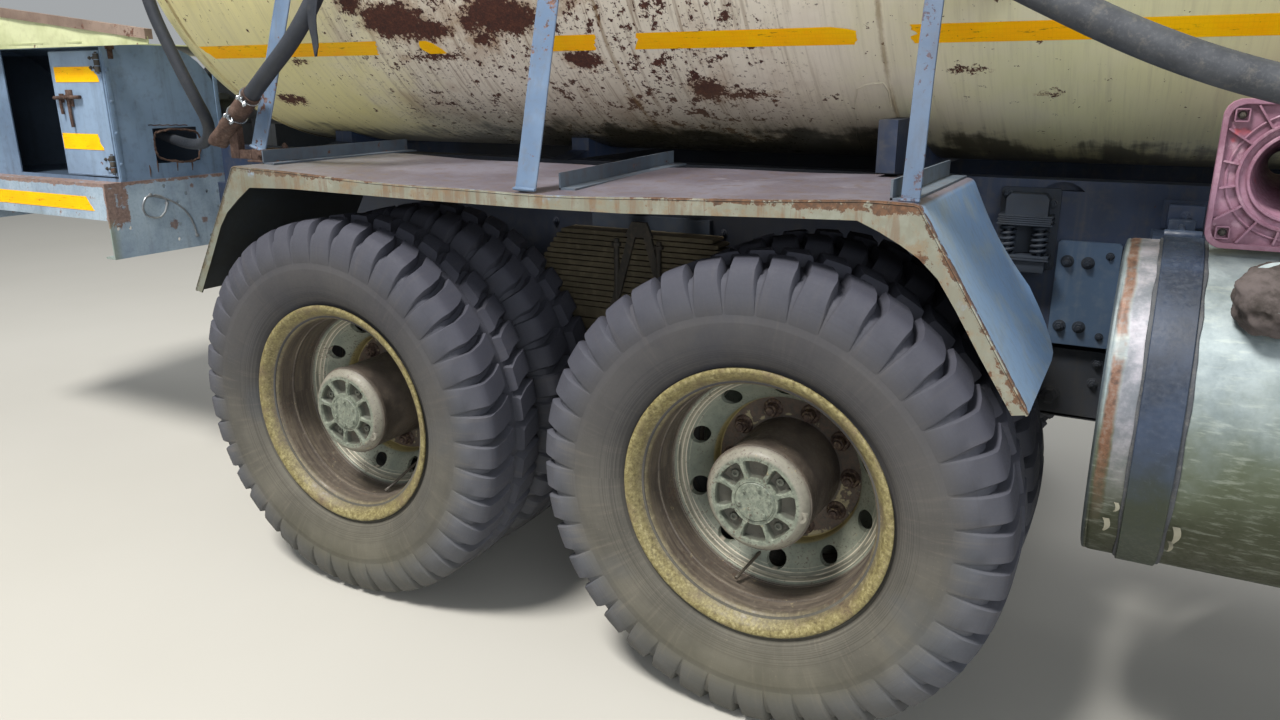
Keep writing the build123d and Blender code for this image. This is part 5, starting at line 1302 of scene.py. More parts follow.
for s, word in SIDES:
    b = Build()
    # angle bars across the top
    for x in (-2.130, -1.020, -0.145):
        y0, y1 = (0.475, 1.13) if x < -0.5 else (0.60, 1.20)
        for lo, hi in ((y0, y1),):
            z0, z1 = guard_top(x, lo), guard_top(x, hi)
            for (xa, xb, up) in ((x - 0.025, x + 0.025, 0.005), (x - 0.025, x - 0.020, 0.043)):
                pts = [Vector((xa, s * lo, z0)), Vector((xb, s * lo, z0)), Vector((xb, s * lo, z0 + up)), Vector((xa, s * lo, z0 + up))]
                qts = [Vector((xa, s * hi, z1)), Vector((xb, s * hi, z1)), Vector((xb, s * hi, z1 + up)), Vector((xa, s * hi, z1 + up))]
                b.raw(pts + qts, [(0, 1, 2, 3), (7, 6, 5, 4), (0, 4, 5, 1), (1, 5, 6, 2), (2, 6, 7, 3), (3, 7, 4, 0)])
    # brackets to the frame rail
    for x in (-2.040, -1.200, -0.240):
        b.box(x - 0.030, x + 0.030, s * 0.430, s * 0.640, 1.290, 1.300)
        b.box(x - 0.030, x + 0.030, s * 0.602, s * 0.610, 1.290, guard_top(x, 0.61) - 0.006)
    b.done(f"guard_bars_{word}", MAT["gbar"], "chassis")

# ================================================================ struts
for s, word in SIDES:
    b = Build()
    for k, (x0, y0, z0, x1, y1, z1) in enumerate(((-2.228, 1.080, 1.405, -1.985, 0.9515, 2.350), (-1.095, 1.212, 1.343, -1.075, 0.9515, 2.350),
                                                  (-0.140, 1.205, 1.366, -0.150, 0.9515, 2.350))):
        p, q = Vector((x0, s * y0, z0)), Vector((x1, s * y1, z1))
        d = (q - p).normalized()
        ex = (Vector((1, 0, 0)) - d * d.x).normalized()
        ey = Vector((0, s, 0)) - d * d.y * s
        ey = (ey - ex * ey.dot(ex)).normalized()
        # angle section with rounded outer corner: web outward, leg turned in
        sec = [(-0.032, 0.001), (-0.0305, 0.0030), (0.0300, 0.0030), (0.032, 0.0012), (0.032, -0.0022), (0.0305, -0.003),
               (-0.026, -0.003), (-0.0265, -0.043), (-0.0290, -0.045), (-0.032, -0.044)]
        if k == 2:
            sec = [(0.032 - (0.032 - a_) * 0.62, c_) for a_, c_ in sec]
        rings = []
        L = (q - p).length
        for t in [i / 12 for i in range(13)]:
            wob = 0.0015 * sin(9 * t + k)
            rings.append([p + d * (L * t) + ex * (a_ + wob) + ey * c_ for a_, c_ in sec])
        vs = [v for r in rings for v in r]
        m = len(sec)
        fs = [(i * m + j, i * m + (j + 1) % m, (i + 1) * m + (j + 1) % m, (i + 1) * m + j) for i in range(12) for j in range(m)]
        fs += [tuple(reversed(range(m))), tuple(12 * m + j for j in range(m))]
        b.raw(vs, fs)
        # weld fillet round the foot
        foot = [p + ex * (-0.033 if k < 2 else -0.009) + ey * 0.004, p + ex * (-0.012 if k < 2 else 0.004) + ey * 0.0055, p + ex * 0.012 + ey * 0.0050, p + ex * 0.033 + ey * 0.003]
        b.tube([f_ + Vector((0, 0, 0.001)) for f_ in foot], [0.004, 0.0055, 0.005, 0.004], 8)
        # weld pad at the head
        b.box(q.x - 0.05, q.x + 0.05, s * 0.950, s * 0.957, q.z - 0.09, q.z + 0.01)
    b.done(f"struts_{word}", MAT["strut"], "chassis", ("mudguard_struts",), angle=30)
    b = Build()
    b.box(-2.252, -2.158, s * 1.000, s * 1.090, GUARD_Z, 1.404, 0.004)
    b.box(-2.262, -2.150, s * 0.990, s * 1.100, GUARD_Z - 0.001, GUARD_Z + 0.005, 0.001)
    b.bolt((-2.236, s * 1.074, 1.404), (0, 0, 1), 0.010, 0.010)
    b.bolt((-2.176, s * 1.020, 1.404), (0, 0, 1), 0.010, 0.010)
    b.bolt((-2.205, s * 1.0905, 1.386), (0, s, 0), 0.009, 0.008)
    b.done(f"strut_block_{word}", MAT["rust"], "chassis")

# ================================================================ hoses on their real routes
def hose_curve(name, pts, r):
    c = bpy.data.curves.new(name, "CURVE")
    c.dimensions = "3D"
    sp = c.splines.new("NURBS")
    sp.points.add(len(pts) - 1)
    for i, p in enumerate(pts):
        sp.points[i].co = (*p, 1.0)
    sp.order_u = 3
    sp.use_endpoint_u = True
    sp.resolution_u = 10
    c.bevel_depth = r
    c.bevel_resolution = 7
    c.use_fill_caps = True
    o = bpy.data.objects.new(name, c)
    SC.collection.objects.link(o)
    c.materials.append(MAT["hose"].m)
    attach(o, "chassis")
    return o


HOSE_A = ((-0.050, -1.085, 1.832), (0.093, -1.108, 1.757), (0.290, -1.110, 1.662), (0.490, -1.110, 1.594),
          (0.800, -1.105, 1.530), (1.150, -1.095, 1.535), (1.420, -1.060, 1.640), (1.600, -1.000, 1.830))
HOSE_B = ((-1.800, -1.003, 2.230), (-1.830, -1.030, 2.040), (-1.888, -1.095, 1.850), (-1.975, -1.125, 1.725), (-2.096, -1.130, 1.632),
          (-2.213, -1.112, 1.556))
HOSE_C = ((-2.800, -1.002, 2.260), (-2.790, -1.015, 2.060), (-2.761, -1.022, 1.877), (-2.722, -0.990, 1.720), (-2.680, -0.950, 1.560),
          (-2.697, -0.890, 1.464), (-2.826, -0.810, 1.396), (-3.039, -0.710, 1.374), (-3.290, -0.608, 1.378), (-3.500, -0.540, 1.400))
ha = hose_curve("hose_front", HOSE_A, 0.034)
hb = hose_curve("hose_middle", HOSE_B, 0.025)
hc = hose_curve("hose_rear", HOSE_C, 0.021)
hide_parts("hoses")

# pipe at the end of the middle hose, and clamps on the barrel's flank
b = Build()
p0, p1 = Vector((-2.2135, -1.1118, 1.5555)), Vector((-2.421, -1.080, 1.421))
d = (p1 - p0).normalized()
prof = [(0.0460, -0.035), (0.0505, -0.033), (0.0515, -0.020), (0.0510, 0.020), (0.0530, 0.024), (0.0535, 0.060), (0.0515, 0.066), (0.0510, 0.100),
        (0.0495, 0.108), (0.0500, 0.150), (0.0470, 0.170), (0.0485, 0.200), (0.0515, 0.222), (0.0520, 0.240), (0.0470, 0.2465), (0.0430, 0.240),
        (0.0410, 0.200)]
n = 40
rnd = random.Random(4)
uu, ww = ortho(d)
vs, fs = [], []
for j, (r, h) in enumerate(prof):
    for i in range(n):
        a_ = 2 * pi * i / n
        k = 0.0
        if h > 0.105:
            k = 0.0035 * sin(3 * a_ + 20 * h) + rnd.uniform(-0.0012, 0.0012)
        vs.append(p0 + d * (h + (0.006 * sin(2 * a_ + 1) if h > 0.2 else 0)) + (uu * cos(a_) + ww * sin(a_)) * (r * 0.575 + k * 0.7 - (0.0005 if j == 0 else 0)))
for j in range(len(prof) - 1):
    for i in range(n):
        k = (i + 1) % n
        fs.append((j * n + i, j * n + k, (j + 1) * n + k, (j + 1) * n + i))
fs.append(tuple((len(prof) - 1) * n + i for i in range(n)))
b.raw(vs, fs)
b.box(-2.350, -2.310, -1.090, -1.064, 1.372, 1.475, 0.002)
b.box(-2.350, -2.2545, -1.0885, -1.064, 1.372, 1.4005, 0.002)
b.done("pipe_end", MAT["rust"], "chassis", ("hose_fittings",), angle=38)
b = Build()
for h in (-0.020, 0.082):
    c0 = p0 + d * h
    ring = [c0 + (uu * cos(2 * pi * i / 48) + ww * sin(2 * pi * i / 48)) * 0.0305 for i in range(48)]
    b.tube(ring, 0.0035, 8, closed=True, flat=0.5)
    side = (Vector((0.75, -0.45, 0.35)) - d * Vector((0.75, -0.45, 0.35)).dot(d)).normalized()
    t = d.cross(side)
    lug = c0 + side * 0.038
    b.rod(lug - t * 0.018, lug + t * 0.018, 0.0045, 12, 0.001)
    b.hexnut(lug + t * 0.010, t, 0.0085, 0.008)
    b.hexnut(lug - t * 0.017, t, 0.0085, 0.008)
    for e in (-1, 1):
        c1 = lug + t * 0.007 * e
        b.rod(c1 - side * 0.006 - t * 0.002, c1 - side * 0.006 + t * 0.002, 0.009, 14, 0.001)
b.done("pipe_clamps", MAT["chrome"], "chassis")
b = Build()
for x, y, z, hr in ((-0.024, -1.088, 1.818, 0.034), (1.590, -1.003, 1.820, 0.034), (-1.803, -1.006, 2.205, 0.025), (-2.799, -1.004, 2.235, 0.021)):
    dy = -sqrt(TANK_R ** 2 - (TANK_Z - z) ** 2)
    ax = (1, 0, 0.0) if abs(x) < 1.7 and z < 2.0 else (0.0, 0.0, 1.0)
    ring = []
    for i in range(40):
        a_ = 2 * pi * i / 40
        ring.append((x + (0.0 if ax[0] else (hr + 0.004) * sin(a_)), y + (hr + 0.004) * cos(a_), z + ((hr + 0.004) * sin(a_) if ax[0] else 0.0)))
    b.tube(ring, 0.008, 8, closed=True, flat=0.35)
    b.box(x - 0.020, x + 0.020, y + hr + 0.001, dy + 0.004, z - 0.030, z + 0.030, 0.002)
    b.bolt((x + 0.0205, y + hr + 0.016, z), (1, 0, 0), 0.007, 0.007)
b.done("hose_clamps", MAT["iron"], "chassis")
# bracket and hanging end by the middle hose's upper clamp
b = Build()
rows = []
for k in range(9):
    f = k / 8
    w_ = 0.0215 * (1 - 0.55 * f ** 1.5) if k < 8 else 0.003
    x_ = -1.868 - 0.020 * f + 0.003 * sin(9 * f)
    y_ = -1.127 - 0.004 * sin(5 * f)
    rows.append([(x_ - w_, y_, 1.872 - 0.190 * f), (x_ - 0.3 * w_, y_ - 0.004 * sin(6 * f + 1), 1.872 - 0.192 * f), (x_ + 0.3 * w_, y_ + 0.003, 1.872 - 0.191 * f), (x_ + w_, y_ - 0.002, 1.872 - 0.188 * f)])
vs = [p for r_ in rows for p in r_] + [(p[0], p[1] + 0.003, p[2]) for r_ in rows for p in r_]
o_ = 36
fs = [(q * 4 + i, q * 4 + i + 1, q * 4 + i + 5, q * 4 + i + 4) for q in range(8) for i in range(3)]
fs += [(o_ + q * 4 + i, o_ + q * 4 + i + 4, o_ + q * 4 + i + 5, o_ + q * 4 + i + 1) for q in range(8) for i in range(3)]
fs += [(i, o_ + i, o_ + i + 1, i + 1) for i in range(3)] + [(32 + i, 33 + i, o_ + 33 + i, o_ + 32 + i) for i in range(3)]
fs += [(q * 4, q * 4 + 4, o_ + q * 4 + 4, o_ + q * 4) for q in range(8)] + [(q * 4 + 3, o_ + q * 4 + 3, o_ + q * 4 + 7, q * 4 + 7) for q in range(8)]
b.raw(vs, fs)
b.done("hanging_strip", MAT["hose"], "chassis")
b = Build()
b.prism([(-1.772, -1.049, 2.000), (-1.742, -1.049, 2.020), (-1.742, -0.870, 2.020), (-1.772, -0.870, 2.000)], (0, 0, 0.006))
b.done("hose_bracket", MAT["frame"], "chassis")


# ================================================================ springs over the tandem bogie
for s, word in SIDES:
    b = Build()
    leaves = ((0.690, 0.762, 0.798), (0.640, 0.802, 0.838), (0.560, 0.842, 0.878), (0.500, 0.882, 0.898), (0.470, 0.902, 0.918), (0.445, 0.922, 0.938),
              (0.425, 0.942, 0.957), (0.405, 0.961, 0.976), (0.390, 0.980, 0.995), (0.375, 0.999, 1.014), (0.362, 1.018, 1.033), (0.350, 1.037, 1.051),
              (0.338, 1.055, 1.069), (0.325, 1.073, 1.087), (0.312, 1.091, 1.105), (0.298, 1.109, 1.122), (0.280, 1.126, 1.1385))
    for k, (h, z0, z1) in enumerate(leaves):
        y0, y1 = (0.4725, 0.5615) if k % 2 else (0.474, 0.560)
        e = 0.004
        pts = [(BOGIE_X + h, z0 + e), (BOGIE_X + h, z1 - e), (BOGIE_X + h - e, z1), (BOGIE_X - h + e, z1), (BOGIE_X - h, z1 - e), (BOGIE_X - h, z0 + e),
               (BOGIE_X - h + e, z0), (BOGIE_X + h - e, z0)]
        b.prism([(x, s * y0, z) for x, z in pts], (0, s * (y1 - y0), 0))
        if k:
            for sx in (-1, 1):
                b.box(BOGIE_X + sx * 0.10 - 0.02, BOGIE_X + sx * 0.10 + 0.02, s * 0.49, s * 0.545, z0 - 0.006, z0 + 0.002)
    b.done(f"bogie_leaves_{word}", MAT["leaf"], "chassis", ("bogie_springs",), angle=30)
    b = Build()
    # A-shaped clamp in front of the stack, with its bolts
    for (xa, za), (xb, zb), w in (((-1.215, 0.880), (-1.137, 1.150), 0.026), ((-1.047, 0.998), (-1.090, 1.150), 0.026)):
        d = Vector((xb - xa, 0, zb - za)).normalized()
        n_ = Vector((d.z, 0, -d.x)) * w / 2
        b.prism([Vector((xa, s * 0.5625, za)) - n_, Vector((xa, s * 0.5625, za)) + n_, Vector((xb, s * 0.5625, zb)) + n_, Vector((xb, s * 0.5625, zb)) - n_],
                (0, s * 0.010, 0))
    b.prism([(-1.165, s * 0.5625, 1.130), (-1.065, s * 0.5625, 1.130), (-1.088, s * 0.5625, 1.178), (-1.140, s * 0.5625, 1.178)], (0, s * 0.012, 0))
    for x in (-1.200, -1.045):
        b.rod((x, s * 0.568, 0.690), (x, s * 0.568, 1.120), 0.009, 12, 0.001)
        for zz in (0.700, 0.716, 1.096):
            b.hexnut((x, s * 0.568, zz), (0, 0, 1), 0.016, 0.012)
    b.done(f"bogie_clamps_{word}", MAT["iron"], "chassis")

# ================================================================ spring mounts between frame and barrel carrier
for s, word in SIDES:
    b = Build()
    # gusset plate, rounded corners
    g = [(0.107, 0.915), (0.113, 0.909), (0.256, 0.909), (0.262, 0.915), (0.262, 1.188), (0.256, 1.194), (0.113, 1.194), (0.107, 1.188)]
    b.prism([(x, s * 0.4301, z) for x, z in g], (0, s * 0.012, 0))
    b.done(f"gusset_{word}", MAT["frame_light"], "chassis", ("subframe_mounts",))
    b = Build()
    g = [(-0.050, 1.115), (-0.045, 1.110), (0.095, 1.110), (0.100, 1.115), (0.100, 1.325), (0.095, 1.330), (-0.045, 1.330), (-0.050, 1.325)]
    b.prism([(x, s * 0.4301, z) for x, z in g], (0, s * 0.010, 0))
    for z0, z1, x0, x1 in ((1.142, 1.1475, -0.048, 0.092), (1.1485, 1.154, -0.046, 0.090), (1.236, 1.2405, -0.048, 0.092), (1.2415, 1.2462, -0.044, 0.088),
                           (1.2472, 1.252, -0.047, 0.091), (1.253, 1.2575, -0.043, 0.089), (1.2585, 1.262, -0.046, 0.090)):
        b.box(x0, x1, s * 0.440, s * 0.508, z0, z1, 0.0008)
    b.prism([(-0.030, s * 0.440, 1.262), (0.076, s * 0.440, 1.262), (0.076, s * 0.440, 1.306), (0.066, s * 0.440, 1.318), (-0.020, s * 0.440, 1.318), (-0.030, s * 0.440, 1.306)],
            (0, s * 0.056, 0))
    b.box(-0.036, 0.082, s * 0.440, s * 0.500, 1.110, 1.1425, 0.002)
    b.done(f"spring_mount_{word}", MAT["spring"], "chassis")
    b = Build()
    for x in (-0.020, 0.062):
        b.rod((x, s * 0.475, 1.140), (x, s * 0.475, 1.256), 0.008, 12)
        turns = 5.2
        b.tube([(x + 0.0185 * cos(2 * pi * turns * i / 90), s * 0.475 + 0.0185 * sin(2 * pi * turns * i / 90), 1.1555 + 0.079 * i / 90) for i in range(91)],
               0.0045, 8)
        b.hexnut((x, s * 0.475, 1.262), (0, 0, 1), 0.014, 0.010)
        b.rod((x, s * 0.475, 1.262), (x, s * 0.475, 1.280), 0.0075, 12, 0.001)
        b.hexnut((x, s * 0.475, 1.130), (0, 0, 1), 0.0145, 0.012)
    for x, z in ((0.134, 1.139), (0.185, 1.138), (0.134, 0.960), (0.183, 0.961)):
        b.bolt((x, s * 0.4421, z), (0, s, 0), 0.0125, 0.011)
    for x, z in ((0.236, 1.160), (0.236, 0.940)):
        b.bolt((x, s * 0.4421, z), (0, s, 0), 0.008, 0.006)
    for x, z in ((-0.036, 1.312), (0.082, 1.290), (-0.036, 1.124), (0.082, 1.124)):
        b.bolt((x, s * 0.4401, z), (0, s, 0), 0.010, 0.009)
    b.done(f"mount_springs_{word}", MAT["spring"], "chassis")

# bolts along the frame rails and carrier
b = Build()
rnd = random.Random(12)
for s, _w in SIDES:
    for x in [-4.0 + 0.31 * k for k in range(26)]:
        if -0.08 < x < 0.30:
            continue
        for z in (0.955, 1.140):
            if rnd.random() < 0.75:
                b.bolt((x + rnd.uniform(-0.03, 0.03), s * (RAIL_Y / 1000 if RAIL_Y > 10 else RAIL_Y), z), (0, s, 0), 0.010, 0.008)
b.done("rail_bolts", MAT["frame"], "chassis")

# ================================================================ fuel tank: straps, liner, end bead, rag
FTY, FTZ, FTR = -0.820, 0.898, 0.366


def ft(x, r, t):
    """Point round the fuel tank; t runs from the top over the outer side."""
    return Vector((x, FTY - r * sin(t), FTZ + r * cos(t)))


def hoop(b, x0, x1, r0, r1, n=96, jag=0.0, seed=1, e=0.0015):
    rnd = random.Random(seed)
    wob = [(rnd.uniform(-jag, jag), rnd.uniform(-jag, jag)) for _ in range(n)]
    if jag:
        wob = [tuple(0.25 * wob[i - 1][k] + 0.5 * wob[i][k] + 0.25 * wob[(i + 1) % n][k] for k in (0, 1)) for i in range(n)]
    vs = []
    for i in range(n):
        t = 2 * pi * i / n
        a_, c_ = x0 + wob[i][0], x1 + wob[i][1]
        for x, r in ((a_, r0), (a_, r1 - e), (a_ + e, r1), (c_ - e, r1), (c_, r1 - e), (c_, r0)):
            vs.append(ft(x, r, t))
    m = 6
    fs = [(i * m + j, i * m + (j + 1) % m, ((i + 1) % n) * m + (j + 1) % m, ((i + 1) % n) * m + j) for i in range(n) for j in range(m)]
    b.raw(vs, fs)


b = Build()
hoop(b, 0.340, 0.433, FTR - 0.001, FTR + 0.0040, jag=0.0035, seed=2)
hoop(b, 1.284, 1.377, FTR - 0.001, FTR + 0.0040, jag=0.0035, seed=3)
b.done("strap_liners", MAT["hose"], "chassis")
b = Build()
for xc in (0.386, 1.330):
    hoop(b, xc - 0.039, xc + 0.039, FTR + 0.0030, FTR + 0.0095)
    # saddle webs between tank and frame
    for sx in (-0.055, 0.046):
        arc = [ft(0, FTR + 0.001, t) for t in [2 * pi - radians(a) for a in (22, 30, 40, 50, 60, 70, 80, 88)]]
        out = [(xc + sx, p.y, p.z) for p in arc if p.y < -0.4305]
        poly = [(xc + sx, -0.4305, 1.235)] + [(xc + sx, -0.655, 1.235)] + out + [(xc + sx, -0.4305, out[-1][2])]
        b.prism(poly, (0.009, 0, 0))
    b.box(xc - 0.065, xc + 0.065, -0.438, -0.4302, 0.940, 1.238, 0.001)
    b.box(xc - 0.060, xc + 0.060, -0.650, -0.438, 1.226, 1.238, 0.001)
    # strap end: folded eye, tension bolt, anchor block
    b.rod((xc - 0.039, -0.700, 1.262), (xc + 0.039, -0.700, 1.262), 0.013, 18, 0.002)
    b.box(xc - 0.030, xc + 0.030, -0.520, -0.490, 1.238, 1.275, 0.003)
    b.rod((xc, -0.705, 1.262), (xc, -0.478, 1.258), 0.0075, 12, 0.001)
    b.hexnut((xc, -0.490, 1.2585), (0, 1, 0), 0.015, 0.012)
    b.box(xc - 0.030, xc - 0.008, -0.700, -0.660, 1.240, 1.268, 0.002)
    b.box(xc + 0.008, xc + 0.030, -0.700, -0.660, 1.240, 1.268, 0.002)
    for dx, z in ((-0.045, 1.205), (0.045, 1.205), (-0.045, 0.965), (0.045, 0.965)):
        b.bolt((xc + dx * 0.62, -0.4381, z), (0, -1, 0), 0.010, 0.008)
b.done("tank_straps", MAT["strap"], "chassis", ("fuel_tank_straps",), angle=32)

# rolled bead at both ends, seam line, drain plug
b = Build()
for x in (0.2810, 1.4410):
    b.tube([ft(x, FTR - 0.0075, 2 * pi * i / 96) for i in range(96)], 0.0062, 8, closed=True)
b.tube([ft(0.29 + 1.14 * i / 40, FTR + 0.0002, pi + 0.5) for i in range(41)], 0.003, 6)
b.spin(((0.030, -0.004), (0.030, 0.002), (0.022, 0.003), (0.022, 0.010), (0.019, 0.012)), (0.80, FTY, FTZ - FTR), (0, 0, -1), 24, True)
b.done("fuel_tank_bead", MAT["fuel"], "chassis")
# rust-brown rag wound round the filler
rnd = random.Random(3)
b = Build()
fd = Vector((0, -0.669, 0.743)).normalized()
f0 = Vector((0.548, FTY, FTZ)) + fd * 0.376
fu, fw = ortho(fd)
b.spin(((0.046, 0.0), (0.052, 0.004), (0.052, 0.020), (0.047, 0.024)), f0, fd, 32)
b.done("filler_neck", MAT["rust"], "chassis")
b = Build()
n, m = 72, 22
vs = []
for j in range(m):
    f = j / (m - 1)
    for i in range(n):
        a_ = 2 * pi * i / n
        r = 0.0660 + 0.008 * sin(pi * f) + 0.0038 * sin(3 * a_ + 9 * f) + 0.0028 * sin(7 * a_ - 14 * f + 1) + 0.0015 * sin(13 * a_ + 25 * f)
        if f > 0.9:
            r *= 1 - (f - 0.9) * 3.6
        h = 0.004 + 0.084 * f + 0.004 * sin(2 * a_ + 0.6) * f
        vs.append(f0 + fd * h + (fu * cos(a_) + fw * sin(a_)) * r)
fs = [(j * n + i, j * n + (i + 1) % n, (j + 1) * n + (i + 1) % n, (j + 1) * n + i) for j in range(m - 1) for i in range(n)]
fs.append(tuple((m - 1) * n + i for i in range(n)))
b.raw(vs, fs)
for k, (a0, ln, wd) in enumerate(((3.6, 0.085, 0.022), (4.3, 0.070, 0.018), (2.9, 0.062, 0.018), (3.2, 0.095, 0.016), (4.0, 0.060, 0.020))):
    base = f0 + fd * 0.02 + (fu * cos(a0) + fw * sin(a0)) * 0.056
    tip = base + Vector((0.008 * (k - 2), -0.016, -ln))
    b.tube([base, base.lerp(tip, 0.35) + Vector((0, -0.008, 0)), base.lerp(tip, 0.7), tip], [wd, wd * 0.9, wd * 0.6, wd * 0.25], 8, flat=0.3)
b.done("filler_rag", MAT["rag"], "chassis", angle=70)
# small lugs high on the rails, beside the fuel tank
for s, word in SIDES:
    b = Build()
    b.box(0.352, 0.434, s * 0.430, s * 0.474, 1.250, 1.307, 0.006)
    b.box(0.340, 0.446, s * 0.430, s * 0.436, 1.242, 1.315, 0.001)
    b.bolt((0.393, s * 0.474, 1.279), (0, s, 0), 0.010, 0.008)
    b.done(f"rail_lug_{word}", MAT["frame"], "chassis")

# hanging brackets under the rails, ahead of the bogie
for s, word in SIDES:
    b = Build()
    for y0, y1 in ((0.350, 0.362), (0.402, 0.414)):
        b.prism([(-0.030, s * y0, 0.890), (0.300, s * y0, 0.890), (0.288, s * y0, 0.712), (0.262, s * y0, 0.694), (0.020, s * y0, 0.694), (-0.005, s * y0, 0.712)], (0, s * (y1 - y0), 0))
    b.box(0.000, 0.284, s * 0.350, s * 0.414, 0.690, 0.700, 0.001)
    b.box(0.276, 0.290, s * 0.352, s * 0.412, 0.712, 0.884, 0.001)
    b.rod((0.130, s * 0.345, 0.752), (0.130, s * 0.422, 0.752), 0.026, 24, 0.002)
    b.bolt((0.130, s * 0.414, 0.752), (0, s, 0), 0.022, 0.016)
    for x, z in ((0.030, 0.858), (0.240, 0.858), (0.040, 0.800), (0.235, 0.800)):
        b.bolt((x, s * 0.414, z), (0, s, 0), 0.011, 0.009)
    b.done(f"torque_bracket_{word}", MAT["spring"], "chassis")

# torn narrow flaps hanging low on the tank
b = Build()
for x, t, w_, h_ in ((0.318, radians(118), 0.007, 0.026), (0.332, radians(110), 0.005, 0.018), (0.446, radians(116), 0.008, 0.034), (0.440, radians(124), 0.005, 0.020)):
    top = ft(x, FTR + 0.0012, t)
    out = (ft(x, 2 * FTR, t) - top).normalized()
    rows = []
    for k in range(6):
        f = k / 5
        c_ = top + out * (0.003 + 0.006 * sin(2.6 * f)) + Vector((0.004 * sin(4 * f), 0, -h_ * f))
        ww = w_ * (1 - 0.75 * f * f)
        rows.append([(c_.x - ww, c_.y, c_.z + 0.002 * sin(7 * f)), (c_.x + ww * 0.8, c_.y - 0.002 * f, c_.z)])
    vs = [p for r_ in rows for p in r_] + [(p[0], p[1] + 0.0014, p[2]) for r_ in rows for p in r_]
    o_ = 12
    fs = []
    for k in range(5):
        a_, c2 = 2 * k, 2 * k + 2
        fs += [(a_, a_ + 1, c2 + 1, c2), (o_ + a_, o_ + c2, o_ + c2 + 1, o_ + a_ + 1), (a_, c2, o_ + c2, o_ + a_), (a_ + 1, o_ + a_ + 1, o_ + c2 + 1, c2 + 1)]
    fs += [(0, o_, o_ + 1, 1), (10, 11, o_ + 11, o_ + 10)]
    b.raw(vs, fs)
b.done("peeled_liner", MAT["flap"], "chassis")

# ================================================================ warning cone, open base outward
CNX, CNY, CNZ = 0.567, -0.905, 1.421
b = Build()


def sq_round(h, r, n=96):
    out = []
    for k in range(n):
        c_, s_ = cos(2 * pi * (k + 0.5) / n), sin(2 * pi * (k + 0.5) / n)
        big, small = max(abs(c_), abs(s_)), min(abs(c_), abs(s_))
        t = h / big
        if t * small > h - r:
            q = h - r
            w = q * (big + small)
            t = w + sqrt(max(0.0, w * w - (2 * q * q - r * r)))
        out.append((t * c_, t * s_))
    return out


sec = [(0.1500, 0.034, 0.013), (0.1500, 0.034, -0.012), (0.1490, 0.033, -0.014), (0.1400, 0.028, -0.014), (0.1385, 0.027, -0.012), (0.1385, 0.027, -0.002)]
rings = []
for h, r, y in sec:
    rings.append([Vector((CNX + px, CNY + y, CNZ + pz)) for px, pz in sq_round(h, r)])
m = len(rings[0])
# onward from the square floor to the round mouth, then down the hollow cone and back along its outside
ang = [atan2(p.z - CNZ, p.x - CNX) for p in rings[-1]]


def circ(r, y):
    return [Vector((CNX + r * cos(a_), CNY + y, CNZ + r * sin(a_))) for a_ in ang]


for r, y in ((0.112, -0.002), (0.1115, -0.0125), (0.1100, -0.0138), (0.1065, -0.0138), (0.1050, -0.0120), (0.1040, -0.0035), (0.0935, -0.0030), (0.0925, -0.0095), (0.0910, -0.0110), (0.0870, -0.0110), (0.0855, -0.0090), (0.0840, 0.012), (0.0800, 0.060), (0.0785, 0.062),
             (0.0780, 0.075), (0.0600, 0.200), (0.044, 0.300), (0.027, 0.388), (0.027, 0.396), (0.033, 0.3965), (0.0345, 0.392), (0.055, 0.280),
             (0.104, 0.016)):
    rings.append(circ(r, y))
rings.append([Vector((CNX + px, CNY + 0.0145, CNZ + pz)) for px, pz in sq_round(0.1485, 0.033)])
k_ = len(rings)
vs = [v for r in rings for v in r]
fs = [(j * m + i, j * m + (i + 1) % m, ((j + 1) % k_) * m + (i + 1) % m, ((j + 1) % k_) * m + i) for j in range(k_) for i in range(m)]
b.raw(vs, fs)
# ribs from ring to rim, second thin ring, corner sockets
for k in range(16):
    a_ = 2 * pi * (k + 0.5) / 16
    d = Vector((cos(a_), 0, sin(a_)))
    lim = 0.137 / max(abs(d.x), abs(d.z))
    if abs(abs(d.x) - abs(d.z)) < 0.35:
        lim = min(lim, 0.166)
    p = Vector((CNX, CNY, CNZ)) + d * 0.111
    q = Vector((CNX, CNY, CNZ)) + d * lim
    t = Vector((-d.z, 0, d.x)) * 0.0019
    b.prism([p - t + Vector((0, -0.0015, 0)), p + t + Vector((0, -0.0015, 0)), q + t + Vector((0, -0.0015, 0)), q - t + Vector((0, -0.0015, 0))], (0, -0.0122, 0))
b.tube([(CNX + 0.128 * cos(2 * pi * i / 72), CNY - 0.004, CNZ + 0.128 * sin(2 * pi * i / 72)) for i in range(72)], 0.0028, 6, closed=True)
for sx in (-1, 1):
    for sz in (-1, 1):
        x, z = CNX + sx * 0.1175, CNZ + sz * 0.1175
        o = 0.0135
        for x0, x1, z0, z1 in ((x - o, x + o, z - o, z - o + 0.003), (x - o, x + o, z + o - 0.003, z + o), (x - o, x - o + 0.003, z - o, z + o), (x + o - 0.003, x + o, z - o, z + o)):
            b.box(x0, x1, CNY - 0.0125, CNY - 0.0018, z0, z1)
b.done("cone_base", MAT["cone"], "chassis", ("warning_cone",), angle=38)
b = Build()
for sx in (-1, 1):
    for sz in (-1, 1):
        b.bolt((CNX + sx * 0.1175, CNY - 0.002, CNZ + sz * 0.1175), (0, -1, 0), 0.006, 0.006)
b.done("cone_bolts", MAT["iron"], "chassis")

# ================================================================ cabinets and deck
def plate_tape(b, pts, d):
    b.prism(pts, d)


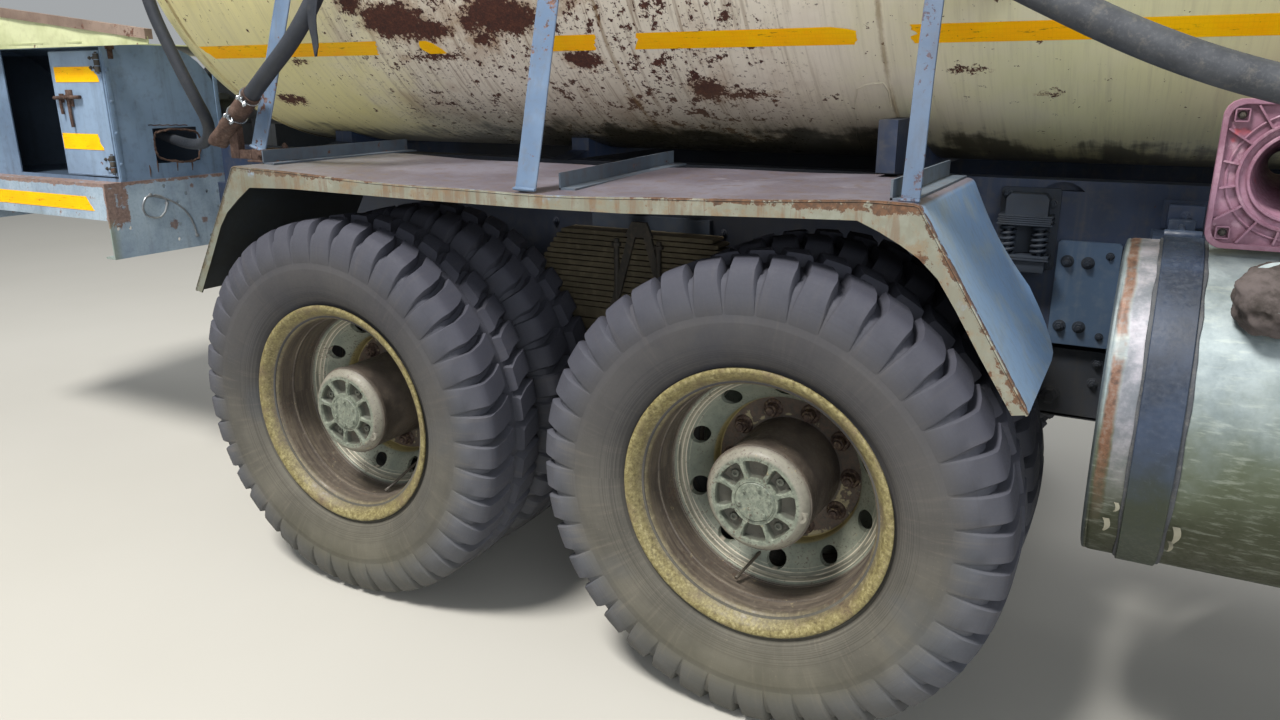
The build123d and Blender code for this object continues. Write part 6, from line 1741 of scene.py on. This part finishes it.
def tape_xz(b, y, x0t, x0b, x1t, x1b, z0, z1, seed, j=0.003, n=7, th=0.0012):
    """Tape on an upright face that looks sideways; ragged at the second end."""
    r = random.Random(seed)
    s = -1 if y < 0 else 1
    left = [(x0b + (x0t - x0b) * k / 3, z0 + (z1 - z0) * k / 3) for k in range(4)]
    right = [(x1t + (x1b - x1t) * k / n + r.uniform(-j, j), z1 + (z0 - z1) * k / n) for k in range(n + 1)]
    b.prism([(x, y, z) for x, z in left + right], (0, s * th, 0))


b = Build()
tape_xz(b, -0.8681, -3.627, -3.627, -3.370, -3.341, 1.614, 1.672, 2, 0.006)
tape_xz(b, -0.8681, -3.644, -3.644, -3.402, -3.385, 1.353, 1.415, 4, 0.007)
b.done("door_tape", MAT["tape"], "equipment_door")
b = Build()
for y in (-0.9451, 0.9451):
    tape_xz(b, y, -4.400, -4.400, -3.430, -3.386, 1.121, 1.176, 6, 0.002)
b.done("channel_tape", MAT["tape"], "chassis")

# latch with its two rods, hinges
b = Build()
yd = -0.8685
b.tube([(-3.640, yd - 0.010, 1.553), (-3.600, yd - 0.012, 1.5545), (-3.520, yd - 0.012, 1.556), (-3.467, yd - 0.010, 1.557)], 0.0075, 10)
b.tube([(-3.547, yd - 0.008, 1.556), (-3.548, yd - 0.010, 1.500), (-3.546, yd - 0.009, 1.440)], 0.0065, 10)
b.tube([(-3.604, yd - 0.008, 1.552), (-3.602, yd - 0.010, 1.520), (-3.600, yd - 0.009, 1.490)], 0.0060, 10)
b.box(-3.568, -3.528, yd - 0.006, yd + 0.0008, 1.520, 1.585, 0.001)
b.box(-3.615, -3.590, yd - 0.006, yd + 0.0008, 1.535, 1.570, 0.001)
b.bolt((-3.548, yd - 0.014, 1.556), (0, -1, 0), 0.010, 0.007)
b.done("door_latch", MAT["rust"], "equipment_door")
b = Build()
for z in (1.300, 1.685):
    for k in range(3):
        b.rod((-3.326, -0.877, z - 0.034 + 0.0235 * k), (-3.326, -0.877, z - 0.034 + 0.0235 * k + 0.021), 0.0105, 18, 0.001)
    b.rod((-3.326, -0.877, z - 0.040), (-3.326, -0.877, z + 0.040), 0.005, 12, 0.001)
    for dx in (-0.045, -0.022):
        for dz in (-0.018, 0.018):
            b.bolt((-3.326 + dx, -0.8731, z + dz), (0, -1, 0), 0.0055, 0.004)
b.done("door_hinges", MAT["iron"], "equipment_door")
# door: rolled edge
b = Build()
out = [(-3.6465, 1.255), (-3.6465, 1.7275), (-3.3255, 1.7275), (-3.3255, 1.255)]
b.tube([(x, -0.8672, z) for x, z in out], 0.0026, 8, closed=True)
b.done("door_edge", MAT["door"], "equipment_door")

# torch-cut edge round the hose hole: molten bead, slag drops
b = Build()
hole = [(-0.690, 1.414), (-0.666, 1.421), (-0.620, 1.425), (-0.560, 1.423), (-0.504, 1.414), (-0.488, 1.398), (-0.486, 1.375), (-0.492, 1.335), (-0.502, 1.301),
        (-0.530, 1.292), (-0.572, 1.289), (-0.630, 1.298), (-0.684, 1.313), (-0.696, 1.335), (-0.700, 1.366), (-0.697, 1.395)]
fine = []
rnd = random.Random(9)
for (y0, z0), (y1, z1) in zip(hole, hole[1:] + hole[:1]):
    for k in range(5):
        f = k / 5
        fine.append((y0 + (y1 - y0) * f + rnd.uniform(-0.0018, 0.0018), z0 + (z1 - z0) * f + rnd.uniform(-0.0018, 0.0018)))
b.tube([(-3.3062, y, z) for y, z in fine], [0.0042 + rnd.uniform(-0.0012, 0.0016) for _ in fine], 8, closed=True)
b.tube([(-3.3055, -0.716 + 0.178 * k / 14, 1.446 - 0.006 * k / 14 + 0.0015 * sin(k * 2.1)) for k in range(15)], 0.0022, 6)
for y, z in ((-0.736, 1.268), (-0.700, 1.285), (-0.610, 1.283), (-0.540, 1.280)):
    b.tube([(-3.3055, y, z + 0.02), (-3.3050, y + 0.001, z), (-3.3055, y - 0.001, z - 0.028)], [0.0018, 0.0034, 0.0012], 6)
b.done("torch_cut_edge", MAT["rust"], "chassis")

# folded seams, rivets and corner angles of the cabinets
b = Build()
for s, _w in SIDES:
    b.box(-3.3075, -3.3035, s * 0.8645, s * 0.845, 1.235, 1.750, 0.0006)
    b.box(-3.3075, -3.3035, s * 0.366, s * 0.385, 1.235, 1.750, 0.0006)
    b.tube([(-3.9905, s * 0.8690, z) for z in (1.246, 1.35, 1.5, 1.65, 1.741)], 0.0030, 8)
    b.tube([(-4.438 + 0.1 * k, s * 0.8690, 1.744) for k in range(5)], 0.0028, 8)
    for z in (1.30, 1.42, 1.54, 1.66):
        b.spin(((0.007, 0.0), (0.0065, 0.002), (0.0035, 0.0032)), (-3.3035, s * 0.855, z), (1, 0, 0), 14, True)
    for x in (-4.40, -4.28, -4.16, -4.04):
        b.spin(((0.007, 0.0), (0.0065, 0.002), (0.0035, 0.0032)), (x, s * 0.8685, 1.70), (0, s, 0), 14, True)
b.done("cabinet_seams", MAT["cabinet"], "chassis")

# bent wire on the deck's front plate
b = Build()
w = [(-0.757, 1.169), (-0.778, 1.164), (-0.790, 1.153), (-0.799, 1.134), (-0.800, 1.115), (-0.790, 1.094), (-0.771, 1.081), (-0.748, 1.075), (-0.727, 1.076),
     (-0.705, 1.096), (-0.691, 1.130), (-0.697, 1.150), (-0.713, 1.161), (-0.736, 1.168), (-0.757, 1.168), (-0.716, 1.156), (-0.680, 1.143), (-0.650, 1.125),
     (-0.615, 1.094), (-0.589, 1.055), (-0.574, 1.012), (-0.568, 0.974)]
b.tube([(-3.2955 + 0.004 * sin(i * 0.8), y, z) for i, (y, z) in enumerate(w)], 0.0042, 8)
for y, z in ((-0.757, 1.169), (-0.568, 0.978), (-0.690, 1.130)):
    b.spin(((0.008, 0.0), (0.008, 0.006), (0.004, 0.008)), (-3.2999, y, z), (1, 0, 0), 14, True)
b.done("wire_loop", MAT["galv"], "chassis")

# roof sheet, sloping side boards, brown bars along their upper edge
b = Build()
b.grid(lambda i, j: (-4.480 + 1.164 * i / 40, -0.930 + 1.860 * j / 40, 1.7605 - 0.0035 * abs(sin(i * 0.9 + j * 0.35)) * sin(j * 0.5) ** 2), 41, 41)
b.grid(lambda i, j: (-4.480 + 1.164 * i / 40, -0.930 + 1.860 * j / 40, 1.7555 - 0.0030 * abs(sin(i * 0.9 + j * 0.35)) * sin(j * 0.5) ** 2), 41, 41)
for x0, x1, y0, y1 in ((-4.480, -4.476, -0.930, 0.930), (-3.320, -3.316, -0.930, 0.930)):
    b.box(x0, x1, y0, y1, 1.7545, 1.7610)
for s, _w in SIDES:
    rows = []
    for j in range(9):
        f = j / 8
        rows.append([(-4.480 + 1.555 * i / 60, s * (0.9290 - 0.0022 * sin(i * 0.45) * sin(3.1 * f)), 1.743 + (1.950 - 0.180 * i / 60 - 1.743) * f) for i in range(61)])
    n = 61
    vs = [p for r_ in rows for p in r_] + [(p[0], p[1] - s * 0.0035, p[2]) for r_ in rows for p in r_]
    o_ = 9 * n
    fs = [(j * n + i, j * n + i + 1, (j + 1) * n + i + 1, (j + 1) * n + i) for j in range(8) for i in range(n - 1)]
    fs += [(o_ + j * n + i, o_ + (j + 1) * n + i, o_ + (j + 1) * n + i + 1, o_ + j * n + i + 1) for j in range(8) for i in range(n - 1)]
    fs += [(i, o_ + i, o_ + i + 1, i + 1) for i in range(n - 1)] + [(8 * n + i, 8 * n + i + 1, o_ + 8 * n + i + 1, o_ + 8 * n + i) for i in range(n - 1)]
    fs += [(j * n, (j + 1) * n, o_ + (j + 1) * n, o_ + j * n) for j in range(8)] + [(j * n + n - 1, o_ + j * n + n - 1, o_ + (j + 1) * n + n - 1, (j + 1) * n + n - 1) for j in range(8)]
    b.raw(vs, fs)
b.done("roof_sheet", MAT["roof"], "chassis", ("cabinet_roof",), angle=30)
b = Build()
for s, _w in SIDES:
    b.prism([(-4.4795, s * 0.9355, 1.9405), (-2.9255, s * 0.9355, 1.7605), (-2.9255, s * 0.9355, 1.7955), (-4.4795, s * 0.9355, 1.9755)], (0, -s * 0.030, 0))
    for k in range(6):
        x = -4.35 + 0.26 * k
        b.spin(((0.008, 0), (0.0075, 0.0004)), (x, s * 0.9356, 1.9575 - 0.1158 * (x + 4.4795)), (0, s, 0), 12, True)
b.done("roof_bars", MAT["bar"], "chassis")
b = Build()
for x in (-4.10, -3.70):
    b.box(x - 0.010, x + 0.010, -0.920, 0.920, 1.7600, 1.7630, 0.0005)
b.done("roof_seams", MAT["roof"], "chassis")
b = Build()
b.box(-3.3062, -3.298, -0.850, -0.815, 1.735, 1.752, 0.002)
b.box(-3.3062, -3.300, -0.842, -0.822, 1.700, 1.736, 0.002)
b.done("wall_catch", MAT["rust"], "chassis")


# ================================================================ manhole lid, outlet, walkway
b = Build()
MX, HX = -0.400, -0.700
for i in range(12):
    a_ = 2 * pi * i / 12 + 0.13
    b.bolt((MX + 0.250 * cos(a_), 0.250 * sin(a_), 3.3572), (0, 0, 1), 0.0115, 0.010)
prof = ((0.2665, 0.0), (0.2665, 0.003), (0.2610, 0.006), (0.2350, 0.0065), (0.2300, 0.0035), (0.2150, 0.0035), (0.2100, 0.0060), (0.1200, 0.0100), (0.030, 0.0115))
b.spin(prof, (MX, 0, 3.3562), (0, 0, 1), 72, True)
b.spin(((0.035, 0.0), (0.035, 0.020), (0.030, 0.024), (0.012, 0.024)), (MX, 0, 3.367), (0, 0, 1), 28, True)
b.done("lid_bolts", MAT["galv"], "tank_lid")
b = Build()
b.tube([(MX + 0.2565 * cos(2 * pi * i / 80), 0.2565 * sin(2 * pi * i / 80), 3.3265) for i in range(80)], 0.0045, 8, closed=True)
for th in range(0, 360, 6):
    a_ = radians(th)
    zt = TANK_Z + sqrt(TANK_R ** 2 - (0.257 * sin(a_)) ** 2)
pts = [(MX + 0.2575 * cos(2 * pi * i / 90), 0.2575 * sin(2 * pi * i / 90), TANK_Z + sqrt(TANK_R ** 2 - (0.2575 * sin(2 * pi * i / 90)) ** 2) + 0.001) for i in range(90)]
b.tube(pts, 0.0065, 8, closed=True)
for s, _w in SIDES:
    b.rod((HX, s * 0.060, 3.346), (HX, s * 0.0685, 3.346), 0.017, 20, 0.002)
b.done("manhole_weld", MAT["tank"], "chassis")
b = Build()
for i in range(8):
    a_ = 2 * pi * (i + 0.5) / 8
    b.bolt((-4.4642, 0.076 * cos(a_), 1.480 + 0.076 * sin(a_)), (1, 0, 0), 0.010, 0.010)
# hand wheel on the valve spindle
ring = [(-3.820 + 0.085 * cos(2 * pi * i / 48), 0.085 * sin(2 * pi * i / 48), 1.648) for i in range(48)]
b.tube(ring, 0.0085, 10, closed=True)
for k in range(3):
    a_ = 2 * pi * k / 3
    b.rod((-3.820, 0, 1.646), (-3.820 + 0.083 * cos(a_), 0.083 * sin(a_), 1.648), 0.006, 10)
for x0 in (-3.906, -3.740):
    for i in range(6):
        a_ = 2 * pi * i / 6
        b.bolt((x0, 0.071 * cos(a_), 1.480 + 0.071 * sin(a_)), (-1 if x0 < -3.8 else 1, 0, 0), 0.008, 0.008)
b.done("outlet_bolts", MAT["galv"], "chassis")
# raised bars of the chequer strips
b = Build()
rnd = random.Random(31)
for s, _w in SIDES:
    for i in range(84):
        for j in range(5):
            x = -2.475 + i * 0.0503
            y = s * (0.335 + j * 0.046)
            d = Vector((0.013, 0.013 * (1 if (i + j) % 2 else -1), 0))
            n_ = Vector((-d.y, d.x, 0)).normalized() * 0.0035
            p = Vector((x, y, 3.2700))
            b.raw([p - d, p + n_, p + d, p - n_, p - d * 0.6 + Vector((0, 0, 0.0018)), p + n_ * 0.4 + Vector((0, 0, 0.0018)), p + d * 0.6 + Vector((0, 0, 0.0018)), p - n_ * 0.4 + Vector((0, 0, 0.0018))],
                  [(3, 2, 1, 0), (4, 5, 6, 7), (0, 1, 5, 4), (1, 2, 6, 5), (2, 3, 7, 6), (3, 0, 4, 7)])
b.done("walkway_tread", MAT["alu"], "chassis")
# ladder: welds where rungs meet the stiles
b = Build()
for x in (0.950, 1.350):
    for i in range(7):
        z = 1.220 + 0.300 * i
        e = 0.021 if x < 1.1 else -0.021
        b.tube([(x + e, 1.025 + 0.0155 * cos(2 * pi * k / 20), z + 0.0155 * sin(2 * pi * k / 20)) for k in range(20)], 0.0028, 6, closed=True)
b.done("ladder_welds", MAT["galv"], "chassis")

# ================================================================ front axle, tanks under the left side
b = Build()
for x0, x1 in ((0.300, 0.900), (0.960, 1.560)):
    for x in (x0 + 0.130, x1 - 0.130):
        b.tube([(x, 0.740 + 0.1615 * cos(2 * pi * i / 60), 0.880 + 0.1615 * sin(2 * pi * i / 60)) for i in range(60)], 0.012, 8, closed=True, flat=0.25)
        b.bolt((x, 0.740, 1.0425), (0, 0, 1), 0.010, 0.010)
    for x in (x0 + 0.004, x1 - 0.004):
        b.tube([(x, 0.740 + 0.150 * cos(2 * pi * i / 60), 0.880 + 0.150 * sin(2 * pi * i / 60)) for i in range(60)], 0.0045, 8, closed=True)
    b.spin(((0.014, 0), (0.014, 0.012), (0.009, 0.016)), ((x0 + x1) / 2, 0.740, 0.722), (0, 0, -1), 18, True)
b.done("air_tank_bands", MAT["galv"], "chassis")

# U-bolts round the springs of the front axle
BX = NODES["front_springs"]
bb = [BX.matrix_world @ Vector(c) for c in BX.bound_box]
FX0, FX1 = min(p.x for p in bb), max(p.x for p in bb)
FZ0, FZ1 = min(p.z for p in bb), max(p.z for p in bb)
b = Build()
for s, _w in SIDES:
    for k in range(2):
        x = AX_FRONT + (0.06 if k else -0.06)
        b.tube([(x, s * 0.345, FZ1 + 0.001), (x, s * 0.345, FZ0 - 0.01)], 0.010, 12)
        b.tube([(x, s * 0.425, FZ1 + 0.001), (x, s * 0.425, FZ0 - 0.01)], 0.010, 12)
b.done("front_u_bolts", MAT["iron"], "chassis")

# ================================================================ seats: soft pads on plain bases
def soft_pad(name, place, half, turn, channels, crown, mat):
    """Closed crowned cushion: edges pulled in, sewn channels pressed into its face. The face is +Z before it is turned."""
    n = 30
    a_, b_, c_ = half
    rot = Matrix.Rotation(turn, 4, "Y")
    me = bpy.data.meshes.new(name)
    bm = bmesh.new()
    bmesh.ops.create_cube(bm, size=2.0)
    bmesh.ops.subdivide_edges(bm, edges=bm.edges[:], cuts=n, use_grid_fill=True)
    for v in bm.verts:
        x, y, z = v.co
        # rounder corners than a box
        m = (abs(x) ** 5 + abs(y) ** 5 + abs(z) ** 5) ** (1 / 5.0)
        k = 1.0 / m
        x, y, z = x * (0.25 + 0.75 * k), y * (0.25 + 0.75 * k), z * (0.25 + 0.75 * k)
        edge = max(abs(x), abs(y))
        bulge = (1 - x * x * x * x) * (1 - y * y * y * y)
        pull = 1 - 0.035 * (1 - (1 - x * x) * 0.6) * (1 - z * z) + 0.02 * (1 - z * z)
        fx_, fy_ = x * a_ * pull, y * b_ * pull
        fz_ = z * c_ * (1 - crown + crown * bulge)
        if z > 0.55:
            g = 0.0
            for ch in channels:
                g += math.exp(-((x - ch) / 0.045) ** 2)
            g += 0.7 * math.exp(-((abs(y) - 0.66) / 0.05) ** 2)
            fz_ -= min(1.0, g) * 0.011 * (z - 0.55) / 0.45 * (1 - edge ** 8)
            fz_ += 0.0020 * sin(9 * x + 4 * y) * sin(7 * y + 1.3)
        v.co = (fx_, fy_, fz_)
    bmesh.ops.recalc_face_normals(bm, faces=bm.faces)
    bm.transform(Matrix.Translation(Vector(place)) @ rot)
    bm.to_mesh(me)
    bm.free()
    for p in me.polygons:
        p.use_smooth = True
    o = bpy.data.objects.new(name, me)
    SC.collection.objects.link(o)
    me.materials.append(mat.m)
    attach(o, "chassis")
    return o, Matrix.Translation(Vector(place)) @ rot


fabric = Mat("seat_fabric", 0.92, 0.0, 0.2)
_wv = fabric.op("MULTIPLY", fabric.wave(260, "X"), fabric.wave(260, "Y"))
_c = fabric.mix(fabric.span(fabric.noise(6, 4, 0.6), 0.3, 0.7), "#2c3138", "#3c424b")
_c = fabric.mix(fabric.mul(fabric.span(fabric.noise(45, 4, 0.7), 0.5, 0.75), 0.4), _c, "#5b5850")
_c = fabric.mix(fabric.mul(_wv, 0.25), _c, "#1d2025")
fabric.base(_c).rough(fabric.span(_wv, 0.0, 1.0, 0.85, 0.98)).bump(fabric.add(fabric.mul(_wv, 0.6), fabric.mul(fabric.noise(30, 3), 0.6)), 0.35, 0.0012)
first = None
for y, word in ((-0.620, "right"), (0.620, "left")):
    o, mt = soft_pad(f"seat_cushion_{word}", (3.505, y, 1.815), (0.252, 0.237, 0.062), 0.0, (-0.5, 0.0, 0.5), 0.16, fabric)
    if first is None:
        first = o
        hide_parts("seats")
    o2, mt2 = soft_pad(f"seat_back_{word}", (3.2600, y, 2.185), (0.312, 0.226, 0.052), radians(81.0), (-0.6, -0.2, 0.2), 0.16, fabric)
    b = Build()
    for mt_, (ha_, hb_) in ((mt, (0.250, 0.235)), (mt2, (0.308, 0.224))):
        for zz in (0.030, -0.030):
            loop = []
            for i in range(72):
                t = 2 * pi * i / 72
                cx, cy = cos(t), sin(t)
                m_ = (abs(cx) ** 5 + abs(cy) ** 5) ** (-1 / 5.0)
                loop.append(mt_ @ Vector((cx * m_ * ha_ * 0.965, cy * m_ * hb_ * 0.965, zz)))
            b.tube(loop, 0.0045, 8, closed=True)
    b.done(f"seat_piping_{word}", MAT["black"], "chassis")
    b = Build()
    b.box(3.335, 3.675, y - 0.175, y + 0.175, 1.432, 1.452, 0.004)
    b.box(3.345, 3.385, y - 0.165, y + 0.165, 1.452, 1.735, 0.006)
    b.box(3.625, 3.665, y - 0.165, y + 0.165, 1.452, 1.735, 0.006)
    for sy in (-0.150, 0.138):
        b.box(3.385, 3.625, y + sy, y + sy + 0.012, 1.475, 1.730, 0.002)
    b.box(3.300, 3.720, y - 0.200, y + 0.200, 1.735, 1.752, 0.003)
    b.box(3.255, 3.285, y - 0.245, y - 0.236, 1.745, 1.960, 0.002)
    b.box(3.255, 3.285, y + 0.236, y + 0.245, 1.745, 1.960, 0.002)
    b.done(f"seat_base_{word}", MAT["black"], "chassis")

# ================================================================ cab outside
b = Build()
# rubber round the windscreen
kx = (4.230 - 4.440) / (2.880 - 2.080)


def front_x(z, off):
    return 4.440 + (z - 2.080) * kx - off


loop = []
for y0, z0, y1, z1 in ((-1.055, 2.145, 1.055, 2.145), (1.055, 2.145, 1.055, 2.825), (1.055, 2.825, -1.055, 2.825), (-1.055, 2.825, -1.055, 2.145)):
    for i in range(12):
        t = i / 12
        y, z = y0 + (y1 - y0) * t, z0 + (z1 - z0) * t
        loop.append((front_x(z, 0.004), y, z))
b.tube(loop, 0.011, 8, closed=True)
loop = []
for y0, z0, y1, z1 in ((-0.597, 2.254, 0.597, 2.254), (0.597, 2.254, 0.597, 2.696), (0.597, 2.696, -0.597, 2.696), (-0.597, 2.696, -0.597, 2.254)):
    for i in range(12):
        t = i / 12
        loop.append((2.7205, y0 + (y1 - y0) * t, z0 + (z1 - z0) * t))
b.tube(loop, 0.009, 8, closed=True)
# wipers parked low
for y in (-0.52, 0.30):
    p = Vector((front_x(2.150, -0.012), y, 2.135))
    q = Vector((front_x(2.215, -0.016), y + 0.34, 2.215))
    b.rod(p - Vector((0.02, 0, 0)), p + Vector((0.012, 0, 0)), 0.014, 16, 0.002)
    b.tube([p, p.lerp(q, 0.5) + Vector((0.006, 0, 0.01)), q], [0.007, 0.006, 0.004], 8)
    w0 = Vector((front_x(2.170, -0.008), y + 0.06, 2.172))
    w1 = Vector((front_x(2.245, -0.008), y + 0.56, 2.245))
    b.tube([w0, w0.lerp(w1, 0.5), w1], 0.0055, 6, flat=0.5)
b.done("screen_rubber", MAT["black"], "chassis")
b = Build()
# rain gutter, roof seam, panel creases, front panel edge
for s, _w in SIDES:
    b.tube([(2.83, s * 1.1535, 2.9395), (3.2, s * 1.1535, 2.9395), (3.8, s * 1.1535, 2.9395), (4.10, s * 1.1535, 2.9395)], 0.0065, 8)
    b.tube([(2.735, s * 1.1905, 1.985), (3.110, s * 1.1905, 1.985)], 0.006, 8)
    b.tube([(2.735, s * 1.1905, 1.520), (3.110, s * 1.1905, 1.520)], 0.006, 8)
b.tube([(4.4805, -1.15, 1.955), (4.4805, 0, 1.955), (4.4805, 1.15, 1.955)], 0.006, 8)
for y in (-0.55, 0.0, 0.55):
    b.tube([(2.86, y, 2.9605), (3.4, y, 2.9605), (4.10, y, 2.9605)], 0.005, 6, flat=0.6)
b.done("cab_seams", MAT["cabpaint"], "chassis")
for s, word in SIDES:
    b = Build()
    # rubber of the door window, crease and lock
    loop = []
    W_ = ((3.222, 2.062), (4.147, 2.062), (4.053, 2.738), (3.222, 2.738))
    for (x0, z0), (x1, z1) in zip(W_, W_[1:] + W_[:1]):
        for i in range(10):
            loop.append((x0 + (x1 - x0) * i / 10, s * 1.1905, z0 + (z1 - z0) * i / 10))
    b.tube(loop, 0.0085, 8, closed=True)
    b.spin(((0.012, 0), (0.012, 0.003), (0.009, 0.005)), (3.180, s * 1.190, 1.905), (0, s, 0), 20, True)
    b.done(f"door_rubber_{word}", MAT["black"], f"cab_door_{word}")
    b = Build()
    b.tube([(3.150, s * 1.1902, 1.985), (3.6, s * 1.1902, 1.985), (4.222, s * 1.1902, 1.985)], 0.006, 8)
    b.tube([(3.150, s * 1.1902, 1.520), (3.6, s * 1.1902, 1.520), (4.222, s * 1.1902, 1.520)], 0.006, 8)
    b.done(f"door_creases_{word}", MAT["cabpaint"], f"cab_door_{word}")
    b = Build()
    # mirror glass
    b.box(4.2525, 4.2560, s * 1.245, s * 1.415, 2.232, 2.568, 0.001)
    b.done(f"mirror_glass_{word}", MAT["mirror"], "chassis")
    b = Build()
    for y0, y1 in ((0.705, 0.955),):
        for z0, z1 in ((0.883, 0.889), (1.021, 1.027)):
            b.box(4.518, 4.5245, s * y0, s * y1, z0, z1, 0.001)
        b.box(4.518, 4.5245, s * y0, s * (y0 + 0.006), 0.889, 1.021, 0.001)
        b.box(4.518, 4.5245, s * (y1 - 0.006), s * y1, 0.889, 1.021, 0.001)
        b.box(4.518, 4.5225, s * 0.862, s * 0.868, 0.889, 1.021, 0.001)
    b.spin(((0.052, 0.0), (0.052, 0.002), (0.040, 0.0038), (0.020, 0.0050)), (4.5188, s * 0.785, 0.955), (1, 0, 0), 32, True)
    b.done(f"lamp_bezel_{word}", MAT["chrome"], "chassis")


# ================================================================ materials of the CAD nodes that stay
for node, key in (("air_tanks", "frame"), ("battery_box", "black"), ("bogie_springs", "leaf"), ("cab_shell", "cabpaint"),
                  ("cab_steps", "iron"), ("cabinet_door", "door"), ("cabinet_roof", "roof"), ("dashboard", "black"),
                  ("door_left", "cabpaint"), ("door_right", "cabpaint"), ("engine_block", "iron"), ("exhaust_stack", "galv"),
                  ("frame_crossmembers", "frame"), ("frame_rails", "frame"), ("front_axle", "iron"), ("front_bumper", "frame_light"),
                  ("front_mudguards", "guard2"), ("front_springs", "leaf"), ("fuel_tank", "fuel"), ("fuel_tank_straps", "strap"),
                  ("grille", "black"), ("hose_fittings", "rust"), ("hoses", "hose"), ("knuckle_left", "iron"), ("knuckle_right", "iron"),
                  ("lamps", "lamp"), ("manhole_lid", "galv"), ("mirrors", "black"), ("mudguard_struts", "strut"), ("outlet_pipe", "galv"),
                  ("propshafts", "spring"), ("pump_cabinets", "cabinet"), ("rear_axles", "iron"), ("rear_deck", "deck"),
                  ("rear_mudguards", "guard"), ("seats", "seat"), ("steering_wheel", "black"), ("subframe_mounts", "frame"),
                  ("tank_ladder", "galv"), ("tank_shell", "tank"), ("tank_subframe", "frame"), ("tank_walkway", "alu"),
                  ("trunnion", "spring"), ("warning_cone", "cone"), ("cab_glass", "glass"), ("door_glass_left", "glass"), ("door_glass_right", "glass")):
    if key == "guard2" and "guard2" not in MAT:
        MAT["guard2"] = worn("front_guard_paint", "#8b9aa2", "#a3aeb0", rust=0.3, dirt="#6c6b62", dust=0.35, rough=0.5)
    dress(node, MAT[key])


# ================================================================ floor, light
bpy.ops.mesh.primitive_plane_add(size=80)
floor = bpy.context.object
floor.name = "floor"
_f = Mat("floor", 0.9)
_f.base(_f.mix(_f.noise(0.8, 3), "#aeaca5", "#b6b4ae"))
floor.data.materials.append(_f.m)
floor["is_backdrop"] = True

world = bpy.data.worlds.new("studio")
SC.world = world
world.use_nodes = True
world.node_tree.nodes["Background"].inputs[0].default_value = (0.93, 0.97, 1.0, 1)
world.node_tree.nodes["Background"].inputs[1].default_value = 0.40


def lamp_light(name, loc, aim, size, watts, colour=(1, 1, 1)):
    d = bpy.data.lights.new(name, "AREA")
    d.shape = "RECTANGLE"
    d.size, d.size_y = size
    d.energy = watts
    d.color = colour
    o = bpy.data.objects.new(name, d)
    o.location = loc
    o.rotation_euler = (Vector(aim) - Vector(loc)).to_track_quat("-Z", "Y").to_euler()
    SC.collection.objects.link(o)
    return o


lamp_light("key", (-2.6, -5.2, 9.5), (-0.6, -0.9, 1.2), (2.4, 2.0), 1600, (1.0, 0.97, 0.92))
lamp_light("fill", (4.5, -7.5, 3.0), (-0.3, -1.0, 1.0), (5.0, 4.0), 300, (0.92, 0.96, 1.0))
lamp_light("back", (2.0, 8.0, 7.0), (0.0, 0.0, 1.5), (6.0, 4.0), 600, (1.0, 1.0, 1.0))

SC.view_settings.view_transform = "Standard"
SC.view_settings.look = "None"

a, b_ = CAD_BOUNDS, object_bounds()
